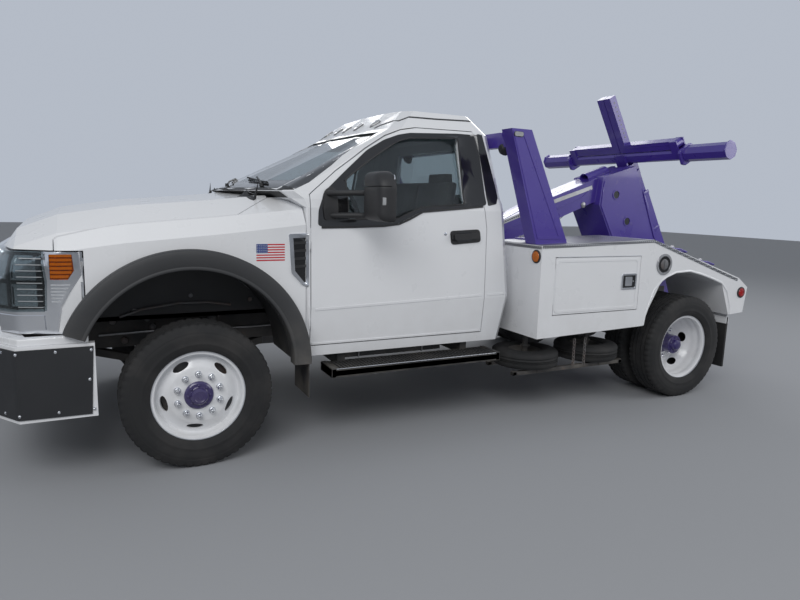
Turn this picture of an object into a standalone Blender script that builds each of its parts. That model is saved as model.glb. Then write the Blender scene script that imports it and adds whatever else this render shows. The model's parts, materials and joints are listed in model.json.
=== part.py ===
"""A self-loading wheel-lift tow truck, modelled in metres.

+X is forward, +Y is the driver's left and +Z is up. The origin is on the ground, at the
middle of the truck's length and width.
"""

import math

import bmesh
import bpy
from mathutils import Matrix, Vector

# Driving dimensions of the whole truck
WHEELBASE = 3.69
FRONT_OVERHANG = 1.02
LIFT_PIVOT_OVERHANG = 1.16
LIFT_BOSS_RADIUS = 0.115
REAR_OVERHANG = LIFT_PIVOT_OVERHANG + LIFT_BOSS_RADIUS
LENGTH = FRONT_OVERHANG + WHEELBASE + REAR_OVERHANG
FRONT_AXLE_X = LENGTH / 2 - FRONT_OVERHANG
REAR_AXLE_X = FRONT_AXLE_X - WHEELBASE

# Clearances and overruns
SEAT_GAP = 0.0003
PANEL_GAP = 0.006
RUNNING_GAP = 0.008
OVERRUN = 0.05
WELD_SHARE = 1e-6
SHARP_ANGLE = math.radians(35)
ROD_STEPS = 12
DRUM_STEPS = 20
BOSS_STEPS = 24

# Tyres and wheels
TYRE_RADIUS = 0.406
TYRE_WIDTH = 0.218
TYRE_STEPS = 32
TYRE_BEAD_RADIUS = 0.25
RIM_LIP_RADIUS = 0.262
RIM_WIDTH = 0.176
RIM_LIP_THICKNESS = 0.009
RIM_STEPS = 20
FRONT_TRACK = 1.912
DUAL_TRACK = 1.892
DUAL_SPACING = 0.27
HUB_RADIUS = 0.085
DISC_THICKNESS = 0.014
# Wheel discs: offsets as shares of the rim's half width, radii as shares of the hub's radius
FRONT_CROWN_SHARE = 1.25
FRONT_HUB_FOOT_SHARE = 0.78
FRONT_SKIRT_SHARES = (1.8, 0.72)
FRONT_DISC_SHARE = 0.35
FRONT_DISC_EDGE_SHARE = 0.3
FRONT_HUB_BACK_SHARES = (0.5, -0.2)
REAR_CROWN_SHARES = (0.7, 0.55)
REAR_HUB_FOOT_SHARE = 0.2
REAR_DISC_SHARE = 1.9
REAR_DISH_SHARE = 0.4
REAR_HUB_BACK_SHARE = 1.2
SPINDLE_RADIUS = 0.038
SPINDLE_LENGTH = 0.13
KINGPIN_Y = 0.775
KINGPIN_RADIUS = 0.032
KNUCKLE_HEIGHT = 0.24
KNUCKLE_WIDTH = 0.09
KNUCKLE_WALL = 0.035
EYE_HEIGHT = 0.13
EYE_RADIUS = 0.052
FRONT_BEAM_RADIUS = 0.045

# Tyre outline above the bead: share of the half width, share of the depth from bead to tread
TYRE_OUTLINE_SHARES = (
    (1.00, 0.42),
    (1.00, 0.70),
    (0.90, 0.94),
    (0.78, 1.00),
)

# Chassis
RAIL_BOTTOM = 0.575
RAIL_HEIGHT = 0.2
RAIL_HALF_SPAN = 0.43
RAIL_FLANGE = 0.075
RAIL_WALL = 0.012
RAIL_REAR_OVERHANG = 0.6
CROSSMEMBER_WIDTH = 0.07
CROSSMEMBER_HEIGHT = 0.08
# Places of the cross-members, as shares of the rails' length from their front end
CROSSMEMBER_SHARES = (0.03, 0.27, 0.42, 0.57, 0.7, 0.905)
AXLE_TUBE_RADIUS = 0.055
DIFFERENTIAL_RADIUS = 0.16
DIFFERENTIAL_LENGTH = 0.2
SPRING_SPAN = 1.25
FRONT_SPRING_SPAN = 1.0
SPRING_WIDTH = 0.07
SPRING_Y = RAIL_HALF_SPAN - RAIL_FLANGE / 2
SPRING_THICKNESS = 0.045
SPRING_LEAF_SHARES = (1.0, 1.0, 1.5, 1.0, 1.0)
ENGINE_LENGTH = 0.78
ENGINE_HEIGHT = 0.52
ENGINE_BOTTOM = 0.6
ENGINE_FRONT_SETBACK = 0.62
GEARBOX_SIZE = (0.72, 0.36, 0.22)
GEARBOX_BOTTOM = 0.465
SHAFT_RADIUS = 0.045
TANK_SIZE = (0.78, 0.3, 0.26)
TANK_SETBACK = 0.92
TANK_BOTTOM = 0.46
EXHAUST_RADIUS = 0.04
# Tail pipe's bends behind the silencer's front, as shares of its length
EXHAUST_BEND_SHARES = (1.9, 2.1)
MUFFLER_RADIUS = 0.11
MUFFLER_LENGTH = 0.6

# Cab: the levels run from the sill up to the crown of the roof
CAB_BOTTOM = 0.56
CAB_HEIGHT = 1.53
CAB_HALF_WIDTH = 1.012
CAB_FRONT_SETBACK = 0.3
CAB_LENGTH = 1.8
CAB_WALL = 0.045
CAB_FLOOR = 0.83
SILL_WIDTH = 0.13
CAB_MOUNT_RADIUS = 0.035
CAB_MOUNT_SHARES = (0.3, 0.9)
CAB_CORNER = 0.06
# Bow of the cab's front in plan: share of the sweep back, share of the half width
CAB_BOW_SHARES = (0.3, 0.6)
# Side cutters reach in to this share of the cab's half width
SIDE_CUT_SHARE = 0.5
# Share of the height, front and rear as shares of the length, half width, sweep of the front,
# front corner as a share of the corner's size
CAB_LEVEL_SHARES = (
    (0.000, 0.178, 0.975, 0.970, 0.000, 0.150),
    (0.196, 0.178, 1.000, 1.000, 0.000, 0.150),
    (0.575, 0.178, 0.965, 0.988, 0.000, 0.150),
    (0.608, 0.080, 0.962, 0.975, 0.060, 1.000),
    (0.634, 0.000, 0.958, 0.955, 0.110, 1.000),
    (0.908, 0.492, 0.944, 0.800, 0.035, 1.000),
    (1.000, 0.595, 0.920, 0.620, 0.030, 1.000),
)
# Door outline: share of the cab's length back from its front, share of the cab's height
DOOR_OUTLINE_SHARES = (
    (0.190, 0.040),
    (0.190, 0.625),
    (0.291, 0.720),
    (0.410, 0.815),
    (0.496, 0.875),
    (0.555, 0.903),
    (0.620, 0.918),
    (0.864, 0.922),
    (0.858, 0.600),
    (0.872, 0.500),
    (0.872, 0.040),
)
DOOR_WINDOW_SHARES = (
    (0.318, 0.528),
    (0.500, 0.535),
    (0.547, 0.556),
    (0.600, 0.582),
    (0.775, 0.598),
    (0.786, 0.888),
    (0.588, 0.874),
    (0.542, 0.857),
    (0.480, 0.820),
    (0.411, 0.768),
    (0.318, 0.690),
)
# Low and high edges as shares of the cab's height, and the share of the width there
WINDSHIELD_SHARES = (0.645, 0.893, 0.86)
REAR_WINDOW_SHARES = (0.645, 0.860, 0.66)
DOOR_WALL = 0.05
# Door hinge leaves: low and high ends as shares of the cab's height, depths as shares of the wall
HINGE_LEAF_SHARES = ((0.12, 0.20), (0.42, 0.50))
HINGE_LEAF_DEPTH_SHARES = (0.3, 0.7)
GLASS_THICKNESS = 0.008

# Hood and fenders: stations from the door's front edge to the nose
NOSE_LENGTH = 1.535
FRONT_NOSE_GAP = 0.1
NOSE_BOTTOM = 0.56
NOSE_HEIGHT = 0.99
NOSE_HALF_WIDTH = 1.012
NOSE_WALL = 0.03
HOOD_HALF_WIDTH = 0.74
# Hood's edge in plan: distance behind the front axle, half width
HOOD_EDGE_PLAN = (
    (0.460, 0.740),
    (0.430, 0.765),
    (0.245, 0.930),
    (-0.660, 0.930),
    (-0.660, 1.050),
    (-1.100, 1.050),
)
# Share of the length, centre, shoulder and edge heights as shares of the height, half width
NOSE_STATION_SHARES = (
    (0.000, 1.000, 0.970, 0.880, 0.995),
    (0.310, 0.945, 0.918, 0.825, 1.000),
    (0.620, 0.900, 0.873, 0.780, 1.000),
    (0.820, 0.850, 0.822, 0.735, 0.975),
    (0.945, 0.770, 0.745, 0.665, 0.905),
    (1.000, 0.640, 0.625, 0.570, 0.800),
)
SHOULDER_Y_SHARE = 0.70
EDGE_Y_SHARE = 0.93
NOSE_SIDE_DROP_SHARE = 0.09
MASK_BOTTOM = 0.79
MASK_TOP = 1.2
MASK_REAR_SETBACK = 0.53
MASK_DEPTH = 0.09
MASK_LUG_DROP = 0.03
MASK_LUG_HEIGHT = 0.04
GRILLE_HALF_WIDTH = 0.56
GRILLE_BARS = 3
# A bar's height as a share of its pitch, the solid height of a pitch as a share of the bar
GRILLE_BAR_SHARE = 0.3
GRILLE_SOLID_SHARE = 1.5
HOOD_STOP_SETBACK = 0.135
HOOD_STOP_Y = 0.45
HOOD_STOP_SIZE = 0.02
ARCH_RADIUS = 0.56
ARCH_RISE = 0.145
ARCH_SHIFT = 0.03
ARCH_STEPS = 32
FLARE_WIDTH = 0.095
FLARE_DEPTH = 0.07

# Bumper: plan outline, as shares of its half width and of its depth
BUMPER_HALF_WIDTH = 1.06
BUMPER_DEPTH = 0.52
BUMPER_BOTTOM = 0.37
BUMPER_HEIGHT = 0.38
BUMPER_WALL = 0.05
BUMPER_OUTLINE_SHARES = ((1.0, 0.0), (1.0, 0.66), (0.86, 0.86), (0.56, 1.0))

# Running boards
BOARD_LENGTH = 1.2
BOARD_WIDTH = 0.2
BOARD_THICKNESS = 0.05
BOARD_TOP = 0.5
BOARD_MIDDLE_SETBACK = 1.34
BOARD_OUTER_Y = 1.12
BRACKET_WIDTH = 0.05
BRACKET_TANK_GAP = 0.03

# Mirrors
MIRROR_HEIGHT = 0.28
MIRROR_WIDTH = 0.26
MIRROR_DEPTH = 0.1
MIRROR_Y = 1.28
MIRROR_Z = 1.51
MIRROR_SETBACK = 0.945
MIRROR_ARM_RADIUS = 0.02
MIRROR_ARM_SETBACK = 0.765
# Mirror arms: height above or below the head's middle
MIRROR_ARM_RISES = (-0.11, 0.02)

# Seat and dashboard
SEAT_DEPTH = 0.5
SEAT_HEIGHT = 0.32
SEAT_HALF_WIDTH = 0.72
SEAT_BACK_HEIGHT = 0.55
SEAT_BACK_THICKNESS = 0.14
SEAT_REAR_GAP = 0.2
# Seat back's thickness at its top and where it meets the cushion, cushion's height at its front
SEAT_BACK_SHARES = (0.7, 1.6)
SEAT_FRONT_SHARE = 1.05
DASH_DEPTH = 0.32
DASH_HEIGHT = 0.36
DASH_HALF_WIDTH = 0.86
# Dashboard's outline and the column's start: share of its depth, share of its height down
DASH_OUTLINE_SHARES = ((0.0, 1.0), (0.0, 0.0), (0.6, 0.0), (1.0, 0.3), (0.8, 1.0))
COLUMN_START_SHARES = (0.7, 0.35)
WHEEL_RING_RADIUS = 0.19
WHEEL_RING_TUBE = 0.015
STEERING_Y = 0.4
STEERING_RAKE = math.radians(28)
STEERING_REACH = 0.2

# Tow body
BODY_HALF_WIDTH = 1.2
BODY_FRONT_SETBACK = 2.18
BODY_LENGTH = 2.17
BODY_BOTTOM = 0.59
BODY_HEIGHT = 0.67
BODY_SIDE_DEPTH = 0.56
BODY_WALL = 0.03
# Side outline: share of the body's length from its front, share of its height
BODY_OUTLINE_SHARES = (
    (0.000, 0.000),
    (0.000, 0.945),
    (0.480, 1.000),
    (0.945, 0.530),
    (1.000, 0.410),
    (0.987, 0.100),
    (0.912, 0.084),
    (0.450, 0.040),
)
BODY_ARCH_SHARES = (
    (0.462, -0.100),
    (0.462, 0.130),
    (0.532, 0.540),
    (0.600, 0.630),
    (0.671, 0.640),
    (0.850, 0.480),
    (0.905, 0.084),
    (0.905, -0.100),
)
TOOLBOX_DOOR_SHARES = (0.055, 0.425, 0.230, 0.830)
TOOLBOX_CAVITY_SHARES = (0.035, 0.440, 0.070, 0.900)
TOOLBOX_DOOR_THICKNESS = 0.022
# Toolbox hinge leaf: low and high ends as shares of the body's height
TOOLBOX_LEAF_SHARES = (0.35, 0.71)
MUD_FLAP_SHARE = 0.931
MUD_FLAP_BOTTOM = 0.19
MUD_FLAP_THICKNESS = 0.01
MUD_FLAP_WIDTH = 0.42
MUD_FLAP_EDGE_GAP = 0.04
DECK_TOP = 0.98
DECK_THICKNESS = 0.05
DECK_SLOT_HALF_WIDTH = 0.34
DECK_SLOT_SHARE = 0.66
EAR_THICKNESS = 0.02
# The ears' size as a share of their pin's radius, then their outline as shares of that size
EAR_SIZE_SHARE = 2.2
EAR_FOOT_SHARE = 1.4
EAR_TOP_SHARES = ((-1.0, 0.6), (-0.5, 1.0), (0.5, 1.0), (1.0, 0.6))

# Headboard behind the cab
HEADBOARD_HALF_WIDTH = 1.12
HEADBOARD_TOP = 1.97
HEADBOARD_BEAM = 0.1
HEADBOARD_LEG_WIDTH = 0.11
HEADBOARD_LEAN = 0.25
HEADBOARD_FOOT_DEPTH = 0.27
HEADBOARD_TOP_DEPTH = 0.16
HEADBOARD_BEAM_DEPTH = 0.06
HEADBOARD_SETBACK = 2.19

# Dollies stored under the toolboxes
DOLLY_TYRE_RADIUS = 0.24
DOLLY_TYRE_WIDTH = 0.11
DOLLY_STEPS = 20
DOLLY_HEIGHT = 0.44
DOLLY_Y = 0.93
DOLLY_FRONT_SETBACK = 2.3
DOLLY_PITCH = 0.58
DOLLY_BEAM = 0.07

# Lift: boom and mast
BOOM_PIVOT_SETBACK = 2.32
BOOM_PIVOT_Z = 1.1
BOOM_HALF_WIDTH = 0.13
BOOM_PIN_RADIUS = 0.03
MAST_HALF_WIDTH = 0.19
MAST_SLOT_HALF_WIDTH = 0.083
# The slot's reach as a share of the crossbar's place, its depth as a share of the boss's room
MAST_SLOT_REACH_SHARE = 1.2
MAST_SLOT_DEPTH_SHARE = 2
# Boom and mast outline: distance back from the boom's pivot, height above it
BOOM_REACH = WHEELBASE + LIFT_PIVOT_OVERHANG - BOOM_PIVOT_SETBACK
BOOM_RISE = 0.78
BOOM_OUTLINE_SHARES = (
    (-0.030, 0.060),
    (0.290, 0.550),
    (0.540, 0.840),
    (0.690, 1.000),
    (0.745, 0.740),
    (0.500, 0.530),
    (0.330, 0.320),
    (0.000, -0.090),
    (-0.030, -0.050),
)
MAST_OUTLINE_SHARES = (
    (0.530, 0.835),
    (0.684, 0.985),
    (0.813, 0.110),
    (0.975, -0.400),
    (1.035, -0.510),
    (1.035, -0.640),
    (0.985, -0.700),
    (0.860, -0.640),
    (0.700, -0.260),
    (0.592, 0.110),
    (0.520, 0.520),
)
LIFT_PIVOT_Z = 0.66
LIFT_PIN_RADIUS = 0.035

# Stinger, crossbar and claws, in the stinger's own frame
STINGER_LEAN = math.radians(30.0)
STINGER_OUTER_LENGTH = 1.12
STINGER_OUTER_SIZE = 0.15
STINGER_WALL = 0.012
STINGER_INNER_START = 0.1
STINGER_INNER_SIZE = STINGER_OUTER_SIZE - (STINGER_WALL + SEAT_GAP) * 2
CROSSBAR_ALONG = 1.5
CROSSBAR_HALF_LENGTH = 1.1
CROSSBAR_SIZE = 0.1
CROSSBAR_CHAMFER = 0.022
SLEEVE_SIZE = 0.13
SLEEVE_CHAMFER = 0.038
SLEEVE_START = 0.7
SWIVEL_RADIUS = 0.045
SWIVEL_ROOM = 0.026
SWIVEL_PIN_RADIUS = 0.024
SWIVEL_PLATE = 0.016
CLAW_PIVOT_Y = 0.62
CLAW_SIZE = 0.075
CLAW_LEG_LENGTH = 0.5
CLAW_ROUND_STEPS = 6
CLAW_PIN_RADIUS = 0.02
CLAW_BRACKET_THICKNESS = 0.012

# Lift cylinder
CYLINDER_FOOT_SETBACK = 2.86
CYLINDER_FOOT_Z = 1.05
CYLINDER_EYE_SETBACK = 3.5
CYLINDER_EYE_Z = 1.5
CYLINDER_PIN_RADIUS = 0.018
BAY_ROOM_SHARE = 1.6
# Bay below and above the cylinder's foot, as shares of the room
BAY_FOOT_SHARES = (2.0, 2.3)
CYLINDER_RADIUS = 0.045
CYLINDER_ROD_RADIUS = 0.024
CYLINDER_BARREL_SHARE = 0.66
CYLINDER_EYE_DRIFT = 0.005

# Colours: linear red, green, blue, then roughness and metallic value
PAINTS = {
    "white_paint": ((0.78, 0.79, 0.80), 0.3, 0.0),
    "purple_paint": ((0.09, 0.035, 0.30), 0.3, 0.0),
    "black_plastic": ((0.02, 0.02, 0.022), 0.55, 0.0),
    "black_rubber": ((0.018, 0.018, 0.018), 0.8, 0.0),
    "chassis_black": ((0.03, 0.03, 0.03), 0.6, 0.2),
    "chrome": ((0.75, 0.75, 0.77), 0.12, 1.0),
    "steel": ((0.45, 0.45, 0.46), 0.35, 1.0),
    "glass": ((0.25, 0.30, 0.32), 0.05, 0.0),
    "vinyl": ((0.20, 0.20, 0.21), 0.7, 0.0),
}


def clear_scene():
    for obj in list(bpy.data.objects):
        bpy.data.objects.remove(obj)


def new_collection(name):
    collection = bpy.data.collections.new(name)
    bpy.context.scene.collection.children.link(collection)
    return collection


def paint(name):
    """The named paint, made once."""
    found = bpy.data.materials.get(name)
    if found:
        return found
    colour, roughness, metallic = PAINTS[name]
    material = bpy.data.materials.new(name)
    material.use_nodes = True
    shader = material.node_tree.nodes["Principled BSDF"]
    shader.inputs["Base Color"].default_value = (*colour, 1.0)
    shader.inputs["Roughness"].default_value = roughness
    shader.inputs["Metallic"].default_value = metallic
    return material


clear_scene()
PARTS = new_collection("tow_truck")
TOOLS = new_collection("cutters")


def behind(setback):
    """The x of a place this far behind the front axle."""
    return FRONT_AXLE_X - setback


def object_of(name, shape, finish):
    """A new object in the truck's collection, from a bmesh."""
    bmesh.ops.recalc_face_normals(shape, faces=shape.faces)
    mesh = bpy.data.meshes.new(name)
    shape.to_mesh(mesh)
    shape.free()
    obj = bpy.data.objects.new(name, mesh)
    PARTS.objects.link(obj)
    mesh.materials.append(paint(finish))
    return obj


def block(name, low, high, finish="chassis_black"):
    """A box between two corners."""
    shape = bmesh.new()
    bmesh.ops.create_cube(shape, size=1.0)
    low, high = Vector(low), Vector(high)
    size = high - low
    bmesh.ops.scale(shape, vec=size, verts=shape.verts)
    bmesh.ops.translate(shape, vec=(low + high) / 2, verts=shape.verts)
    return object_of(name, shape, finish)


def rod(name, start, end, radius, finish="chassis_black", steps=ROD_STEPS, spin=0.0):
    """A round bar between two points."""
    start, end = Vector(start), Vector(end)
    along = end - start
    shape = bmesh.new()
    bmesh.ops.create_cone(
        shape,
        cap_ends=True,
        segments=steps,
        radius1=radius,
        radius2=radius,
        depth=along.length,
    )
    turn = along.to_track_quat("Z", "Y").to_matrix().to_4x4()
    place = Matrix.Translation((start + end) / 2) @ turn @ Matrix.Rotation(spin, 4, "Z")
    bmesh.ops.transform(shape, matrix=place, verts=shape.verts)
    return object_of(name, shape, finish)


def bore_radius(pin, steps):
    """The corner radius of a faceted bore whose flats clear a pin at every angle."""
    return (pin + SEAT_GAP) / math.cos(math.pi / steps)


def bore(name, start, end, pin, steps=ROD_STEPS):
    """A cutter for the hole that a pin turns in, its flats facing the pin's corners."""
    return rod(name, start, end, bore_radius(pin, steps), steps=steps, spin=math.pi / steps)


def mesh_of_curve(obj, name, finish):
    """Turns a curve object into a mesh object with its caps welded on."""
    bpy.context.view_layer.update()
    graph = bpy.context.evaluated_depsgraph_get()
    mesh = bpy.data.meshes.new_from_object(obj.evaluated_get(graph))
    place = obj.matrix_world.copy()
    bpy.data.objects.remove(obj)
    shape = bmesh.new()
    shape.from_mesh(mesh)
    bpy.data.meshes.remove(mesh)
    weld = LENGTH * WELD_SHARE
    bmesh.ops.remove_doubles(shape, verts=shape.verts, dist=weld)
    bmesh.ops.transform(shape, matrix=place, verts=shape.verts)
    return object_of(name, shape, finish)


AXES_OF_PLANE = {
    "XZ": Matrix(((1, 0, 0, 0), (0, 0, -1, 0), (0, 1, 0, 0), (0, 0, 0, 1))),
    "YZ": Matrix(((0, 0, 1, 0), (1, 0, 0, 0), (0, 1, 0, 0), (0, 0, 0, 1))),
    "XY": Matrix.Identity(4),
}


def plate(name, outlines, middle, thickness, plane="XZ", finish="chassis_black"):
    """A flat outline, with any holes as further outlines, as thick as asked about its middle."""
    curve = bpy.data.curves.new(name, "CURVE")
    curve.dimensions = "2D"
    curve.fill_mode = "BOTH"
    curve.extrude = thickness / 2
    for outline in outlines:
        spline = curve.splines.new("POLY")
        spline.points.add(len(outline) - 1)
        spline.use_cyclic_u = True
        for point, (across, up) in zip(spline.points, outline):
            point.co = (across, up, 0, 1)
    obj = bpy.data.objects.new(name, curve)
    PARTS.objects.link(obj)
    shift = {"XZ": (0, middle, 0), "YZ": (middle, 0, 0), "XY": (0, 0, middle)}[plane]
    obj.matrix_world = Matrix.Translation(shift) @ AXES_OF_PLANE[plane]
    return mesh_of_curve(obj, name, finish)


def tube(name, points, radius, finish="chassis_black"):
    """A bent round tube along straight runs between points."""
    curve = bpy.data.curves.new(name, "CURVE")
    curve.dimensions = "3D"
    curve.bevel_depth = radius
    curve.bevel_resolution = 2
    curve.use_fill_caps = True
    spline = curve.splines.new("POLY")
    spline.points.add(len(points) - 1)
    for point, place in zip(spline.points, points):
        point.co = (*place, 1)
    obj = bpy.data.objects.new(name, curve)
    PARTS.objects.link(obj)
    return mesh_of_curve(obj, name, finish)


def loft(name, rings, finish):
    """A closed skin over rings of as many points each, with flat ends."""
    shape = bmesh.new()
    rows = [[shape.verts.new(point) for point in ring] for ring in rings]
    for lower, upper in zip(rows, rows[1:]):
        for i in range(len(lower)):
            j = (i + 1) % len(lower)
            shape.faces.new((lower[i], lower[j], upper[j], upper[i]))
    shape.faces.new(rows[0])
    shape.faces.new(rows[-1])
    bmesh.ops.triangulate(shape, faces=shape.faces)
    return object_of(name, shape, finish)


def turned(name, profile, centre, side, steps, finish, half_step=False):
    """A profile of (radius, distance outboard) turned round the truck's Y axis by a Screw."""
    shape = bmesh.new()
    corners = [shape.verts.new((radius, 0, out)) for radius, out in profile]
    closed = profile[0][0] > 0 or profile[-1][0] > 0
    for first, second in zip(corners, corners[1:] + corners[:1] * closed):
        shape.edges.new((first, second))
    if half_step:
        spin = Matrix.Rotation(math.pi / steps, 4, "Z")
        bmesh.ops.transform(shape, matrix=spin, verts=shape.verts)
    mesh = bpy.data.meshes.new(name)
    shape.to_mesh(mesh)
    shape.free()
    obj = bpy.data.objects.new(name, mesh)
    PARTS.objects.link(obj)
    mesh.materials.append(paint(finish))
    screw = obj.modifiers.new("turn", "SCREW")
    screw.axis = "Z"
    screw.steps = steps
    screw.render_steps = steps
    screw.use_merge_vertices = True
    screw.merge_threshold = LENGTH * WELD_SHARE
    screw.use_smooth_shade = True
    bpy.context.view_layer.update()
    graph = bpy.context.evaluated_depsgraph_get()
    whole = bmesh.new()
    whole.from_mesh(bpy.data.meshes.new_from_object(obj.evaluated_get(graph)))
    bpy.data.objects.remove(obj)
    outboard = Matrix.Rotation(-math.pi / 2 * side, 4, "X")
    bmesh.ops.transform(whole, matrix=Matrix.Translation(centre) @ outboard, verts=whole.verts)
    result = object_of(name, whole, finish)
    result.data.shade_smooth()
    result.data.set_sharp_from_angle(angle=SHARP_ANGLE)
    return result


def boolean(target, tool, operation):
    modifier = target.modifiers.new(tool.name, "BOOLEAN")
    modifier.operation = operation
    modifier.object = tool
    if tool.name in PARTS.objects:
        PARTS.objects.unlink(tool)
        TOOLS.objects.link(tool)
    tool.hide_render = True
    tool.display_type = "WIRE"


def cut(target, *tools):
    for tool in tools:
        boolean(target, tool, "DIFFERENCE")


def keep(target, *tools):
    for tool in tools:
        boolean(target, tool, "INTERSECT")


def fuse(target, *tools):
    for tool in tools:
        boolean(target, tool, "UNION")


def pivot(name, place):
    """An empty on a joint's axis."""
    empty = bpy.data.objects.new(name, None)
    empty.location = place
    PARTS.objects.link(empty)
    return empty


def hang(empty, *objects):
    """Parents objects to a pivot, without moving them."""
    for obj in objects:
        obj.parent = empty
        obj.matrix_parent_inverse = Matrix.Translation(-Vector(empty.location))


def mirrored(points):
    """Both halves of an outline given from +Y's side, ends on the middle plane shared."""
    other = [(x, -y) for x, y in reversed(points) if y > 0]
    return list(points) + other


SIDES = {"left": 1, "right": -1}


def frame_rails():
    """Two C-section rails joined by cross-members."""
    front = FRONT_AXLE_X + FRONT_OVERHANG - BUMPER_WALL - SEAT_GAP
    rear = REAR_AXLE_X - RAIL_REAR_OVERHANG
    top = RAIL_BOTTOM + RAIL_HEIGHT
    inner = RAIL_HALF_SPAN - RAIL_FLANGE
    web = RAIL_HALF_SPAN - RAIL_WALL
    section = [
        (RAIL_HALF_SPAN, RAIL_BOTTOM),
        (RAIL_HALF_SPAN, top),
        (inner, top),
        (inner, top - RAIL_WALL),
        (web, top - RAIL_WALL),
        (web, RAIL_BOTTOM + RAIL_WALL),
        (inner, RAIL_BOTTOM + RAIL_WALL),
        (inner, RAIL_BOTTOM),
    ]
    middle, length = (front + rear) / 2, front - rear
    rails = plate("frame_rails", [section], middle, length, "YZ")
    right = [(-y, z) for y, z in section]
    fuse_later = [plate("rail_right", [right], middle, length, "YZ")]
    low = top - CROSSMEMBER_HEIGHT
    reach = web + RAIL_WALL / 2
    for number, share in enumerate(CROSSMEMBER_SHARES):
        x = front - share * length
        fuse_later.append(
            block(
                f"crossmember_{number}",
                (x - CROSSMEMBER_WIDTH / 2, -reach, low),
                (x + CROSSMEMBER_WIDTH / 2, reach, top - RAIL_WALL / 2),
            )
        )
    fuse(rails, *fuse_later)
    return rails


def leaf_spring(name, axle_x, span, side):
    """A leaf pack that sits on the axle and bows up to the rail at its ends."""
    y = side * SPRING_Y
    seat = TYRE_RADIUS + AXLE_TUBE_RADIUS / 2
    end = RAIL_BOTTOM - SPRING_THICKNESS - SEAT_GAP
    outline = [
        (axle_x - span / 2, end),
        (axle_x - span / 4, (seat + end) / 2 - SPRING_THICKNESS / 2),
        (axle_x, seat),
        (axle_x + span / 4, (seat + end) / 2 - SPRING_THICKNESS / 2),
        (axle_x + span / 2, end),
    ]
    upper = [(x, z + SPRING_THICKNESS * share) for (x, z), share in zip(outline, SPRING_LEAF_SHARES)]
    return plate(name, [outline + upper[::-1]], y, SPRING_WIDTH)


def front_axle():
    """A solid beam axle with its springs and the eyes for the kingpins."""
    reach = KINGPIN_Y - KINGPIN_RADIUS / 2
    axle = rod(
        "front_axle",
        (FRONT_AXLE_X, -reach, TYRE_RADIUS),
        (FRONT_AXLE_X, reach, TYRE_RADIUS),
        FRONT_BEAM_RADIUS,
    )
    foot, head = TYRE_RADIUS - EYE_HEIGHT / 2, TYRE_RADIUS + EYE_HEIGHT / 2
    for word, side in SIDES.items():
        fuse(axle, leaf_spring(f"front_spring_{word}", FRONT_AXLE_X, FRONT_SPRING_SPAN, side))
        x, y = FRONT_AXLE_X, side * KINGPIN_Y
        fuse(axle, rod(f"axle_eye_{word}", (x, y, foot), (x, y, head), EYE_RADIUS))
    for word, side in SIDES.items():
        x, y = FRONT_AXLE_X, side * KINGPIN_Y
        low, high = (x, y, foot - OVERRUN), (x, y, head + OVERRUN)
        cut(axle, bore(f"kingpin_bore_{word}", low, high, KINGPIN_RADIUS))
    return axle


def rear_axle():
    """Axle tube, round differential housing and springs as one welded piece."""
    reach = DUAL_TRACK / 2 - DUAL_SPACING / 2 - TYRE_WIDTH / 2
    axle = rod(
        "rear_axle",
        (REAR_AXLE_X, -reach, TYRE_RADIUS),
        (REAR_AXLE_X, reach, TYRE_RADIUS),
        AXLE_TUBE_RADIUS,
    )
    housing = rod(
        "differential",
        (REAR_AXLE_X - DIFFERENTIAL_LENGTH / 2, 0, TYRE_RADIUS),
        (REAR_AXLE_X + DIFFERENTIAL_LENGTH / 2, 0, TYRE_RADIUS),
        DIFFERENTIAL_RADIUS,
        steps=DRUM_STEPS,
    )
    fuse(axle, housing)
    for word, side in SIDES.items():
        fuse(axle, leaf_spring(f"rear_spring_{word}", REAR_AXLE_X, SPRING_SPAN, side))
    spindle_end = DUAL_TRACK / 2 + SPINDLE_LENGTH / 2
    fuse(
        axle,
        rod(
            "rear_spindles",
            (REAR_AXLE_X, -spindle_end, TYRE_RADIUS),
            (REAR_AXLE_X, spindle_end, TYRE_RADIUS),
            SPINDLE_RADIUS,
        ),
    )
    return axle


def knuckle(word, side):
    """Steering knuckle: a fork on the kingpin with its spindle for the wheel."""
    x, y, z = FRONT_AXLE_X, side * KINGPIN_Y, TYRE_RADIUS
    half, gap = KNUCKLE_HEIGHT / 2, EYE_HEIGHT / 2 + RUNNING_GAP
    near = side * (KINGPIN_Y - KNUCKLE_WIDTH / 2)
    inside = side * (KINGPIN_Y + EYE_RADIUS + RUNNING_GAP)
    outside = inside + side * KNUCKLE_WALL
    fork = [
        (near, z + half),
        (outside, z + half),
        (outside, z - half),
        (near, z - half),
        (near, z - gap),
        (inside, z - gap),
        (inside, z + gap),
        (near, z + gap),
    ]
    body = plate(f"knuckle_{word}", [fork], x, KNUCKLE_WIDTH, "YZ")
    reach = (half + gap) / 2
    fuse(body, rod(f"kingpin_{word}", (x, y, z - reach), (x, y, z + reach), KINGPIN_RADIUS))
    tip = side * (FRONT_TRACK / 2 + SPINDLE_LENGTH / 2)
    middle = (inside + outside) / 2
    fuse(body, rod(f"spindle_{word}", (x, middle, z), (x, tip, z), SPINDLE_RADIUS))
    return body


def tyre(name, x, y):
    """A tyre from bead to tread, flat at its foot."""
    depth = TYRE_RADIUS - TYRE_BEAD_RADIUS
    stretch = 1 / math.cos(math.pi / TYRE_STEPS)
    bead = RIM_WIDTH / 2 - RIM_LIP_THICKNESS - SEAT_GAP
    outer = [(TYRE_BEAD_RADIUS * stretch, bead), ((RIM_LIP_RADIUS + SEAT_GAP) * stretch, bead)] + [
        ((TYRE_BEAD_RADIUS + up * depth) * stretch, across * TYRE_WIDTH / 2)
        for across, up in TYRE_OUTLINE_SHARES
    ]
    inner = [(radius, -out) for radius, out in reversed(outer)]
    place = (x, y, TYRE_RADIUS)
    return turned(name, outer + inner, place, 1, TYRE_STEPS, "black_rubber", half_step=True)


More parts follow.
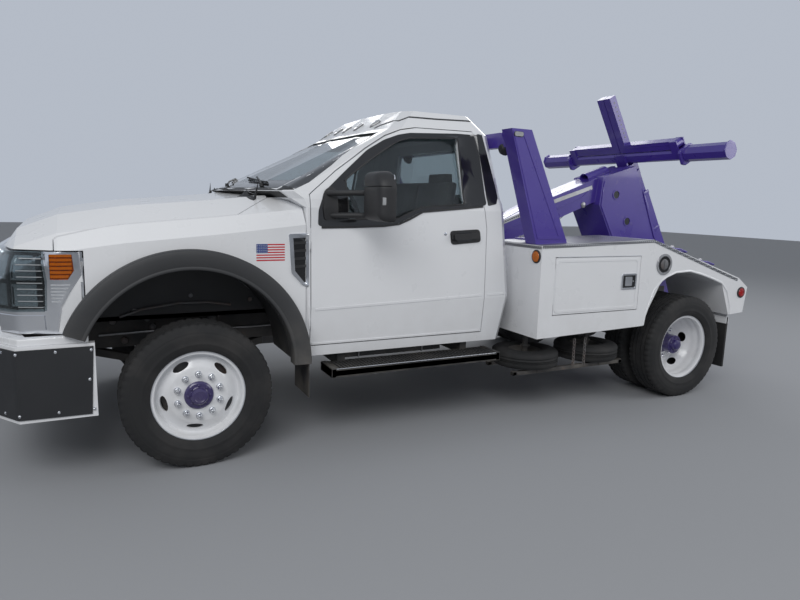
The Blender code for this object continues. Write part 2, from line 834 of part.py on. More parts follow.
def rim_barrel(outboard, inboard):
    """The outer side of a rim's barrel, from its outboard lip to its inboard lip."""
    seat = TYRE_BEAD_RADIUS - SEAT_GAP
    return [
        (RIM_LIP_RADIUS, outboard),
        (RIM_LIP_RADIUS, outboard - RIM_LIP_THICKNESS),
        (seat, outboard - RIM_LIP_THICKNESS),
        (seat, inboard + RIM_LIP_THICKNESS),
        (RIM_LIP_RADIUS, inboard + RIM_LIP_THICKNESS),
        (RIM_LIP_RADIUS, inboard),
    ]


def front_rim(word, side):
    """Front wheel disc: convex, with a hub that stands proud, bored for the spindle."""
    half = RIM_WIDTH / 2
    wall = DISC_THICKNESS
    seat = TYRE_BEAD_RADIUS - SEAT_GAP
    hole = bore_radius(SPINDLE_RADIUS, RIM_STEPS)
    deep = SPINDLE_LENGTH / 2 + SEAT_GAP
    crown = half * FRONT_CROWN_SHARE
    skirt, skirt_out = FRONT_SKIRT_SHARES
    back_out, back_end = (share * half for share in FRONT_HUB_BACK_SHARES)
    disc, disc_edge = half * FRONT_DISC_SHARE, half * FRONT_DISC_EDGE_SHARE
    profile = [
        (0, crown),
        (HUB_RADIUS, crown),
        (HUB_RADIUS, half * FRONT_HUB_FOOT_SHARE),
        (HUB_RADIUS * skirt, half * skirt_out),
        (seat - 3 * wall, disc),
        (seat - wall, disc_edge),
        (seat - wall, half - wall),
        *rim_barrel(half, -half),
        (seat - wall, -half),
        (seat - wall, disc_edge - wall),
        (seat - 3 * wall, disc - wall),
        (HUB_RADIUS, back_out - wall),
        (HUB_RADIUS, back_end),
        (hole, back_end),
        (hole, deep),
        (0, deep),
    ]
    place = (FRONT_AXLE_X, side * FRONT_TRACK / 2, TYRE_RADIUS)
    return turned(f"rim_front_{word}", profile, place, side, RIM_STEPS, "white_paint")


def rear_rims(word, side):
    """Twin rims bolted disc to disc between the tyres, with the drive hub through them."""
    half = RIM_WIDTH / 2
    wall = DISC_THICKNESS
    seat = TYRE_BEAD_RADIUS - SEAT_GAP
    outer, inner = DUAL_SPACING / 2, -DUAL_SPACING / 2
    crown, crown_out = REAR_CROWN_SHARES
    hole = bore_radius(SPINDLE_RADIUS, RIM_STEPS)
    deep = SPINDLE_LENGTH / 2 + SEAT_GAP
    profile = [
        (0, outer + half * crown_out),
        (HUB_RADIUS * crown, outer + half * crown_out),
        (HUB_RADIUS, outer + half * REAR_HUB_FOOT_SHARE),
        (HUB_RADIUS, wall),
        (HUB_RADIUS * REAR_DISC_SHARE, wall),
        (seat - wall * 2, outer - half * REAR_DISH_SHARE),
        (seat - wall * 2, outer + half - wall),
        *rim_barrel(outer + half, outer - half),
        (seat - wall, outer - half),
        (seat - wall, inner + half),
        *rim_barrel(inner + half, inner - half),
        (seat - wall * 2, inner - half),
        (seat - wall * 2, inner + half * REAR_DISH_SHARE),
        (HUB_RADIUS * REAR_DISC_SHARE, -wall),
        (HUB_RADIUS * REAR_HUB_BACK_SHARE, -wall),
        (HUB_RADIUS * REAR_HUB_BACK_SHARE, inner),
        (hole, inner),
        (hole, deep),
        (0, deep),
    ]
    place = (REAR_AXLE_X, side * DUAL_TRACK / 2, TYRE_RADIUS)
    return turned(f"rims_rear_{word}", profile, place, side, RIM_STEPS, "white_paint")


def power_train():
    """Engine as one plain block, gearbox with the drive shaft, tank and exhaust."""
    length, height = ENGINE_LENGTH, ENGINE_HEIGHT
    width = (RAIL_HALF_SPAN - RAIL_FLANGE - SEAT_GAP) * 2
    front = FRONT_AXLE_X + ENGINE_FRONT_SETBACK
    engine_rear = front - length
    block(
        "engine_block",
        (engine_rear, -width / 2, ENGINE_BOTTOM),
        (front, width / 2, ENGINE_BOTTOM + height),
        "steel",
    )
    length, width, height = GEARBOX_SIZE
    gearbox_rear = engine_rear - SEAT_GAP - length
    low = GEARBOX_BOTTOM
    driveline = block(
        "driveline",
        (gearbox_rear, -width / 2, low),
        (engine_rear - SEAT_GAP, width / 2, low + height),
        "steel",
    )
    shaft_start = (gearbox_rear + SHAFT_RADIUS, 0, low + height / 2)
    shaft_end = (REAR_AXLE_X + DIFFERENTIAL_LENGTH / 2 + SEAT_GAP, 0, TYRE_RADIUS)
    bend = (shaft_end[0] + SHAFT_RADIUS * 2, 0, TYRE_RADIUS)
    fuse(driveline, tube("drive_shaft", [shaft_start, bend, shaft_end], SHAFT_RADIUS))

    length, width, height = TANK_SIZE
    rail = RAIL_HALF_SPAN + SEAT_GAP
    tank_front = behind(TANK_SETBACK)
    block(
        "fuel_tank",
        (tank_front - length, rail, TANK_BOTTOM),
        (tank_front, rail + width, TANK_BOTTOM + height),
        "black_plastic",
    )
    y = -(RAIL_HALF_SPAN + MUFFLER_RADIUS + SEAT_GAP)
    x = tank_front
    z = RAIL_BOTTOM + RAIL_HEIGHT / 2
    exhaust = rod("exhaust", (x - MUFFLER_LENGTH, y, z), (x, y, z), MUFFLER_RADIUS, "steel")
    tail = [
        (x - MUFFLER_LENGTH + EXHAUST_RADIUS, y, z),
        (x - MUFFLER_LENGTH * EXHAUST_BEND_SHARES[0], y, z),
        (x - MUFFLER_LENGTH * EXHAUST_BEND_SHARES[1], y, z - MUFFLER_RADIUS),
    ]
    fuse(exhaust, tube("tail_pipe", tail, EXHAUST_RADIUS))


def cab_block(name, inset=0.0, floor=None, finish="white_paint", long=False):
    """The cab's outer form, or that form drawn in by an inset, as rings from sill to roof.

    A long one is drawn in at its sides only and runs out past the cab's front and back.
    """
    rings = []
    for number, (up, front, rear, width, sweep, corner) in enumerate(CAB_LEVEL_SHARES):
        z = CAB_BOTTOM + up * CAB_HEIGHT
        if number == 0:
            z = z - min(inset, 0) if floor is None else floor
        if number == len(CAB_LEVEL_SHARES) - 1:
            z -= inset
        ends = CAB_CORNER * 2 if long else -inset
        x_front = behind(CAB_FRONT_SETBACK) - front * CAB_LENGTH + ends
        x_rear = behind(CAB_FRONT_SETBACK) - rear * CAB_LENGTH - ends
        half = width * CAB_HALF_WIDTH - inset
        back = sweep * CAB_LENGTH
        cut_off = corner * CAB_CORNER
        ring = mirrored(
            [
                (x_front, 0),
                (x_front - back * CAB_BOW_SHARES[0], half * CAB_BOW_SHARES[1]),
                (x_front - back, half - cut_off),
                (x_front - back - cut_off, half),
                (x_rear + CAB_CORNER, half),
                (x_rear, half - CAB_CORNER),
            ]
        )
        rings.append([(x, y, z) for x, y in ring])
    return loft(name, rings, finish)


def grown(outline, distance):
    """An outline with every edge moved out by a distance, or in where it is negative."""
    points = [Vector(point) for point in outline]
    area = sum(a.cross(b) for a, b in zip(points, points[1:] + points[:1]))
    facing = distance if area > 0 else -distance
    result = []
    for before, corner, after in zip(points[-1:] + points[:-1], points, points[1:] + points[:1]):
        first, second = (corner - before).normalized(), (after - corner).normalized()
        normals = Vector((first.y, -first.x)), Vector((second.y, -second.x))
        middle = (normals[0] + normals[1]).normalized()
        result.append(tuple(corner + middle * facing / middle.dot(normals[0])))
    return result


def cab_outline(shares, grow=0.0):
    """Points on the cab's side, from shares of its length and height, grown outwards."""
    front = behind(CAB_FRONT_SETBACK)
    points = [(front - back * CAB_LENGTH, CAB_BOTTOM + up * CAB_HEIGHT) for back, up in shares]
    return grown(points, grow)


def side_prism(name, outline, side, inner, outer):
    """A prism through one side of the truck between two distances from its middle."""
    return plate(name, [outline], side * (inner + outer) / 2, outer - inner)


def cab_shell():
    """The cab's hollow shell, open at its doors and windows."""
    cab = cab_block("cab_shell")
    cut(cab, cab_block("cab_inside", CAB_WALL, CAB_FLOOR))
    under = CAB_FLOOR - CAB_WALL
    half = CAB_HALF_WIDTH - SILL_WIDTH
    front = behind(CAB_FRONT_SETBACK)
    cut(
        cab,
        block(
            "cab_underside",
            (front - CAB_LENGTH - OVERRUN, -half, CAB_BOTTOM - OVERRUN),
            (front, half, under),
        ),
    )
    for number, share in enumerate(CAB_MOUNT_SHARES):
        for word, side in SIDES.items():
            x, y = front - share * CAB_LENGTH, side * SPRING_Y
            low = RAIL_BOTTOM + RAIL_HEIGHT + SEAT_GAP
            mount = f"cab_mount_{number}_{word}"
            fuse(cab, rod(mount, (x, y, low), (x, y, under + CAB_WALL / 2), CAB_MOUNT_RADIUS))
    reach = CAB_HALF_WIDTH + OVERRUN
    for word, side in SIDES.items():
        inner = CAB_HALF_WIDTH * SIDE_CUT_SHARE
        cut(
            cab,
            side_prism(
                f"door_opening_{word}", cab_outline(DOOR_OUTLINE_SHARES), side, inner, reach
            ),
        )
    cut(cab, window_region("windshield_opening", "front", 0.0))
    cut(cab, window_region("rear_opening", "rear", 0.0))
    return cab


def window_region(name, end, inset, finish="glass"):
    """The space of the windshield or rear window: a block that tapers in with the pillars."""
    shares = WINDSHIELD_SHARES if end == "front" else REAR_WINDOW_SHARES
    low_share, high_share, half_share = shares
    foot, head = CAB_LEVEL_SHARES[4], CAB_LEVEL_SHARES[5]
    rings = []
    for share in (low_share, high_share):
        blend = (share - foot[0]) / (head[0] - foot[0])
        column = 1 if end == "front" else 2
        back = foot[column] + (head[column] - foot[column]) * blend
        width = foot[3] + (head[3] - foot[3]) * blend
        x = behind(CAB_FRONT_SETBACK) - back * CAB_LENGTH
        half = width * CAB_HALF_WIDTH * half_share - inset
        reach = foot[4] * CAB_LENGTH + CAB_WALL * 2
        near, far = (x + reach, x - reach) if end == "front" else (x + CAB_WALL * 2, x - reach)
        z = CAB_BOTTOM + share * CAB_HEIGHT + (inset if share == low_share else -inset)
        rings.append([(near, -half, z), (near, half, z), (far, half, z), (far, -half, z)])
    return loft(name, rings, finish)


def window_glass(name, end):
    """A windshield or rear window: a thin slice of the cab's skin inside its opening."""
    middle = CAB_WALL / 2
    glass = cab_block(name, middle - GLASS_THICKNESS / 2, finish="glass")
    keep(glass, window_region(f"{name}_edge", end, SEAT_GAP))
    cut(glass, cab_block(f"{name}_back", middle + GLASS_THICKNESS / 2, CAB_BOTTOM - OVERRUN))
    return glass


def door(word, side):
    """A cab door cut from the cab's own skin, with its window open."""
    panel = cab_block(f"door_{word}")
    reach = CAB_HALF_WIDTH + OVERRUN
    inner = CAB_HALF_WIDTH * SIDE_CUT_SHARE
    outline = cab_outline(DOOR_OUTLINE_SHARES, -PANEL_GAP)
    keep(panel, side_prism(f"door_edge_{word}", outline, side, inner, reach))
    cut(panel, cab_block(f"door_inside_{word}", DOOR_WALL, CAB_BOTTOM - OVERRUN, long=True))
    window = cab_outline(DOOR_WINDOW_SHARES)
    cut(panel, side_prism(f"window_opening_{word}", window, side, inner, reach))
    outer, inner = (CAB_HALF_WIDTH - share * DOOR_WALL for share in HINGE_LEAF_DEPTH_SHARES)
    for number, (low, high) in enumerate(HINGE_LEAF_SHARES):
        leaf = block(
            f"hinge_leaf_{number}_{word}",
            (door_hinge_x() - PANEL_GAP * 2, side_low(side, inner, outer), CAB_BOTTOM + low * CAB_HEIGHT),
            (door_hinge_x(), side_high(side, inner, outer), CAB_BOTTOM + high * CAB_HEIGHT),
        )
        fuse(panel, leaf)
    return panel


def door_hinge_x():
    """The x of the doors' hinge line, on the pillar before them."""
    return behind(CAB_FRONT_SETBACK) - DOOR_OUTLINE_SHARES[0][0] * CAB_LENGTH - SEAT_GAP


def door_glass(word, side):
    """The door's glass: a thin slice of the cab's skin inside the window opening."""
    middle = DOOR_WALL / 2
    outside = middle - GLASS_THICKNESS / 2
    glass = cab_block(f"door_glass_{word}", outside, finish="glass", long=True)
    reach = CAB_HALF_WIDTH + OVERRUN
    inner = CAB_HALF_WIDTH * SIDE_CUT_SHARE
    outline = cab_outline(DOOR_WINDOW_SHARES, -SEAT_GAP)
    keep(glass, side_prism(f"door_glass_edge_{word}", outline, side, inner, reach))
    inside = middle + GLASS_THICKNESS / 2
    cut(glass, cab_block(f"door_glass_back_{word}", inside, CAB_BOTTOM - OVERRUN, long=True))
    return glass


def nose_block(name, inset=0.0, finish="white_paint"):
    """The form of hood and fenders, as rings from the doors forward."""
    rings = []
    low = NOSE_BOTTOM - OVERRUN if inset else NOSE_BOTTOM
    last = len(NOSE_STATION_SHARES) - 1
    for number, (along, centre, shoulder, edge, width) in enumerate(NOSE_STATION_SHARES):
        x = FRONT_AXLE_X + FRONT_OVERHANG - FRONT_NOSE_GAP - NOSE_LENGTH * (1 - along)
        if number == 0:
            x -= OVERRUN if inset else 0
        if number == last:
            x -= inset
        half = width * NOSE_HALF_WIDTH - inset
        heights = [NOSE_BOTTOM + share * NOSE_HEIGHT - inset for share in (centre, shoulder, edge)]
        side_z = heights[2] - NOSE_HEIGHT * NOSE_SIDE_DROP_SHARE
        ring = mirrored_rows(
            [
                (0, heights[0]),
                (half * SHOULDER_Y_SHARE, heights[1]),
                (half * EDGE_Y_SHARE, heights[2]),
                (half, side_z),
                (half, low),
            ]
        )
        rings.append([(x, y, z) for y, z in ring])
    return loft(name, rings, finish)


def mirrored_rows(points):
    """Both halves of a section given as (y, z) from its top middle down one side."""
    return list(points) + [(-y, z) for y, z in reversed(points) if y > 0]


def nose_shell(name):
    """The thin skin of hood and fenders."""
    skin = nose_block(name)
    cut(skin, nose_block(f"{name}_inside", NOSE_WALL))
    return skin


def clear_of_cab(piece, gap):
    """Cuts a piece back to this gap before the cab."""
    cut(piece, cab_block(f"{piece.name}_cab", -gap, CAB_BOTTOM - OVERRUN * 2))


def hood():
    """The top of the nose between the fenders."""
    skin = nose_shell("hood")
    clear_of_cab(skin, RUNNING_GAP)
    keep(skin, hood_plan("hood_edge", -PANEL_GAP / 2))
    return skin


def hood_plan(name, grow):
    """The space over the hood's outline in plan, grown outwards."""
    points = grown(mirrored([(behind(back), half) for back, half in HOOD_EDGE_PLAN]), grow)
    low, high = MASK_TOP + PANEL_GAP, NOSE_BOTTOM + NOSE_HEIGHT + OVERRUN
    return plate(name, [points], (low + high) / 2, high - low, "XY")


def arch_points(radius, steps=ARCH_STEPS, start=0.0, end=2 * math.pi):
    """Points on a circle round the front wheel arch's middle."""
    count = steps if end - start >= 2 * math.pi else steps + 1
    return [
        (
            FRONT_AXLE_X + ARCH_SHIFT + radius * math.cos(start + (end - start) * i / steps),
            TYRE_RADIUS + ARCH_RISE + radius * math.sin(start + (end - start) * i / steps),
        )
        for i in range(count)
    ]


def fender(word, side):
    """A front fender with its flare, open over the wheel."""
    skin = nose_shell(f"fender_{word}")
    front = FRONT_AXLE_X + FRONT_OVERHANG
    rear = front - FRONT_NOSE_GAP - NOSE_LENGTH
    inner = HOOD_HALF_WIDTH + PANEL_GAP / 2
    reach = NOSE_HALF_WIDTH + FLARE_DEPTH + OVERRUN
    ceiling = NOSE_BOTTOM + NOSE_HEIGHT + OVERRUN
    region = [
        (rear - OVERRUN, NOSE_BOTTOM - OVERRUN),
        (rear - OVERRUN, ceiling),
        (front, ceiling),
        (front, MASK_TOP + PANEL_GAP),
        (FRONT_AXLE_X + MASK_REAR_SETBACK, MASK_TOP + PANEL_GAP),
        (FRONT_AXLE_X + MASK_REAR_SETBACK, MASK_BOTTOM),
        (FRONT_AXLE_X, MASK_BOTTOM),
        (FRONT_AXLE_X, NOSE_BOTTOM - OVERRUN),
    ]
    keep(skin, side_prism(f"fender_edge_{word}", region, side, inner, reach))
    cut(skin, hood_plan(f"hood_room_{word}", PANEL_GAP / 2))
    steps = ARCH_STEPS // 2
    outer = arch_points(ARCH_RADIUS + FLARE_WIDTH, steps, 0, math.pi)
    band = outer + arch_points(ARCH_RADIUS - OVERRUN, steps, 0, math.pi)[::-1]
    depth = NOSE_HALF_WIDTH + FLARE_DEPTH
    flare = side_prism(f"flare_{word}", band, side, NOSE_HALF_WIDTH - NOSE_WALL / 2, depth)
    fuse(skin, flare)
    clear_of_cab(skin, SEAT_GAP)
    cut(
        skin,
        side_prism(f"arch_{word}", arch_points(ARCH_RADIUS), side, inner - OVERRUN, reach),
    )
    door_bottom = CAB_BOTTOM + DOOR_OUTLINE_SHARES[0][1] * CAB_HEIGHT
    cut(
        skin,
        block(
            f"door_sweep_{word}",
            (
                door_hinge_x() - OVERRUN * 2,
                side_low(side, CAB_HALF_WIDTH - NOSE_WALL, reach),
                door_bottom - RUNNING_GAP,
            ),
            (door_hinge_x() + PANEL_GAP, side_high(side, CAB_HALF_WIDTH - NOSE_WALL, reach), ceiling),
        ),
    )
    cut(
        skin,
        block(
            f"flare_end_{word}",
            (FRONT_AXLE_X, side_low(side, inner - OVERRUN, reach), NOSE_BOTTOM - OVERRUN),
            (front, side_high(side, inner - OVERRUN, reach), MASK_BOTTOM + PANEL_GAP),
        ),
    )
    return skin


def side_low(side, inner, outer):
    return min(side * inner, side * outer)


def side_high(side, inner, outer):
    return max(side * inner, side * outer)


def grille():
    """The front mask: headlamp housings and grille surround with cross bars."""
    front = FRONT_AXLE_X + FRONT_OVERHANG
    mask = nose_block("grille", finish="chrome")
    rear = FRONT_AXLE_X + MASK_REAR_SETBACK + PANEL_GAP
    edge = block(
        "mask_edge",
        (rear, -NOSE_HALF_WIDTH, MASK_BOTTOM),
        (front, NOSE_HALF_WIDTH, MASK_TOP),
    )
    lug = block(
        "mask_lug",
        (rear - PANEL_GAP + SEAT_GAP, -NOSE_HALF_WIDTH, MASK_TOP - MASK_LUG_DROP - MASK_LUG_HEIGHT),
        (rear + PANEL_GAP, NOSE_HALF_WIDTH, MASK_TOP - MASK_LUG_DROP),
    )
    fuse(edge, lug)
    keep(mask, edge)
    cut(mask, nose_block("mask_inside", MASK_DEPTH))
    room = (MASK_TOP - MASK_BOTTOM) / GRILLE_BARS
    bar = room * GRILLE_BAR_SHARE
    for number in range(GRILLE_BARS):
        low = MASK_BOTTOM + number * room + bar
        cut(
            mask,
            block(
                f"grille_slot_{number}",
                (rear, -GRILLE_HALF_WIDTH, low),
                (front, GRILLE_HALF_WIDTH, low + room - bar * GRILLE_SOLID_SHARE),
            ),
        )
    x, half = front - HOOD_STOP_SETBACK, HOOD_STOP_SIZE / 2
    for word, side in SIDES.items():
        y = side * HOOD_STOP_Y
        low, high = MASK_TOP - half, MASK_TOP + PANEL_GAP - SEAT_GAP
        fuse(mask, block(f"hood_stop_{word}", (x - half, y - half, low), (x + half, y + half, high)))
    return mask


def bumper():
    """The front bumper: a channel that wraps round to the wheels."""
    front = FRONT_AXLE_X + FRONT_OVERHANG
    outer = [
        (front - BUMPER_DEPTH * (1 - along), BUMPER_HALF_WIDTH * across)
        for across, along in BUMPER_OUTLINE_SHARES
    ]
    inner = [
        (x - BUMPER_WALL * (0 if number == 0 else 1), y - BUMPER_WALL)
        for number, (x, y) in enumerate(outer)
    ]
    outline = outer + [(x, -y) for x, y in reversed(outer)]
    hollow = [(x, -y) for x, y in inner] + [(x, y) for x, y in reversed(inner)]
    return plate(
        "bumper",
        [outline + hollow],
        BUMPER_BOTTOM + BUMPER_HEIGHT / 2,
        BUMPER_HEIGHT,
        "XY",
        "white_paint",
    )


def running_board(word, side):
    """A running board on two brackets that reach in to the frame rail."""
    front = behind(BOARD_MIDDLE_SETBACK) + BOARD_LENGTH / 2
    inner = BOARD_OUTER_Y - BOARD_WIDTH
    board = block(
        f"running_board_{word}",
        (front - BOARD_LENGTH, side_low(side, inner, BOARD_OUTER_Y), BOARD_TOP - BOARD_THICKNESS),
        (front, side_high(side, inner, BOARD_OUTER_Y), BOARD_TOP),
        "black_plastic",
    )
    rail = RAIL_HALF_SPAN - RAIL_FLANGE
    low, high = BOARD_TOP - BOARD_THICKNESS / 2, CAB_BOTTOM - PANEL_GAP
    tank_front = behind(TANK_SETBACK)
    tank_rear = tank_front - TANK_SIZE[0]
    spans = (
        (tank_front + BRACKET_TANK_GAP, tank_front + BRACKET_TANK_GAP + BRACKET_WIDTH),
        (tank_rear - BRACKET_TANK_GAP - BRACKET_WIDTH, tank_rear - BRACKET_TANK_GAP),
    )
    for number, (x_low, x_high) in enumerate(spans):
        arm = block(
            f"board_arm_{number}_{word}",
            (x_low, side_low(side, rail, inner + OVERRUN / 2), low),
            (x_high, side_high(side, rail, inner + OVERRUN / 2), high),
        )
        pad = block(
            f"board_pad_{number}_{word}",
            (x_low, side_low(side, rail, RAIL_HALF_SPAN), low),
            (x_high, side_high(side, rail, RAIL_HALF_SPAN), RAIL_BOTTOM - SEAT_GAP),
        )
        fuse(board, arm, pad)
    return board


def mirror(word, side):
    """A towing mirror on two arms from the door."""
    x, z = behind(MIRROR_SETBACK), MIRROR_Z
    half = MIRROR_WIDTH / 2
    head = block(
        f"mirror_{word}",
        (x - MIRROR_DEPTH / 2, side_low(side, MIRROR_Y - half, MIRROR_Y + half), z - MIRROR_HEIGHT / 2),
        (x + MIRROR_DEPTH / 2, side_high(side, MIRROR_Y - half, MIRROR_Y + half), z + MIRROR_HEIGHT / 2),
        "black_plastic",
    )
    for number, rise in enumerate(MIRROR_ARM_RISES):
        start = (behind(MIRROR_ARM_SETBACK), side * (CAB_HALF_WIDTH - CAB_WALL * 2), z + rise)
        end = (x, side * (MIRROR_Y - MIRROR_WIDTH / 4), z + rise)
        fuse(head, tube(f"mirror_arm_{number}_{word}", [start, end], MIRROR_ARM_RADIUS))
    cut(head, cab_block(f"mirror_seat_{word}", -SEAT_GAP, CAB_BOTTOM))
    return head


def tow_body_side(word, side):
    """One side of the tow body: a toolbox before the wheels and a sloping fender over them."""
    front = behind(BODY_FRONT_SETBACK)

    def place(shares):
        return [
            (front - back * BODY_LENGTH, BODY_BOTTOM + up * BODY_HEIGHT) for back, up in shares
        ]

    inner = BODY_HALF_WIDTH - BODY_SIDE_DEPTH
    shell = plate(
        f"body_side_{word}",
        [place(BODY_OUTLINE_SHARES)],
        side * (inner + BODY_HALF_WIDTH) / 2,
        BODY_SIDE_DEPTH,
        finish="white_paint",
    )
    cut(
        shell,
        side_prism(
            f"body_arch_{word}",
            place(BODY_ARCH_SHARES),
            side,
            inner - OVERRUN,
            BODY_HALF_WIDTH + OVERRUN,
        ),
    )
    start, end, low, high = TOOLBOX_CAVITY_SHARES
    cut(
        shell,
        side_prism(
            f"toolbox_{word}",
            place(((start, low), (end, low), (end, high), (start, high))),
            side,
            inner + BODY_WALL,
            BODY_HALF_WIDTH - BODY_WALL,
        ),
    )
    start, end, low, high = TOOLBOX_DOOR_SHARES
    corners = place(((start, low), (end, low), (end, high), (start, high)))
    cut(
        shell,
        side_prism(
            f"toolbox_opening_{word}",
            corners,
            side,
            BODY_HALF_WIDTH - BODY_WALL - OVERRUN,
            BODY_HALF_WIDTH + OVERRUN,
        ),
    )
    (x_front, z_low), (x_rear, z_high) = corners[0], corners[2]
    inset = PANEL_GAP
    leaf_low, leaf_high = (BODY_BOTTOM + share * BODY_HEIGHT for share in TOOLBOX_LEAF_SHARES)
    lid = block(
        f"toolbox_door_{word}",
        (
            x_rear + inset,
            side_low(side, BODY_HALF_WIDTH - TOOLBOX_DOOR_THICKNESS, BODY_HALF_WIDTH),
            z_low + inset,
        ),
        (
            x_front - inset,
            side_high(side, BODY_HALF_WIDTH - TOOLBOX_DOOR_THICKNESS, BODY_HALF_WIDTH),
            z_high - inset,
        ),
        "white_paint",
    )
    outer, inner = BODY_HALF_WIDTH - PANEL_GAP / 2, BODY_HALF_WIDTH - TOOLBOX_DOOR_THICKNESS + PANEL_GAP / 2
    leaf = block(
        f"toolbox_leaf_{word}",
        (x_front - inset * 2, side_low(side, inner, outer), leaf_low),
        (x_front - SEAT_GAP, side_high(side, inner, outer), leaf_high),
    )
    fuse(lid, leaf)
    flap_x = behind(BODY_FRONT_SETBACK + MUD_FLAP_SHARE * BODY_LENGTH)
    edge = BODY_HALF_WIDTH - MUD_FLAP_EDGE_GAP
    span = (edge - MUD_FLAP_WIDTH, edge)
    flap = block(
        f"mud_flap_{word}",
        (flap_x - MUD_FLAP_THICKNESS / 2, side_low(side, *span), MUD_FLAP_BOTTOM),
        (flap_x + MUD_FLAP_THICKNESS / 2, side_high(side, *span), BODY_BOTTOM + BODY_HEIGHT / 4),
    )
    fuse(shell, flap)
    return shell


def body_edge_z(setback, first, second):
    """The height of the tow body's side outline at a setback, between two of its corners."""
    start, end = BODY_OUTLINE_SHARES[first], BODY_OUTLINE_SHARES[second]
    share = (setback - BODY_FRONT_SETBACK) / BODY_LENGTH
    blend = (share - start[0]) / (end[0] - start[0])
    return BODY_BOTTOM + BODY_HEIGHT * (start[1] + (end[1] - start[1]) * blend)


def deck():
    """The deck between the side boxes, open at its rear for the mast."""
    front = behind(BODY_FRONT_SETBACK)
    rear = front - BODY_LENGTH
    half = BODY_HALF_WIDTH - BODY_SIDE_DEPTH - SEAT_GAP
    slot = front - BODY_LENGTH * DECK_SLOT_SHARE
    outline = [
        (front, -half),
        (front, half),
        (rear, half),
        (rear, DECK_SLOT_HALF_WIDTH),
        (slot, DECK_SLOT_HALF_WIDTH),
        (slot, -DECK_SLOT_HALF_WIDTH),
        (rear, -DECK_SLOT_HALF_WIDTH),
        (rear, -half),
    ]
    floor = plate(
        "deck",
        [outline],
        DECK_TOP - DECK_THICKNESS / 2,
        DECK_THICKNESS,
        "XY",
        "purple_paint",
    )
    bottom = RAIL_BOTTOM + RAIL_HEIGHT + SEAT_GAP
    for word, side in SIDES.items():
        fuse(
            floor,
            block(
                f"deck_sill_{word}",
                (rear, side_low(side, DECK_SLOT_HALF_WIDTH, RAIL_HALF_SPAN), bottom),
                (front, side_high(side, DECK_SLOT_HALF_WIDTH, RAIL_HALF_SPAN), DECK_TOP - DECK_THICKNESS / 2),
            ),
        )
    for name, place, radius, half in (
        ("boom_ear", Vector((behind(BOOM_PIVOT_SETBACK), 0, BOOM_PIVOT_Z)), BOOM_PIN_RADIUS, BOOM_HALF_WIDTH),
        ("cylinder_ear", cylinder_foot(), CYLINDER_PIN_RADIUS, CYLINDER_RADIUS),
    ):
        clear = half + RUNNING_GAP
        wide = radius * EAR_SIZE_SHARE
        foot = DECK_TOP - DECK_THICKNESS / 2
        ear = [
            (place.x - wide * EAR_FOOT_SHARE, foot),
            *((place.x + wide * along, place.z + wide * up) for along, up in EAR_TOP_SHARES),
            (place.x + wide * EAR_FOOT_SHARE, foot),
        ]
        for word, side in SIDES.items():
            fuse(floor, side_prism(f"{name}_{word}", ear, side, clear, clear + EAR_THICKNESS))
        across = Vector((0, clear + EAR_THICKNESS / 2, 0))
        fuse(floor, rod(f"{name}_pin", place - across, place + across, radius))
    return floor


def headboard():
    """Two leaning legs on the side boxes with a beam across behind the cab."""
    rear_top = behind(HEADBOARD_SETBACK - HEADBOARD_LEAN)
    front, foot_rear = HEADBOARD_SETBACK, HEADBOARD_SETBACK + HEADBOARD_FOOT_DEPTH
    outline = [
        (behind(front), body_edge_z(front, 1, 2) + SEAT_GAP),
        (rear_top, HEADBOARD_TOP),
        (rear_top - HEADBOARD_TOP_DEPTH, HEADBOARD_TOP),
        (behind(foot_rear), body_edge_z(foot_rear, 1, 2) + SEAT_GAP),
    ]
    inner = HEADBOARD_HALF_WIDTH - HEADBOARD_LEG_WIDTH
    reach = HEADBOARD_HALF_WIDTH - HEADBOARD_LEG_WIDTH / 2
    x = rear_top - HEADBOARD_TOP_DEPTH
    beam = block(
        "headboard",
        (x, -reach, HEADBOARD_TOP - HEADBOARD_BEAM),
        (x + HEADBOARD_BEAM_DEPTH, reach, HEADBOARD_TOP - SEAT_GAP),
        "purple_paint",
    )
    for word, side in SIDES.items():
        fuse(beam, side_prism(f"headboard_leg_{word}", outline, side, inner, HEADBOARD_HALF_WIDTH))
    return beam


def boom_outline(shares):
    x, z = behind(BOOM_PIVOT_SETBACK), BOOM_PIVOT_Z
    return [(x - back * BOOM_REACH, z + up * BOOM_RISE) for back, up in shares]


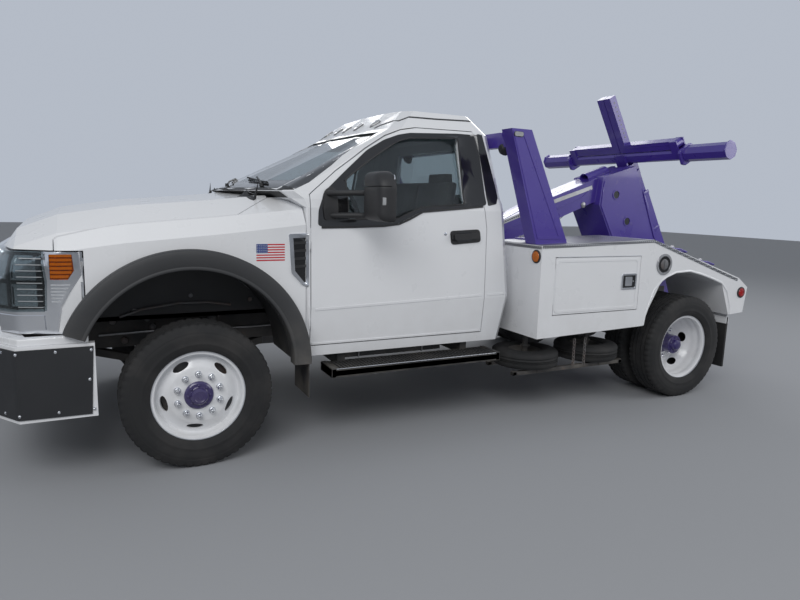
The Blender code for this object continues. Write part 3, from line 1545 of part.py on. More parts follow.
def boom():
    """The lift's boom with the two mast plates welded on its rear end."""
    arm = plate(
        "boom", [boom_outline(BOOM_OUTLINE_SHARES)], 0, BOOM_HALF_WIDTH * 2, finish="purple_paint"
    )
    fuse(
        arm,
        plate("mast", [boom_outline(MAST_OUTLINE_SHARES)], 0, MAST_HALF_WIDTH * 2),
    )
    clear = LIFT_BOSS_RADIUS + RUNNING_GAP
    slot = [
        stinger_point(CROSSBAR_ALONG * MAST_SLOT_REACH_SHARE, clear),
        stinger_point(-clear, clear),
        stinger_point(-clear, -clear * MAST_SLOT_DEPTH_SHARE),
        stinger_point(CROSSBAR_ALONG * MAST_SLOT_REACH_SHARE, -clear * MAST_SLOT_DEPTH_SHARE),
    ]
    slot = [(point.x, point.z) for point in slot]
    cut(arm, plate("mast_slot", [slot], 0, MAST_SLOT_HALF_WIDTH * 2))
    base = stinger_point(0, 0)
    across = Vector((0, MAST_HALF_WIDTH - LIFT_PIN_RADIUS / 2, 0))
    fuse(arm, rod("stinger_pin", base - across, base + across, LIFT_PIN_RADIUS))
    place = Vector((behind(BOOM_PIVOT_SETBACK), 0, BOOM_PIVOT_Z))
    across = Vector((0, BOOM_HALF_WIDTH + OVERRUN, 0))
    cut(arm, bore("boom_bore", place - across, place + across, BOOM_PIN_RADIUS))
    eye = cylinder_eye()
    along = (eye - cylinder_foot()).normalized()
    upward = Vector((along.z, 0, -along.x))
    room = CYLINDER_RADIUS * BAY_ROOM_SHARE
    bay = [
        eye + along * room + upward * room,
        eye + along * room - upward * room,
        cylinder_foot() - upward * room * BAY_FOOT_SHARES[0],
        cylinder_foot() + upward * room * BAY_FOOT_SHARES[1],
    ]
    bay = [(point.x, point.z) for point in bay]
    cut(arm, plate("cylinder_bay", [bay], 0, (CYLINDER_RADIUS + RUNNING_GAP) * 2))
    across = Vector((0, BOOM_HALF_WIDTH - CYLINDER_ROD_RADIUS, 0))
    fuse(arm, rod("cylinder_eye_pin", eye - across, eye + across, CYLINDER_PIN_RADIUS))
    return arm


def cylinder_foot():
    return Vector((behind(CYLINDER_FOOT_SETBACK), 0, CYLINDER_FOOT_Z))


def cylinder_eye():
    return Vector((behind(CYLINDER_EYE_SETBACK), 0, CYLINDER_EYE_Z))


def lift_cylinder():
    """The lift cylinder under the boom: a barrel on the deck and a rod with its eye on the boom."""
    foot, eye = cylinder_foot(), cylinder_eye()
    along = (eye - foot).normalized()
    stroke_end = foot + (eye - foot) * CYLINDER_BARREL_SHARE
    across = Vector((0, CYLINDER_RADIUS, 0))
    pin_gap = Vector((0, CYLINDER_RADIUS + OVERRUN, 0))
    barrel = rod("cylinder_barrel", foot, stroke_end, CYLINDER_RADIUS, "black_plastic")
    fuse(barrel, rod("barrel_eye", foot - across, foot + across, CYLINDER_RADIUS))
    cut(barrel, bore("barrel_pin_bore", foot - pin_gap, foot + pin_gap, CYLINDER_PIN_RADIUS))
    start = foot + along * CYLINDER_RADIUS * 2
    beyond = stroke_end + along * OVERRUN
    cut(barrel, bore("barrel_bore", start, beyond, CYLINDER_ROD_RADIUS))
    piston = rod("cylinder_rod", start + along * OVERRUN * 2, eye, CYLINDER_ROD_RADIUS, "chrome")
    fuse(piston, rod("rod_eye", eye - across, eye + across, CYLINDER_RADIUS))
    loose = CYLINDER_PIN_RADIUS + CYLINDER_EYE_DRIFT
    cut(piston, bore("rod_pin_bore", eye - pin_gap, eye + pin_gap, loose))
    return barrel, piston


def stinger_point(along, out, y=0.0):
    """A point in the stinger's own frame: along it from its pivot, and out to its front."""
    lean = Vector((math.sin(STINGER_LEAN), 0, math.cos(STINGER_LEAN)))
    normal = Vector((math.cos(STINGER_LEAN), 0, -math.sin(STINGER_LEAN)))
    base = Vector((REAR_AXLE_X - LIFT_PIVOT_OVERHANG, 0, LIFT_PIVOT_Z))
    return base + lean * along + normal * out + Vector((0, y, 0))


def stinger_box(name, along, out, across, finish="purple_paint"):
    """A box in the stinger's frame, from pairs of limits along, out and across."""
    rings = []
    for s in along:
        rings.append(
            [
                stinger_point(s, out[0], across[0]),
                stinger_point(s, out[1], across[0]),
                stinger_point(s, out[1], across[1]),
                stinger_point(s, out[0], across[1]),
            ]
        )
    return loft(name, rings, finish)


def stinger():
    """The folding stinger: an outer tube on the mast's foot and an inner one that slides."""
    half = STINGER_OUTER_SIZE / 2
    core = half - STINGER_WALL
    outer = stinger_box("stinger_outer", (0, STINGER_OUTER_LENGTH), (-half, half), (-half, half))
    base = stinger_point(0, 0)
    boss = rod(
        "stinger_boss",
        base - Vector((0, half, 0)),
        base + Vector((0, half, 0)),
        LIFT_BOSS_RADIUS,
        steps=BOSS_STEPS,
    )
    fuse(outer, boss)
    hollow = stinger_box(
        "stinger_bore",
        (STINGER_INNER_START - OVERRUN / 2, STINGER_OUTER_LENGTH + OVERRUN),
        (-core, core),
        (-core, core),
    )
    cut(outer, hollow)
    across = Vector((0, half + OVERRUN, 0))
    cut(outer, bore("stinger_pin_bore", base - across, base + across, LIFT_PIN_RADIUS))
    small = STINGER_INNER_SIZE / 2
    end = CROSSBAR_ALONG - CROSSBAR_SIZE / 2 - SWIVEL_ROOM
    inner = stinger_box(
        "stinger_inner",
        (STINGER_INNER_START, end),
        (-small, small),
        (-small, small),
    )
    face = CROSSBAR_SIZE / 2 + SEAT_GAP
    fork_end = CROSSBAR_ALONG + SWIVEL_RADIUS
    for word, lift in (("front", 1), ("rear", -1)):
        out = sorted((lift * face, lift * (face + SWIVEL_PLATE)))
        fuse(inner, stinger_box(f"swivel_plate_{word}", (end - small * 2, fork_end), out, (-small, small)))
    reach = face + SWIVEL_PLATE / 2
    pin = (stinger_point(CROSSBAR_ALONG, -reach), stinger_point(CROSSBAR_ALONG, reach))
    fuse(inner, rod("swivel_pin", *pin, SWIVEL_PIN_RADIUS))
    return outer, inner


def eight_sided(name, half, chamfer, ends):
    """A bar across the stinger's head with its four edges cut off."""
    ring = [
        (half, half - chamfer),
        (half - chamfer, half),
        (chamfer - half, half),
        (-half, half - chamfer),
        (-half, chamfer - half),
        (chamfer - half, -half),
        (half - chamfer, -half),
        (half, chamfer - half),
    ]
    rings = [[stinger_point(CROSSBAR_ALONG + s, n, y) for s, n in ring] for y in ends]
    return loft(name, rings, "purple_paint")


def crossbar():
    """The crossbar on its swivel, with a bracket at each claw's pivot."""
    half = CROSSBAR_SIZE / 2
    bar = eight_sided("crossbar", half, CROSSBAR_CHAMFER, (-CROSSBAR_HALF_LENGTH, CROSSBAR_HALF_LENGTH))
    reach = half + OVERRUN
    pin = (stinger_point(CROSSBAR_ALONG, -reach), stinger_point(CROSSBAR_ALONG, reach))
    cut(bar, bore("swivel_bore", *pin, SWIVEL_PIN_RADIUS))
    face = CLAW_SIZE / 2 + SEAT_GAP
    centre = claw_line()
    for word, side in SIDES.items():
        ends = sorted((side * SLEEVE_START, side * CROSSBAR_HALF_LENGTH))
        fuse(bar, eight_sided(f"sleeve_{word}", SLEEVE_SIZE / 2, SLEEVE_CHAMFER, ends))
        y = side * CLAW_PIVOT_Y
        across = sorted((y - CLAW_SIZE / 2, y + CLAW_SIZE / 2))
        for end, lift in (("front", 1), ("rear", -1)):
            out = sorted((lift * face, lift * (face + CLAW_BRACKET_THICKNESS)))
            span = (CROSSBAR_ALONG, centre + CLAW_SIZE / 2)
            fuse(bar, stinger_box(f"claw_bracket_{end}_{word}", span, out, across))
        reach = face + CLAW_BRACKET_THICKNESS / 2
        pin = (stinger_point(centre, -reach, y), stinger_point(centre, reach, y))
        fuse(bar, rod(f"claw_pin_{word}", *pin, CLAW_PIN_RADIUS))
    return bar


def claw_line():
    """How far along the stinger the folded claws' middle line lies."""
    return CROSSBAR_ALONG + CROSSBAR_SIZE / 2 + RUNNING_GAP + CLAW_SIZE / 2


def claw(word, side):
    """An L-shaped claw folded in along the crossbar, rounded at its pivot."""
    half = CLAW_SIZE / 2
    centre = claw_line()
    inner = side * RUNNING_GAP / 2
    pivot_y = side * CLAW_PIVOT_Y
    turns = [math.pi * step / CLAW_ROUND_STEPS for step in range(CLAW_ROUND_STEPS + 1)]
    outline = [
        (centre - half, inner),
        *((centre - half * math.cos(turn), pivot_y + side * half * math.sin(turn)) for turn in turns),
        (centre + half, inner + side * CLAW_SIZE),
        (centre + CLAW_LEG_LENGTH, inner + side * CLAW_SIZE),
        (centre + CLAW_LEG_LENGTH, inner),
    ]
    rings = [[stinger_point(s, out, y) for s, y in outline] for out in (-half, half)]
    leg = loft(f"claw_{word}", rings, "purple_paint")
    reach = half + OVERRUN
    ends = (stinger_point(centre, -reach, pivot_y), stinger_point(centre, reach, pivot_y))
    cut(leg, bore(f"claw_bore_{word}", *ends, CLAW_PIN_RADIUS))
    return leg


def seat_and_dash():
    """The bench seat and the dashboard with its steering wheel."""
    front = behind(CAB_FRONT_SETBACK)
    rear = front - CAB_LENGTH + CAB_WALL + SEAT_REAR_GAP
    floor = CAB_FLOOR + SEAT_GAP
    outline = [
        (rear, floor),
        (rear, floor + SEAT_HEIGHT + SEAT_BACK_HEIGHT),
        (rear + SEAT_BACK_THICKNESS * SEAT_BACK_SHARES[0], floor + SEAT_HEIGHT + SEAT_BACK_HEIGHT),
        (rear + SEAT_BACK_THICKNESS * SEAT_BACK_SHARES[1], floor + SEAT_HEIGHT),
        (rear + SEAT_BACK_THICKNESS + SEAT_DEPTH, floor + SEAT_HEIGHT * SEAT_FRONT_SHARE),
        (rear + SEAT_BACK_THICKNESS + SEAT_DEPTH, floor),
    ]
    plate("seat_bench", [outline], 0, SEAT_HALF_WIDTH * 2, finish="vinyl")
    wall = front - CAB_LEVEL_SHARES[0][1] * CAB_LENGTH - CAB_WALL - SEAT_GAP
    top = CAB_BOTTOM + CAB_LEVEL_SHARES[2][0] * CAB_HEIGHT
    outline = [
        (wall - DASH_DEPTH * back, top - DASH_HEIGHT * down) for back, down in DASH_OUTLINE_SHARES
    ]
    dash = plate("dashboard", [outline], 0, DASH_HALF_WIDTH * 2, finish="vinyl")
    back, down = COLUMN_START_SHARES
    start = Vector((wall - DASH_DEPTH * back, STEERING_Y, top - DASH_HEIGHT * down))
    column = Vector((-math.cos(STEERING_RAKE), 0, math.sin(STEERING_RAKE)))
    hub = start + column * STEERING_REACH
    fuse(dash, rod("steering_column", start, hub, WHEEL_RING_TUBE * 2))
    half = column * WHEEL_RING_TUBE
    fuse(dash, rod("steering_ring", hub - half, hub + half, WHEEL_RING_RADIUS, steps=BOSS_STEPS))


def dolly(word, side):
    """A dolly stored under the toolbox: two wheels lying flat on a frame."""
    front = behind(DOLLY_FRONT_SETBACK)
    y = side * DOLLY_Y
    low = DOLLY_HEIGHT - DOLLY_TYRE_WIDTH / 2
    bar = DOLLY_BEAM / 2
    frame = block(
        f"dolly_{word}",
        (front - DOLLY_PITCH - bar, y - bar, low - DOLLY_BEAM),
        (front + bar, y + bar, low + DOLLY_BEAM / 2),
        "steel",
    )
    for number in range(2):
        setback = DOLLY_FRONT_SETBACK + number * DOLLY_PITCH
        x = behind(setback)
        top = body_edge_z(max(setback - bar, BODY_FRONT_SETBACK), 0, -1) - SEAT_GAP
        tread = rod(
            f"dolly_tyre_{number}_{word}",
            (x, y, low),
            (x, y, low + DOLLY_TYRE_WIDTH),
            DOLLY_TYRE_RADIUS,
            "black_rubber",
            DOLLY_STEPS,
        )
        stem = rod(f"dolly_stem_{number}_{word}", (x, y, low), (x, y, top), DOLLY_BEAM / 2)
        fuse(frame, tread, stem)
    return frame


ON_THE_DOOR = ("door", "door_glass", "mirror")


def side_pivots(word, side):
    """Each joint on one side: its name, the joint it rides on, its place and its pieces."""
    hub, twin = side * FRONT_TRACK / 2, side * DUAL_TRACK / 2
    hinge = TOOLBOX_DOOR_SHARES[0] * BODY_LENGTH + BODY_FRONT_SETBACK
    twins = ("rims_rear", "tyre_rear_outer", "tyre_rear_inner")
    rows = (
        ("steering", None, (FRONT_AXLE_X, side * KINGPIN_Y, TYRE_RADIUS), ("knuckle",)),
        ("front_hub", "steering", (FRONT_AXLE_X, hub, TYRE_RADIUS), ("rim_front", "tyre_front")),
        ("rear_hub", None, (REAR_AXLE_X, twin, TYRE_RADIUS), twins),
        ("door_hinge", None, (door_hinge_x(), side * CAB_HALF_WIDTH, CAB_BOTTOM), ON_THE_DOOR),
        (
            "toolbox_hinge",
            None,
            (behind(hinge) - SEAT_GAP, side * BODY_HALF_WIDTH, BODY_BOTTOM),
            ("toolbox_door",),
        ),
        ("claw_pivot", "crossbar_swivel", stinger_point(claw_line(), 0, side * CLAW_PIVOT_Y), ("claw",)),
    )
    return [
        (
            f"{name}_{word}",
            f"{parent}_{word}" if parent == "steering" else parent,
            place,
            [f"{piece}_{word}" for piece in pieces],
        )
        for name, parent, place, pieces in rows
    ]


def hang_moving_pieces():
    """Hangs each moving piece on an empty that lies on its joint's axis."""
    cowl = behind(CAB_FRONT_SETBACK) + RUNNING_GAP
    cowl_z = CAB_BOTTOM + CAB_LEVEL_SHARES[4][0] * CAB_HEIGHT
    rows = [
        ("hood_hinge", None, (cowl, 0, cowl_z), ["hood"]),
        ("boom_hinge", None, (behind(BOOM_PIVOT_SETBACK), 0, BOOM_PIVOT_Z), ["boom"]),
        ("cylinder_foot", None, cylinder_foot(), ["cylinder_barrel"]),
        ("cylinder_slide", "cylinder_foot", cylinder_eye(), ["cylinder_rod"]),
        ("stinger_fold", "boom_hinge", stinger_point(0, 0), ["stinger_outer"]),
        ("stinger_slide", "stinger_fold", stinger_point(STINGER_INNER_START, 0), ["stinger_inner"]),
        ("crossbar_swivel", "stinger_slide", stinger_point(CROSSBAR_ALONG, 0), ["crossbar"]),
    ]
    for word, side in SIDES.items():
        rows += side_pivots(word, side)
    for name, parent, place, pieces in rows:
        empty = pivot(name, place)
        hang(empty, *(bpy.data.objects[piece] for piece in pieces))
        if parent:
            hang(bpy.data.objects[parent], empty)


def main():
    frame_rails()
    front_axle()
    rear_axle()
    power_train()
    cab_shell()
    window_glass("windshield", "front")
    window_glass("rear_window", "rear")
    hood()
    grille()
    bumper()
    deck()
    headboard()
    boom()
    lift_cylinder()
    stinger()
    crossbar()
    seat_and_dash()
    for word, side in SIDES.items():
        y = side * FRONT_TRACK / 2
        tyre(f"tyre_front_{word}", FRONT_AXLE_X, y)
        front_rim(word, side)
        knuckle(word, side)
        middle = side * DUAL_TRACK / 2
        tyre(f"tyre_rear_outer_{word}", REAR_AXLE_X, middle + side * DUAL_SPACING / 2)
        tyre(f"tyre_rear_inner_{word}", REAR_AXLE_X, middle - side * DUAL_SPACING / 2)
        rear_rims(word, side)
        door(word, side)
        door_glass(word, side)
        fender(word, side)
        running_board(word, side)
        mirror(word, side)
        tow_body_side(word, side)
        dolly(word, side)
        claw(word, side)
    hang_moving_pieces()


main()
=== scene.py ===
# %% [markdown]
# # The looks of a tow truck
# The truck's solids come packed as a frame, one mesh per part, in metres: +x to the nose, +y to the driver's side,
# z up from the ground. This lesson builds what is seen round them. Each piece rides on a body of the frame, so that
# it moves with it, and either trims a solid or stands for it.

# %% Load the frame
import json
import math

import bmesh
import bpy
from mathutils import Matrix, Vector
from mathutils.bvhtree import BVHTree
from mathutils.geometry import tessellate_polygon

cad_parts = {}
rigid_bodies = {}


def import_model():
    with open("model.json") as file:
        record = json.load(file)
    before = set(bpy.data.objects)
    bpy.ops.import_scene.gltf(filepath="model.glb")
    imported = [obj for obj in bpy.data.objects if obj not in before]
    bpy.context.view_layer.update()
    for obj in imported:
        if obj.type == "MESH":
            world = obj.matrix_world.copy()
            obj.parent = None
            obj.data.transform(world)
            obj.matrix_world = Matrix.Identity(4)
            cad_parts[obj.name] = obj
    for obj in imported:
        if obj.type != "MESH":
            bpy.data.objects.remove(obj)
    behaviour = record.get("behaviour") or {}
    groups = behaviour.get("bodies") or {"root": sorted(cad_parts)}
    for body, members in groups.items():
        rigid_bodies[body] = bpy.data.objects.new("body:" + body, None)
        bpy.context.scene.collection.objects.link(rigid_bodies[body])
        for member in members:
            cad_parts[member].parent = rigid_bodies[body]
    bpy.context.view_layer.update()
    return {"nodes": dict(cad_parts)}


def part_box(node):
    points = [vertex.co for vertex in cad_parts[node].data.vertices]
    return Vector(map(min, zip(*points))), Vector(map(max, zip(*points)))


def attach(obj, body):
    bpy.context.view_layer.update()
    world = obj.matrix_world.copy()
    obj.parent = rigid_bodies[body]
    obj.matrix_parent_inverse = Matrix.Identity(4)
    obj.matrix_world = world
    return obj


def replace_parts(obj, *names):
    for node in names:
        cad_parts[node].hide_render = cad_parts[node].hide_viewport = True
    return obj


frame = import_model()
NODES = frame["nodes"]
SIDES = {"left": 1, "right": -1}
ACROSS = Vector((0, 1, 0))
UPWARD = Vector((0, 0, 1))
print("parts in the frame:", len(NODES))

# %% [markdown]
# The camera stands where the photo was taken from: front left of the truck, at chest height, slightly rolled. It
# could be aimed by a constraint; its own axes are worked out here instead, since the roll was measured too.

# %% Camera
CAMERA_PLACE = (2.4712, 4.4316, 1.493)
CAMERA_YAW = 0.4679
CAMERA_PITCH = -0.1595
CAMERA_ROLL = 0.0274
CAMERA_LENS = 27.76


def add_to_scene(name, data):
    thing = bpy.data.objects.new(name, data)
    bpy.context.scene.collection.objects.link(thing)
    return thing


def make_camera():
    data = bpy.data.cameras.new("photo_camera")
    data.sensor_width = 36.0
    data.sensor_fit = "HORIZONTAL"
    data.lens = CAMERA_LENS
    camera = add_to_scene("photo_camera", data)
    level = math.cos(CAMERA_PITCH)
    ahead = Vector((-math.sin(CAMERA_YAW) * level, -math.cos(CAMERA_YAW) * level, math.sin(CAMERA_PITCH)))
    right = ahead.cross(UPWARD).normalized()
    up = right.cross(ahead)
    turn = Matrix.Rotation(-CAMERA_ROLL, 3, ahead)
    right, up = turn @ right, turn @ up
    camera.matrix_world = Matrix((right, up, -ahead)).transposed().to_4x4()
    camera.location = CAMERA_PLACE
    bpy.context.scene.camera = camera


make_camera()
print("camera lens in mm:", CAMERA_LENS)

# %% [markdown]
# The photo has soft daylight. Three big area lamps give it a direction without hard shadows: a key from the front
# left, a fill from the rear left and a weaker rim from the right.

# %% Lamps
LAMPS = (
    ("key", (5.0, 7.0, 6.5), (0, 0, 0.9), (6.0, 4.0), 380),
    ("fill", (-7.0, 5.0, 4.0), (0, 0, 1.0), (5.0, 4.0), 170),
    ("rim", (-4.0, -7.0, 5.0), (0, 0, 1.0), (6.0, 4.0), 190),
)
for name, place, target, size, power in LAMPS:
    data = bpy.data.lights.new(name, "AREA")
    data.shape = "RECTANGLE"
    data.size, data.size_y = size
    data.energy = power
    lamp = add_to_scene(name, data)
    lamp.location = place
    lamp.rotation_euler = (Vector(target) - Vector(place)).to_track_quat("-Z", "Y").to_euler()
print("lamps:", len(LAMPS))

# %% [markdown]
# A white stage would swallow the edges of white paint. Rays from the camera and mirror rays see a plain grey-blue,
# as of open shade, while the lamps and a soft sky do the lighting; the light path node tells the two kinds apart.

# %% World
SKY_STRENGTH = 0.36


def make_world():
    world = bpy.data.worlds.new("studio")
    bpy.context.scene.world = world
    world.use_nodes = True
    tree = world.node_tree
    tree.nodes.clear()
    out = tree.nodes.new("ShaderNodeOutputWorld")
    mix = tree.nodes.new("ShaderNodeMixShader")
    sky = tree.nodes.new("ShaderNodeBackground")
    shade = tree.nodes.new("ShaderNodeBackground")
    path = tree.nodes.new("ShaderNodeLightPath")
    sky.inputs["Color"].default_value = (0.93, 0.96, 1.0, 1.0)
    sky.inputs["Strength"].default_value = SKY_STRENGTH
    shade.inputs["Color"].default_value = (0.46, 0.50, 0.57, 1.0)
    shade.inputs["Strength"].default_value = 1.0
    shown = path.outputs["Is Camera Ray"]
    for word in ("Is Glossy Ray", "Is Transmission Ray"):
        either = tree.nodes.new("ShaderNodeMath")
        either.operation = "MAXIMUM"
        tree.links.new(shown, either.inputs[0])
        tree.links.new(path.outputs[word], either.inputs[1])
        shown = either.outputs[0]
    tree.links.new(shown, mix.inputs["Fac"])
    tree.links.new(sky.outputs[0], mix.inputs[1])
    tree.links.new(shade.outputs[0], mix.inputs[2])
    tree.links.new(mix.outputs[0], out.inputs["Surface"])


make_world()
bpy.context.scene.view_settings.view_transform = "Standard"
print("sky strength:", SKY_STRENGTH)

# %% [markdown]
# The floor only has to catch shadows and run out of sight, so it is one big square.

# %% Floor
FLOOR_HALF = 30.0


def make_floor():
    mesh = bpy.data.meshes.new("floor")
    corners = [(x * FLOOR_HALF, y * FLOOR_HALF, 0) for x, y in ((-1, -1), (1, -1), (1, 1), (-1, 1))]
    mesh.from_pydata(corners, [], [(0, 1, 2, 3)])
    material = bpy.data.materials.new("grey_floor")
    material.use_nodes = True
    shader = material.node_tree.nodes["Principled BSDF"]
    shader.inputs["Base Color"].default_value = (0.34, 0.35, 0.37, 1.0)
    shader.inputs["Roughness"].default_value = 0.8
    mesh.materials.append(material)
    add_to_scene("floor", mesh)


make_floor()
print("floor side in m:", 2 * FLOOR_HALF)

# %% [markdown]
# Real finishes are never one flat colour. A painted texture would need unwrapping, so each finish is a small node
# tree instead: a colour, then blotches, grime low down and fine grain from noise in object coordinates, which are
# the truck's own axes.

# %% A finish under construction
ROAD_DUST = (0.30, 0.27, 0.23)
RUST = (0.16, 0.07, 0.03)


class Finish:
    """A material, its shader and the point that its patterns are taken at."""

    def __init__(self, name, colour, roughness, metallic=0.0, coat=0.0):
        self.material = bpy.data.materials.new(name)
        self.material.use_nodes = True
        self.tree = self.material.node_tree
        self.shader = self.tree.nodes["Principled BSDF"]
        self.plain = (*colour, 1.0)
        self.set(self.shader, {
            "Base Color": self.plain, "Roughness": roughness, "Metallic": metallic,
            "Coat Weight": coat, "Coat Roughness": 0.06,
        })
        self.colour = None
        self.normal = None
        self.place = self.add("ShaderNodeTexCoord").outputs["Object"]

    def set(self, node, values):
        for socket, value in values.items():
            node.inputs[socket].default_value = value

    def add(self, kind, **values):
        node = self.tree.nodes.new(kind)
        for key, value in values.items():
            setattr(node, key, value)
        return node

    def link(self, source, socket):
        self.tree.links.new(source, socket)

    def noise(self, scale, detail=3.0, stretch=(1, 1, 1)):
        node = self.add("ShaderNodeTexNoise")
        self.set(node, {"Scale": scale, "Detail": detail})
        moved = self.add("ShaderNodeMapping")
        moved.inputs["Scale"].default_value = stretch
        self.link(self.place, moved.inputs["Vector"])
        self.link(moved.outputs[0], node.inputs["Vector"])
        return node.outputs["Fac"]

    def between(self, value, low, high, to_low=0.0, to_high=1.0):
        node = self.add("ShaderNodeMapRange", clamp=True)
        self.link(value, node.inputs["Value"])
        self.set(node, {"From Min": low, "From Max": high, "To Min": to_low, "To Max": to_high})
        return node.outputs["Result"]

    def times(self, first, second):
        node = self.add("ShaderNodeMath", operation="MULTIPLY")
        self.link(first, node.inputs[0])
        if isinstance(second, (int, float)):
            node.inputs[1].default_value = second
        else:
            self.link(second, node.inputs[1])
        return node.outputs[0]

    def tint(self, share, colour):
        """Moves the colour towards another one by a share that varies over the surface."""
        node = self.add("ShaderNodeMix", data_type="RGBA")
        self.link(share, node.inputs["Factor"])
        if self.colour is None:
            node.inputs["A"].default_value = self.plain
        else:
            self.link(self.colour, node.inputs["A"])
        node.inputs["B"].default_value = (*colour, 1.0)
        self.colour = node.outputs["Result"]
        self.link(self.colour, self.shader.inputs["Base Color"])
        return self

    def dust(self, top, bottom, amount):
        """Grime in spots: none above top, all of it below bottom."""
        spots = self.between(self.noise(7.0, 6.0), 0.35, 0.75)
        axes = self.add("ShaderNodeSeparateXYZ")
        self.link(self.place, axes.inputs[0])
        low_down = self.between(axes.outputs["Z"], bottom, top, 1.0, 0.0)
        return self.tint(self.times(self.times(low_down, spots), amount), ROAD_DUST)

    def blotches(self, scale, amount, colour, low=0.45, high=0.75):
        spots = self.between(self.noise(scale, 5.0), low, high)
        return self.tint(self.times(spots, amount), colour)

    def grain(self, scale, strength, distance=0.001, stretch=(1, 1, 1)):
        return self.bump(self.noise(scale, 3.0, stretch), strength, distance)

    def bump(self, height, strength, distance):
        node = self.add("ShaderNodeBump")
        self.set(node, {"Strength": strength, "Distance": distance})
        self.link(height, node.inputs["Height"])
        if self.normal is not None:
            self.link(self.normal, node.inputs["Normal"])
        self.normal = node.outputs["Normal"]
        self.link(self.normal, self.shader.inputs["Normal"])
        return self

    def gloss(self, low, high, scale=6.0):
        self.link(self.between(self.noise(scale, 4.0), 0.3, 0.7, low, high), self.shader.inputs["Roughness"])
        return self


print("pattern makers of a finish:", [word for word in vars(Finish) if not word.startswith("_")])

# %% [markdown]
# Paint is a coloured base under a clear coat. The white cab and body are nearly clean; the purple lift has chips
# and scuffs from chains, so it gets two more layers of small sharp blotches.

# %% Paints
def paint_finish(name, colour, shade, dirt):
    paint = Finish(name, colour, 0.32, coat=0.55)
    paint.blotches(1.6, 0.6 * dirt, shade).dust(1.0, 0.35, dirt)
    return paint.grain(420.0, 0.05, 0.0003).gloss(0.24, 0.42)


white = paint_finish("white_paint", (0.80, 0.81, 0.83), (0.74, 0.75, 0.78), 0.2).material
lift_paint = paint_finish("purple_paint", (0.062, 0.034, 0.30), (0.05, 0.028, 0.24), 0.55)
lift_paint.blotches(16.0, 0.45, (0.16, 0.12, 0.30), 0.62, 0.78)
lift_paint.blotches(34.0, 0.6, (0.05, 0.045, 0.06), 0.70, 0.78)
purple = lift_paint.material
# The hub caps and their bolts get a darker copy of the purple paint: painted shade, for hubs that sit in shade.
shaded_hub_purple = paint_finish("purple_paint", (0.020, 0.009, 0.11), (0.015, 0.008, 0.08), 0.2).material
flag_blue = Finish("white_paint", (0.02, 0.05, 0.22), 0.4).blotches(20.0, 0.2, (0.03, 0.06, 0.25))
flag_blue = flag_blue.grain(300.0, 0.05).material
flag_red = Finish("white_paint", (0.55, 0.02, 0.03), 0.4).blotches(20.0, 0.2, (0.5, 0.04, 0.05))
flag_red = flag_red.grain(300.0, 0.05).material
print("paints:", [paint.name for paint in (white, purple, shaded_hub_purple, flag_blue, flag_red)])

# %% [markdown]
# Metals differ in roughness more than in colour. Chrome stays almost a mirror, machined aluminium has a brushed
# grain, made by stretching the noise, and cast and chassis parts carry rust.

# %% Metals
chassis = Finish("chassis_black", (0.028, 0.028, 0.030), 0.55).blotches(5.0, 0.5, (0.07, 0.062, 0.055))
chassis = chassis.blotches(14.0, 0.4, RUST, 0.62, 0.8).dust(0.9, 0.3, 0.5)
chassis = chassis.grain(160.0, 0.25, 0.001).gloss(0.45, 0.75).material
cast = Finish("cast_iron", (0.16, 0.16, 0.165), 0.6, 0.6).blotches(9.0, 0.5, RUST)
cast = cast.dust(1.0, 0.3, 0.4).grain(220.0, 0.4, 0.0015).material
steel = Finish("steel", (0.42, 0.42, 0.43), 0.35, 1.0).blotches(12.0, 0.5, (0.22, 0.20, 0.19))
steel = steel.dust(0.9, 0.2, 0.4).grain(300.0, 0.1, 0.0005).material
aluminium = Finish("bright_aluminium", (0.72, 0.73, 0.75), 0.28, 1.0).blotches(10.0, 0.35, (0.45, 0.45, 0.46))
aluminium = aluminium.grain(90.0, 0.08, 0.0004, (1, 1, 12)).material
chrome = Finish("chrome", (0.78, 0.79, 0.81), 0.10, 1.0).blotches(7.0, 0.25, (0.55, 0.55, 0.56))
chrome = chrome.gloss(0.07, 0.2, 9.0).material
print("metals:", [metal.name for metal in (chassis, cast, steel, aluminium, chrome)])

# %% [markdown]
# The deck is chequered plate: raised lozenges in crossing rows. Real ridges would cost a million triangles, so two
# crossed sine waves are multiplied into a height, which drives the bump and darkens the hollows with painted shade.

# %% Chequered plate
LOZENGE_RATE = 150.0
plate = Finish("bright_aluminium", (0.60, 0.61, 0.62), 0.30, 1.0)
axes = plate.add("ShaderNodeSeparateXYZ")
plate.link(plate.place, axes.inputs[0])
height = plate.add("ShaderNodeMath", operation="ADD")
plate.link(axes.outputs["Y"], height.inputs[0])
plate.link(axes.outputs["Z"], height.inputs[1])
waves = []
for sign in (1, -1):
    mixed = plate.add("ShaderNodeMath", operation="MULTIPLY_ADD")
    plate.link(height.outputs[0], mixed.inputs[0])
    mixed.inputs[1].default_value = sign
    plate.link(axes.outputs["X"], mixed.inputs[2])
    wave = plate.add("ShaderNodeMath", operation="SINE")
    plate.link(plate.times(mixed.outputs[0], LOZENGE_RATE), wave.inputs[0])
    waves.append(wave.outputs[0])
lozenge = plate.between(plate.times(*waves), 0.30, 0.62)
# Painted shade: the hollows between the lozenges are tinted dark grey.
plate.tint(plate.between(lozenge, 0.0, 1.0, 0.85, 0.0), (0.16, 0.16, 0.17))
tread_plate = plate.blotches(6.0, 0.3, (0.4, 0.39, 0.37)).bump(lozenge, 0.9, 0.002).material
print("waves per metre:", round(LOZENGE_RATE / (2 * math.pi)))

# %% [markdown]
# Plastics, rubber and vinyl are rough and nearly black or grey; what tells them apart is how coarse the grain is and
# how much it shines. The piano-black round windows and lamps has a coat, the bumper's rubber sheets a dull sheen.

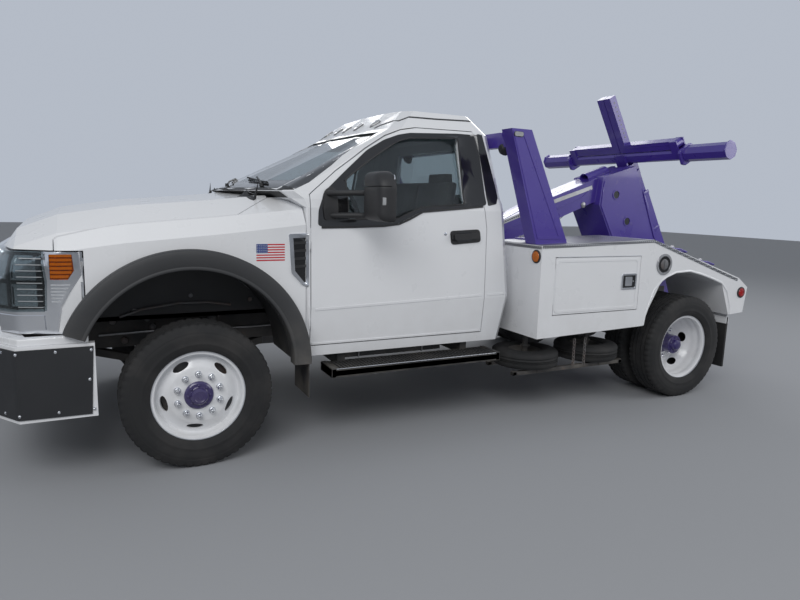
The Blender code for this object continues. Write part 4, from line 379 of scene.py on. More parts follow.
# %% Plastics, rubber and vinyl
plastic = Finish("black_plastic", (0.017, 0.017, 0.018), 0.55).blotches(4.0, 0.5, (0.035, 0.034, 0.034))
plastic = plastic.dust(0.8, 0.3, 0.4).grain(650.0, 0.35, 0.0006).material
gloss_black = Finish("black_plastic", (0.010, 0.010, 0.011), 0.12, coat=0.5).blotches(5.0, 0.3, (0.02, 0.02, 0.021))
gloss_black = gloss_black.grain(300.0, 0.04, 0.0002).gloss(0.08, 0.2).material
flare_grey = Finish("black_plastic", (0.038, 0.039, 0.041), 0.62).blotches(3.0, 0.5, (0.055, 0.055, 0.056))
flare_grey = flare_grey.dust(0.9, 0.4, 0.35).grain(700.0, 0.3, 0.0005).material
rubber_sheet = Finish("black_plastic", (0.017, 0.018, 0.020), 0.55).blotches(2.5, 0.4, (0.026, 0.027, 0.029))
rubber_sheet = rubber_sheet.grain(260.0, 0.2, 0.0006).gloss(0.45, 0.65).material
rubber = Finish("tyre", (0.014, 0.014, 0.0145), 0.8).blotches(6.0, 0.6, (0.045, 0.042, 0.040))
rubber = rubber.grain(380.0, 0.3, 0.0008).material
vinyl = Finish("vinyl", (0.16, 0.155, 0.15), 0.6).blotches(8.0, 0.4, (0.11, 0.105, 0.10))
vinyl = vinyl.grain(520.0, 0.45, 0.0008).material
print("soft and moulded finishes: 6")

# %% [markdown]
# Glass passes all light and bends it; a lamp's lens passes about half, so that it keeps its colour in daylight.

# %% Glass and lenses
glass_finish = Finish("glass", (0.50, 0.56, 0.57), 0.02)
glass_finish.set(glass_finish.shader, {"Transmission Weight": 1.0, "IOR": 1.45})
glass = glass_finish.grain(3.0, 0.04, 0.002).material


def lens_finish(name, colour):
    lens = Finish(name, colour, 0.08)
    lens.set(lens.shader, {"Transmission Weight": 0.55, "IOR": 1.49})
    darker = tuple(c * 0.6 for c in colour)
    return lens.blotches(30.0, 0.25, darker).grain(240.0, 0.15, 0.0008, (1, 1, 0.2)).material


amber = lens_finish("amber_lens", (0.85, 0.22, 0.01))
# A darker copy of the amber lens, shown between the signal's ribs: painted shade.
amber_lens_shade = lens_finish("amber_lens", (0.42, 0.085, 0.004))
red = lens_finish("red_lens", (0.55, 0.01, 0.01))
clear = lens_finish("clear_lens", (0.80, 0.82, 0.84))
print("lenses: amber, dark amber, red, clear")

# %% [markdown]
# The solids of the frame come with plain slots. Each slot is swapped for the finish of the same name; finishes that
# the frame doesn't know are counted as one that it does.

# %% Finishes on the solids
FINISHES = (white, purple, chassis, cast, steel, chrome, plastic, glass, vinyl, rubber)
FINISH_OF = {finish.name.split(".")[0]: finish for finish in FINISHES}
for node in NODES.values():
    for place in node.material_slots:
        place.material = FINISH_OF[place.material.name.split(".")[0]]
print("finishes on the solids:", sorted(FINISH_OF))

# %% [markdown]
# A small drawing board. Every hand-made piece is drawn as a few simple solids in one bmesh, in the truck's axes,
# then turned into an object. Modifiers could do some of it, but plain functions keep each step readable and exact.

# %% Drawing board
PLANES = {
    "XZ": lambda u, v, w: (u, w, v),
    "XY": lambda u, v, w: (u, v, w),
    "YZ": lambda u, v, w: (w, u, v),
}
BEVEL_FROM = math.radians(32.0)


def smooth(mesh, sharp=36.0):
    mesh.polygons.foreach_set("use_smooth", [True] * len(mesh.polygons))
    mesh.set_sharp_from_angle(angle=math.radians(sharp))


def turned_to(axis):
    """The turn that brings +z onto an axis."""
    return Vector(axis).to_track_quat("Z", "Y").to_matrix()


def on_circle(a, radius):
    return Vector((radius * math.cos(a), radius * math.sin(a), 0))


class Draft:
    """A drawing. Solids are added to it; then it is made into a piece or carved out of one."""

    def __init__(self):
        self.shape = bmesh.new()

    def block(self, one, two):
        """A box between two opposite corners."""
        low, high = (Vector([pick(pair) for pair in zip(one, two)]) for pick in (min, max))
        place = Matrix.Translation((low + high) / 2) @ Matrix.Diagonal((*(high - low), 1.0))
        bmesh.ops.create_cube(self.shape, size=1.0, matrix=place)
        return self

    def slab(self, near, far):
        """A solid between two outlines of as many points."""
        near, far = ([self.shape.verts.new(point) for point in ring] for ring in (near, far))
        self.shape.faces.new(near)
        self.shape.faces.new(far[::-1])
        for i in range(len(near)):
            j = (i + 1) % len(near)
            self.shape.faces.new((near[i], far[i], far[j], near[j]))
        return self

    def prism(self, outline, low, high, plane="XZ"):
        """An outline in one plane, drawn out between two heights."""
        place = PLANES[plane]
        return self.slab(*([place(u, v, w) for u, v in outline] for w in (low, high)))

    def rod(self, start, end, radius, steps=24, far=None):
        start, end = Vector(start), Vector(end)
        bmesh.ops.create_cone(
            self.shape, cap_ends=True, segments=steps, radius1=radius, radius2=radius if far is None else far,
            depth=(end - start).length,
            matrix=Matrix.Translation((start + end) / 2) @ turned_to(end - start).to_4x4(),
        )
        return self

    def loft(self, rings, closed=False, caps=True):
        """A skin over rings of points. Its ends are capped, left open or, if closed, joined."""
        rings = [[self.shape.verts.new(point) for point in ring] for ring in rings]
        steps = max(len(ring) for ring in rings)
        for one, two in zip(rings, rings[1:] + (rings[:1] if closed else [])):
            for i in range(steps):
                j = (i + 1) % steps
                corners = (one[i % len(one)], one[j % len(one)], two[j % len(two)], two[i % len(two)])
                corners = list(dict.fromkeys(corners))
                if len(corners) > 2:
                    self.shape.faces.new(corners)
        if caps and not closed:
            self.shape.faces.new(rings[0])
            self.shape.faces.new(rings[-1][::-1])
        return self

    def lathe(self, profile, centre, axis, steps=72, closed=False):
        """Turns a profile of (radius, distance along the axis) round an axis through the centre."""
        centre, turn = Vector(centre), turned_to(axis)
        rings = []
        for radius, along in profile:
            angles = [2 * math.pi * i / steps for i in range(1 if radius == 0 else steps)]
            rings.append([centre + turn @ (on_circle(a, radius) + UPWARD * along) for a in angles])
        return self.loft(rings, closed, caps=False)

    def tube(self, path, radius, steps=12, closed=False):
        """Sweeps a circle along a path of points."""
        path = [Vector(point) for point in path]
        count, side, rings = len(path), None, []
        for i, point in enumerate(path):
            before = path[i - 1] if i or closed else point
            after = path[(i + 1) % count] if i + 1 < count or closed else point
            ahead = (after - before).normalized()
            side = ahead.orthogonal().normalized() if side is None else side
            side = (side - ahead * side.dot(ahead)).normalized()
            other = ahead.cross(side)
            angles = [2 * math.pi * k / steps for k in range(steps)]
            rings.append([point + side * (radius * math.cos(a)) + other * (radius * math.sin(a)) for a in angles])
        return self.loft(rings, closed)

    def bolt(self, place, out, radius, height):
        """A bolt head on its washer, standing on a point and pointing out."""
        place, out = Vector(place), Vector(out).normalized()
        self.rod(place - out * (height * 0.4), place + out * (height * 0.22), radius * 1.4, 20)
        self.rod(place, place + out * (height * 0.85), radius, 6)
        return self.rod(place + out * (height * 0.85), place + out * height, radius, 6, radius * 0.8)

    def finish(self, name, bevel=0.0, segments=2):
        """The drawing as a mesh, its faces turned outwards and its sharp edges bevelled."""
        bmesh.ops.recalc_face_normals(self.shape, faces=self.shape.faces[:])
        if bevel:
            edges = [e for e in self.shape.edges if len(e.link_faces) == 2 and e.calc_face_angle(0) > BEVEL_FROM]
            bmesh.ops.bevel(
                self.shape, geom=edges, offset=bevel, segments=segments, affect="EDGES", profile=0.6,
                clamp_overlap=True,
            )
        mesh = bpy.data.meshes.new(name)
        self.shape.to_mesh(mesh)
        self.shape.free()
        return mesh

    def make(self, name, material, body="chassis", bevel=0.0, segments=2, sharp=36.0):
        """Turns the drawing into a named piece that rides on a body."""
        mesh = self.finish(name, bevel, segments)
        mesh.materials.append(material)
        smooth(mesh, sharp)
        piece = add_to_scene(name, mesh)
        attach(piece, body)
        return piece

    def carve(self, piece):
        """Takes the drawing away from a piece."""
        mesh = self.finish("cutter")
        tool = add_to_scene("cutter", mesh)
        step = piece.modifiers.new("carve", "BOOLEAN")
        step.object, step.operation, step.solver = tool, "DIFFERENCE", "EXACT"
        bpy.context.view_layer.update()
        carved = bpy.data.meshes.new_from_object(piece.evaluated_get(bpy.context.evaluated_depsgraph_get()))
        piece.modifiers.clear()
        old, piece.data = piece.data, carved
        bpy.data.meshes.remove(old)
        bpy.data.objects.remove(tool)
        bpy.data.meshes.remove(mesh)
        smooth(carved)


def ring_points(centre, axis, radius, count, turn=0.0):
    """Points on a circle round an axis."""
    spin = turned_to(axis)
    return [Vector(centre) + spin @ on_circle(2 * math.pi * (i + turn) / count, radius) for i in range(count)]


COUNTED = {thing.name for thing in bpy.data.objects}


def tell(step):
    """Prints how many pieces a step made."""
    new = [thing.name for thing in bpy.data.objects if thing.name not in COUNTED]
    COUNTED.update(new)
    print(f"{step}: {len(new)} pieces, from {new[0]} on" if new else f"{step}: ready")


tell("drawing board")

# %% [markdown]
# Trim follows curved panels. It could be shrink-wrapped; here an outline is cut into small faces, each corner is
# cast onto the solid's surface, and the skin is thickened outwards. The ray decides the view that the outline is
# drawn in: from the side, the front, the rear, above, or round an upright corner.

# %% Casting an outline onto a panel
TREES = {}


def tree_of(*names):
    """The surfaces of CAD nodes, to cast onto."""
    if names not in TREES:
        points, faces = [], []
        for name in names:
            mesh = NODES[name].data
            start = len(points)
            points += [v.co.copy() for v in mesh.vertices]
            faces += [[start + i for i in face.vertices] for face in mesh.polygons]
        TREES[names] = BVHTree.FromPolygons(points, faces)
    return TREES[names]


def from_side(side):
    return lambda u, v: (Vector((u, side * 3, v)), Vector((0, -side, 0)))


def from_front(x=5):
    return lambda u, v: (Vector((x, u, v)), Vector((-1, 0, 0)))


def from_rear(u, v):
    return Vector((-5, u, v)), Vector((1, 0, 0))


def from_above(u, v):
    return Vector((u, v, 4)), Vector((0, 0, -1))


def round_corner(x, y, side):
    """Casts towards an upright axis at (x, y); u is the angle in degrees from the side towards the nose."""

    def ray(u, v):
        a = math.radians(u)
        out = Vector((math.sin(a), side * math.cos(a), 0))
        return Vector((x, side * y, v)) + out * 2, -out

    return ray


def cut_flat(loops, steps):
    """A flat outline with its holes, cut along a grid so that it can bend."""
    flat = bmesh.new()
    corners = [flat.verts.new(point) for loop in loops for point in loop]
    for face in tessellate_polygon(loops):
        flat.faces.new([corners[i] for i in face])
    for axis, step in enumerate(steps):
        values = [v.co[axis] for v in flat.verts]
        normal = Vector((1 - axis, axis, 0))
        for i in range(math.ceil(min(values) / step), math.floor(max(values) / step) + 1):
            everything = flat.verts[:] + flat.edges[:] + flat.faces[:]
            bmesh.ops.bisect_plane(flat, geom=everything, plane_co=normal * (i * step), plane_no=normal)
    return flat


def layer(nodes, ray, word="", body="chassis"):
    """Gives a function that lays thin pieces on the surface of CAD nodes, their names ending in the word."""
    tree = tree_of(*nodes.split())

    def lay(name, outline, material, thick=0.004, sink=0.002, step=0.04, holes=(), bevel=0.0012):
        loops = [[Vector((u, v, 0)) for u, v in loop] for loop in (outline, *holes)]
        flat = cut_flat(loops, step if isinstance(step, tuple) else (step, step))
        draft = Draft()
        add, face_of = draft.shape.verts.new, draft.shape.faces.new
        low, high = {}, {}
        for vert in flat.verts:
            origin, ahead = ray(vert.co.x, vert.co.y)
            hit = tree.ray_cast(origin, ahead)[0]
            if hit is None:
                near = tree.find_nearest(origin + ahead * 2)[0]
                hit = origin + ahead * (near - origin).dot(ahead)
            low[vert], high[vert] = add(hit + ahead * sink), add(hit - ahead * thick)
        for face in flat.faces:
            face_of([high[v] for v in face.verts])
            face_of([low[v] for v in reversed(face.verts)])
        for edge in flat.edges:
            if len(edge.link_faces) == 1:
                one, two = edge.verts
                face_of((low[one], low[two], high[two], high[one]))
        flat.free()
        return draft.make(f"{name}_{word}" if word else name, material, body, bevel, 1, 40)

    return lay


print("views to cast from: side, front, rear, above, corner")

# %% [markdown]
# Outlines are lists of points. These helpers round their corners, scale or mirror them and turn a line into a strip.

# %% Outlines
def rounded(points, radius, steps=4):
    """An outline with its corners rounded."""
    result = []
    for i, point in enumerate(points):
        before, here, after = Vector(points[i - 1]), Vector(point), Vector(points[(i + 1) % len(points)])
        into, away = (here - before), (after - here)
        reach = min(radius, into.length * 0.45, away.length * 0.45)
        start, end = here - into.normalized() * reach, here + away.normalized() * reach
        for k in range(steps + 1):
            t = k / steps
            result.append(tuple(start * (1 - t) ** 2 + here * (2 * t * (1 - t)) + end * t**2))
    return result


def corners_of(u_low, u_high, v_low, v_high):
    return [(u_low, v_low), (u_high, v_low), (u_high, v_high), (u_low, v_high)]


def box_outline(u_low, u_high, v_low, v_high, radius=0.01):
    return rounded(corners_of(u_low, u_high, v_low, v_high), radius)


def band(points, width):
    """A closed outline that follows a line of points at half a width on both sides."""
    line = [Vector(point) for point in points]
    one, two = [], []
    for i, point in enumerate(line):
        ahead = (line[min(i + 1, len(line) - 1)] - line[max(i - 1, 0)]).normalized()
        across = Vector((-ahead.y, ahead.x)) * (width / 2)
        one.append(tuple(point + across))
        two.append(tuple(point - across))
    return one + two[::-1]


def disc_outline(u, v, radius, steps=36):
    angles = [2 * math.pi * k / steps for k in range(steps)]
    return [(u + radius * math.cos(a), v + radius * math.sin(a)) for a in angles]


def scaled(points, share, centre):
    return [((u - centre[0]) * share + centre[0], (v - centre[1]) * share + centre[1]) for u, v in points]


def mirror_u(side, points):
    return [(side * u, v) for u, v in points]


def mirror_v(side, points):
    return [(u, side * v) for u, v in points]


print("corners of a rounded box:", len(box_outline(0, 1, 0, 1)))

# %% [markdown]
# A truck tyre is a solid of revolution apart from its tread. So half of its section is listed once, mirrored and
# turned; then every fourth ring of points on the shoulder and every eighth on the ribs is pulled in, which cuts the
# lugs without a boolean.

# %% Tyre
TYRE_STEPS = 224
LUG_DEPTH, SIPE_DEPTH = 0.007, 0.004
TYRE_HALF = (
    (0.086, 0.2515), (0.096, 0.262), (0.1035, 0.280), (0.1060, 0.290), (0.1075, 0.2925), (0.1078, 0.300),
    (0.1070, 0.3025), (0.1083, 0.318), (0.1090, 0.336), (0.1085, 0.352), (0.1070, 0.3545), (0.1078, 0.3575),
    (0.1065, 0.3625), (0.1020, 0.376), (0.0985, 0.386), (0.0950, 0.3945), (0.0885, 0.4020), (0.0800, 0.4050),
    (0.0620, 0.4058), (0.0610, 0.3960), (0.0550, 0.3960), (0.0540, 0.4060), (0.0270, 0.4060), (0.0260, 0.3960),
    (0.0200, 0.3960), (0.0190, 0.4060),
)


def box_of(node):
    return (Vector(corner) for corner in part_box(node))


def tyre(name, node, side, body):
    low, high = box_of(node)
    centre = (low + high) / 2
    profile = [(r, a) for a, r in TYRE_HALF] + [(r, -a) for a, r in reversed(TYRE_HALF)]
    draft = Draft().lathe(profile, centre, (0, side, 0), TYRE_STEPS, closed=True)
    for vert in draft.shape.verts:
        dx, dz, away = vert.co.x - centre[0], vert.co.z - centre[2], abs(vert.co.y - centre[1])
        radius = math.hypot(dx, dz)
        number = round(((math.atan2(dz, dx) / (2 * math.pi)) % 1.0) * TYRE_STEPS)
        on_shoulder = radius > 0.384 and away > 0.061 and number % 4 == 0
        on_rib = radius > 0.405 and away < 0.055 and number % 8 == 4
        if on_shoulder or on_rib:
            keep = (radius - (LUG_DEPTH if on_shoulder else SIPE_DEPTH)) / radius
            vert.co.x, vert.co.z = centre[0] + dx * keep, centre[2] + dz * keep
    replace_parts(draft.make(name, rubber, body, sharp=50), node)
    return centre


tell("tyre")

# %% [markdown]
# The disc of a steel rim is pressed from sheet, with hand holes to let the brakes breathe. They are real cuts: ovals
# square to the disc's slope, carved by a boolean. Ten chrome nuts, a polished lip and a hub cap go on top; the cap and
# its bolts are a darker purple, which is painted shade.

# %% Rim
HOLE_STEPS = 24
NUT_RING, HUB_BOLT_RING = 0.118, 0.058
FRONT_DISC = (
    (0.000, 0.058), (0.152, 0.062), (0.163, 0.0585), (0.204, 0.030), (0.213, 0.0245), (0.2225, 0.0245),
    (0.2275, 0.034), (0.2290, 0.066), (0.235, 0.0775), (0.244, 0.0795), (0.262, 0.0800), (0.262, 0.072),
    (0.244, 0.066), (0.240, -0.070), (0.262, -0.078), (0.262, -0.086), (0.240, -0.084), (0.231, -0.070),
    (0.228, 0.016), (0.205, 0.020), (0.160, 0.046), (0.000, 0.046),
)
REAR_DISC = (
    (0.000, 0.012), (0.150, 0.013), (0.166, 0.017), (0.212, 0.086), (0.222, 0.098), (0.229, 0.118),
    (0.2295, 0.146), (0.2345, 0.153), (0.2350, 0.176), (0.2310, 0.182), (0.2310, 0.203), (0.236, 0.2125),
    (0.246, 0.2145), (0.262, 0.2150), (0.262, 0.207), (0.246, 0.200), (0.240, 0.060), (0.252, 0.048),
    (0.240, 0.046), (0.232, 0.058), (0.205, 0.066), (0.160, 0.004), (0.150, 0.000), (0.000, 0.000),
)
FRONT_HUB = {
    "face": 0.0605, "lip": 0.080, "bolts": 0.016,
    "holes": {
        "foot": 0.043, "radius": 0.185, "size": (0.046, 0.0225), "depth": 0.04, "start": 47, "tilt": (0.82, 0.57),
    },
    "cap": (
        (0.078, -0.003), (0.078, 0.008), (0.074, 0.012), (0.068, 0.016), (0.050, 0.017), (0.047, 0.019),
        (0.046, 0.036), (0.042, 0.041), (0.030, 0.0440), (0.028, 0.0425), (0.012, 0.0425), (0.011, 0.0445),
        (0, 0.0445),
    ),
}
REAR_HUB = {
    "face": 0.0125, "lip": 0.215, "bolts": 0.124,
    "holes": {
        "foot": 0.050, "radius": 0.189, "size": (0.042, 0.030), "depth": 0.034, "start": 10, "tilt": (0.55, -0.83),
    },
    "cap": (
        (0.090, -0.002), (0.090, 0.006), (0.080, 0.012), (0.074, 0.030), (0.072, 0.108), (0.074, 0.114),
        (0.074, 0.121), (0.071, 0.1245), (0.048, 0.1250), (0.045, 0.128), (0.040, 0.150), (0.030, 0.160),
        (0.012, 0.164), (0, 0.1645),
    ),
}


def hand_holes(disc, centre, out, foot, radius, size, depth, start, tilt):
    """Five ovals. The first one stands start degrees up from the rear."""
    cutter = Draft()
    for number in range(5):
        angle = math.radians(start + number * 72)
        away = Vector((-math.cos(angle), 0, math.sin(angle)))
        place = centre + out * foot + away * radius
        along = away.cross(out)
        lean = (out * tilt[0] + away * tilt[1]).normalized()
        across = lean.cross(along)
        angles = [2 * math.pi * k / HOLE_STEPS for k in range(HOLE_STEPS)]
        ring = [place + along * (size[0] * math.cos(a)) + across * (size[1] * math.sin(a)) for a in angles]
        cutter.slab([p + lean * depth for p in ring], [p - lean * depth for p in ring])
    cutter.carve(disc)


def rim(node, profile, hub, centre, side, body):
    """The painted disc with its hand holes, lip, nuts and hub cap."""
    out = Vector((0, side, 0))
    disc = Draft().lathe(profile, centre, out, 120).make(f"{body}_disc", white, body, sharp=40)
    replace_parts(disc, node)
    hand_holes(disc, centre, out, **hub["holes"])
    face, lip = hub["face"], hub["lip"]
    ring = ((0.2465, lip), (0.2475, lip + 0.004), (0.255, lip + 0.0055), (0.2618, lip + 0.002), (0.2618, lip - 0.004))
    Draft().lathe(ring, centre, out, 120, closed=True).make(f"{body}_lip", aluminium, body, sharp=50)
    nuts, bolts = Draft(), Draft()
    for place in ring_points(centre + out * face, out, NUT_RING, 10, 0.5):
        nuts.rod(place - out * 0.004, place + out * 0.004, 0.0205, 20, 0.019)
        nuts.rod(place, place + out * 0.022, 0.0165, 6)
        nuts.rod(place + out * 0.022, place + out * 0.030, 0.0145, 20, 0.009)
    nuts.make(f"{body}_nuts", chrome, body, 0.0012)
    cap = Draft().lathe([(r, face + a) for r, a in hub["cap"]], centre, out, 60)
    # The cap and its bolts take the darker purple: painted shade.
    cap.make(f"{body}_hub", shaded_hub_purple, body, sharp=30)
    for place in ring_points(centre + out * (face + hub["bolts"]), out, HUB_BOLT_RING, 8):
        bolts.bolt(place, out, 0.0062, 0.007)
    bolts.make(f"{body}_hub_bolts", shaded_hub_purple, body, 0.0006)


tell("rim")

# %% [markdown]
# In front a wheel has one tyre and shows its brake behind the disc; at the rear two tyres share one hub, and a
# second rim, turned the other way round, faces inwards with a hole for the brake drum.

# %% All wheels
BRAKE = ((0, -0.02), (0.08, -0.02), (0.19, -0.025), (0.195, -0.03), (0.195, -0.06), (0.19, -0.065), (0, -0.065))
DRUM = ((0.075, -0.30), (0.19, -0.29), (0.195, -0.28), (0.195, -0.20), (0.075, -0.19))

for word, side in SIDES.items():
    body, out = f"wheel_front_{word}", Vector((0, side, 0))
    middle = tyre(f"{body}_tyre", f"tyre_front_{word}", side, body)
    rim(f"rim_front_{word}", FRONT_DISC, FRONT_HUB, middle, side, body)
    Draft().lathe(BRAKE, middle, out, 48).make(f"{body}_brake_disc", cast, body, 0.001)
for word, side in SIDES.items():
    body, out = f"wheels_rear_{word}", Vector((0, side, 0))
    outer, inner = (tyre(f"{body}_{row}_tyre", f"tyre_rear_{row}_{word}", side, body) for row in ("outer", "inner"))
    middle = (outer + inner) / 2
    rim(f"rims_rear_{word}", REAR_DISC, REAR_HUB, middle, side, body)
    inner_rim = Draft().lathe([(r, -a - 0.001) for r, a in REAR_DISC], middle, out, 96)
    inner_rim = inner_rim.make(f"{body}_inner_rim", white, body, sharp=40)
    Draft().rod(middle - out * 0.21, middle - out * 0.02, 0.085, 40, 0.075).carve(inner_rim)
    Draft().lathe(DRUM, middle, out, 48, closed=True).make(f"{body}_drum", cast, body, 0.0015)
tell("wheels")

# %% [markdown]
# Dark plastic flares ring the front arches. Their section, with its groove and rolled edge, is swept round the arch
# as rings of points; a curve with a bevel object would do the same, but points give the ends exactly.

# %% Flares and liners
ARCH_X, ARCH_Z = 2.0025, 0.551
FLARE_SECTION = (
    (0.5585, 1.000), (0.5540, 1.006), (0.5540, 1.0835), (0.5570, 1.0870), (0.5680, 1.0875), (0.5710, 1.0852),
    (0.5745, 1.0852), (0.5775, 1.0875), (0.6300, 1.0880), (0.6500, 1.0868), (0.6580, 1.0825), (0.6600, 1.0740),
    (0.6600, 1.0000),
)
LINER_SECTION = ((0.556, 0.640), (0.556, 1.004), (0.5515, 1.004), (0.5515, 0.640))


def arch_point(radius, degrees):
    a = math.radians(degrees)
    return ARCH_X + radius * math.cos(a), ARCH_Z + radius * math.sin(a)


def sweep_arch(name, section, start, end, side, material, steps):
    """Sweeps a section of (radius, y) round the front wheel arch."""
    rings = []
    for i in range(steps + 1):
        spots = [(*arch_point(r, start + (end - start) * i / steps), side * y) for r, y in section]
        rings.append([(x, y, z) for x, z, y in spots])
    Draft().loft(rings).make(name, material, sharp=50)


for word, side in SIDES.items():
    sweep_arch(f"flare_{word}", FLARE_SECTION, 22.5, 181.0, side, flare_grey, 96)
    sweep_arch(f"arch_liner_{word}", LINER_SECTION, 24.0, 178.0, side, plastic, 64)
    guard = Draft().block((1.352, side * 0.79, 0.33), (1.358, side * 1.066, 0.60))
    guard.block((1.345, side * 0.80, 0.545), (1.365, side * 1.06, 0.575))
    guard.make(f"splash_guard_{word}", plastic, bevel=0.002)
tell("flares")

# %% [markdown]
# A headlamp is a stack: chrome base, four cups with their eyes, a clear cover with fine ribs, the amber signal in a
# chrome frame, its ribs standing on a darker amber that paints the shade between them. All are laid on the mask round
# one upright corner, so one list of angles serves both sides.

# %% Headlamps
LAMP_RIM = (
    (83, 1.214), (50, 1.221), (30, 1.221), (10.5, 1.217), (9.0, 1.086), (21.5, 0.945), (24.5, 0.800), (36, 0.798),
    (70, 0.812), (84, 0.820),
)
LAMP_FRAME = (
    (31.5, 1.200), (10.6, 1.200), (9.6, 1.095), (14.7, 1.035), (22.0, 0.931), (25.0, 0.808), (31.0, 0.812),
    (30.2, 0.941), (28.4, 1.050),
)
LAMP_AMBER = ((28.0, 1.187), (14.4, 1.187), (13.6, 1.108), (17.4, 1.064), (28.0, 1.064))
LAMP_LENS = ((80, 1.202), (50, 1.207), (33.5, 1.207), (31.0, 1.050), (32.0, 0.905), (80, 0.895))
LAMP_CUPS = ((36, 50, 0.93, 1.04), (36, 50, 1.06, 1.18), (54, 74, 0.93, 1.04), (54, 74, 1.06, 1.18))
LAMP_LEG = ((33.0, 0.885), (80, 0.878), (82, 0.826), (36, 0.808), (32.5, 0.812))
MASK_SKIN = ((10.7, 1.214), (9.3, 1.084), (22.0, 0.940), (25.0, 0.798), (12.0, 0.798), (8.0, 1.000), (7.9, 1.214))


def headlamp(lay):
    wide, fine = (3.0, 0.05), (2.5, 0.05)
    lay("headlamp_base", LAMP_RIM, chrome, 0.003, step=wide)
    window = rounded(LAMP_AMBER, 0.01)
    lay("headlamp_frame", rounded(LAMP_FRAME, 0.02), chrome, 0.012, step=fine, holes=[window], bevel=0.003)
    # Darker amber under the ribs: painted shade in the gaps between them.
    lay("headlamp_amber", LAMP_AMBER, amber_lens_shade, 0.005, step=fine)
    for number in range(6):
        z = 1.075 + number * 0.0205
        near = max(14.7, 17.7 - (z - 1.066) / 0.044 * 3.8)
        rib = [(27.6, z - 0.002), (27.6, z + 0.011), (near, z + 0.011), (near, z - 0.002)]
        lay(f"amber_rib_{number}", rib, amber, 0.014, bevel=0.003)
    for number in range(6):
        z = 0.952 + number * 0.0165
        near = max(14.6, 21.4 - (z - 0.945) / 0.09 * 6.4) + 1.2
        rib = [(27.6, z), (27.6, z + 0.007), (near, z + 0.007), (near, z)]
        lay(f"signal_rib_{number}", rib, clear, 0.0145, bevel=0.0015)
    lay("mask_skin", MASK_SKIN, white, 0.0045, step=(2.0, 0.05), bevel=0.0015)
    bowl = [(u - (2 if u > 60 else -1), v - (0.012 if v > 1 else -0.012)) for u, v in LAMP_LENS]
    lay("headlamp_bowl", bowl, gloss_black, 0.005, step=wide)
    for number, (u_low, u_high, v_low, v_high) in enumerate(LAMP_CUPS):
        cup = rounded(corners_of(u_low, u_high, v_low, v_high), 0.03, 5)
        eye = scaled(cup, 0.8, ((u_low + u_high) / 2, (v_low + v_high) / 2))
        lay(f"headlamp_cup_{number}", cup, chrome, 0.012, step=wide, holes=[eye], bevel=0.002)
        lay(f"headlamp_eye_{number}", eye, chrome, 0.007, step=wide)
    lay("headlamp_lens", LAMP_LENS, glass, 0.018, -0.014, fine, bevel=0.0015)
    for number in range(9):
        z = 0.925 + number * 0.030
        rib = [(32.4, z), (46, z), (46, z + 0.004), (32.4, z + 0.004)]
        lay(f"lens_rib_{number}", rib, clear, 0.0195, -0.013, (2.5, 0.1), bevel=0)
    lay("headlamp_leg", LAMP_LEG, chrome, 0.010, step=fine, bevel=0.003)


for word, side in SIDES.items():
    headlamp(layer("grille", round_corner(2.45, 0.60, side), word))
tell("headlamps")

# %% [markdown]
# Behind each front wheel a chrome frame holds a slatted vent. It bridges the fender and the cab, so it is cast onto
# both solids at once.

# %% Side vents
VENT = ((1.462, 1.290), (1.341, 1.295), (1.341, 0.983), (1.375, 0.991), (1.446, 1.068), (1.458, 1.259))
VENT_HOLE = ((1.436, 1.266), (1.356, 1.270), (1.356, 1.006), (1.370, 1.012), (1.424, 1.078), (1.434, 1.250))

for word, side in SIDES.items():
    lay = layer(f"fender_{word} cab_shell", from_side(side), word)
    lay("vent_frame", rounded(VENT, 0.012), chrome, 0.007, holes=[VENT_HOLE], bevel=0.002)
    lay("vent_back", VENT_HOLE, gloss_black, 0.0015)
    for number in range(1, 5):
        z = 1.045 + number * 0.045
        slat = [(1.4325, z + 0.020), (1.357, z + 0.024), (1.357, z + 0.008), (1.4325, z + 0.004)]
        lay(f"vent_slat_{number}", slat, plastic, 0.005, bevel=0.0015)
tell("side vents")

# %% [markdown]
# The small flag is a sticker: a white field, thin red stripes and a blue corner with dots. Geometry a millimetre
# thick keeps its edges crisp at any distance, where a painted texture would need an image.

# %% Flag
FLAG = (1.483, 1.645, 1.139, 1.234)
STRIPES = 13
CORNER_WIDTH = 0.064

for word, side in SIDES.items():
    fender, out = f"fender_{word}", Vector((0, side, 0))
    lay = layer(fender, from_side(side), word)
    rear, front, foot, head = FLAG
    lay("flag_field", box_outline(*FLAG, 0.003), white, 0.0006, bevel=0)
    stripe = (head - foot) / STRIPES
    for number in range(0, STRIPES, 2):
        z = foot + number * stripe
        stop = front - (CORNER_WIDTH if number > 5 else 0)
        lay(f"flag_stripe_{number}", corners_of(rear, stop, z, z + stripe), flag_red, 0.0011, bevel=0)
    corner_foot = foot + stripe * 6
    lay("flag_canton", corners_of(front - CORNER_WIDTH, front, corner_foot, head), flag_blue, 0.0013, bevel=0)
    dots = Draft()
    for row in range(5):
        for column in range(6):
            spot = from_side(side)(front - 0.059 + column * 0.0108, corner_foot + 0.006 + row * 0.0095)
            hit = tree_of(fender).ray_cast(*spot)[0]
            dots.rod(hit, hit + out * 0.0018, 0.0022, 6)
    dots.make(f"flag_dots_{word}", white)
tell("flag")

# %% [markdown]
# The grille is a black mesh behind two chrome bars in a chrome frame. The mesh is made of thin blocks; it is seen
# edge-on, so wires that stand free of the mask read better than a bump. The badge place stays blank.

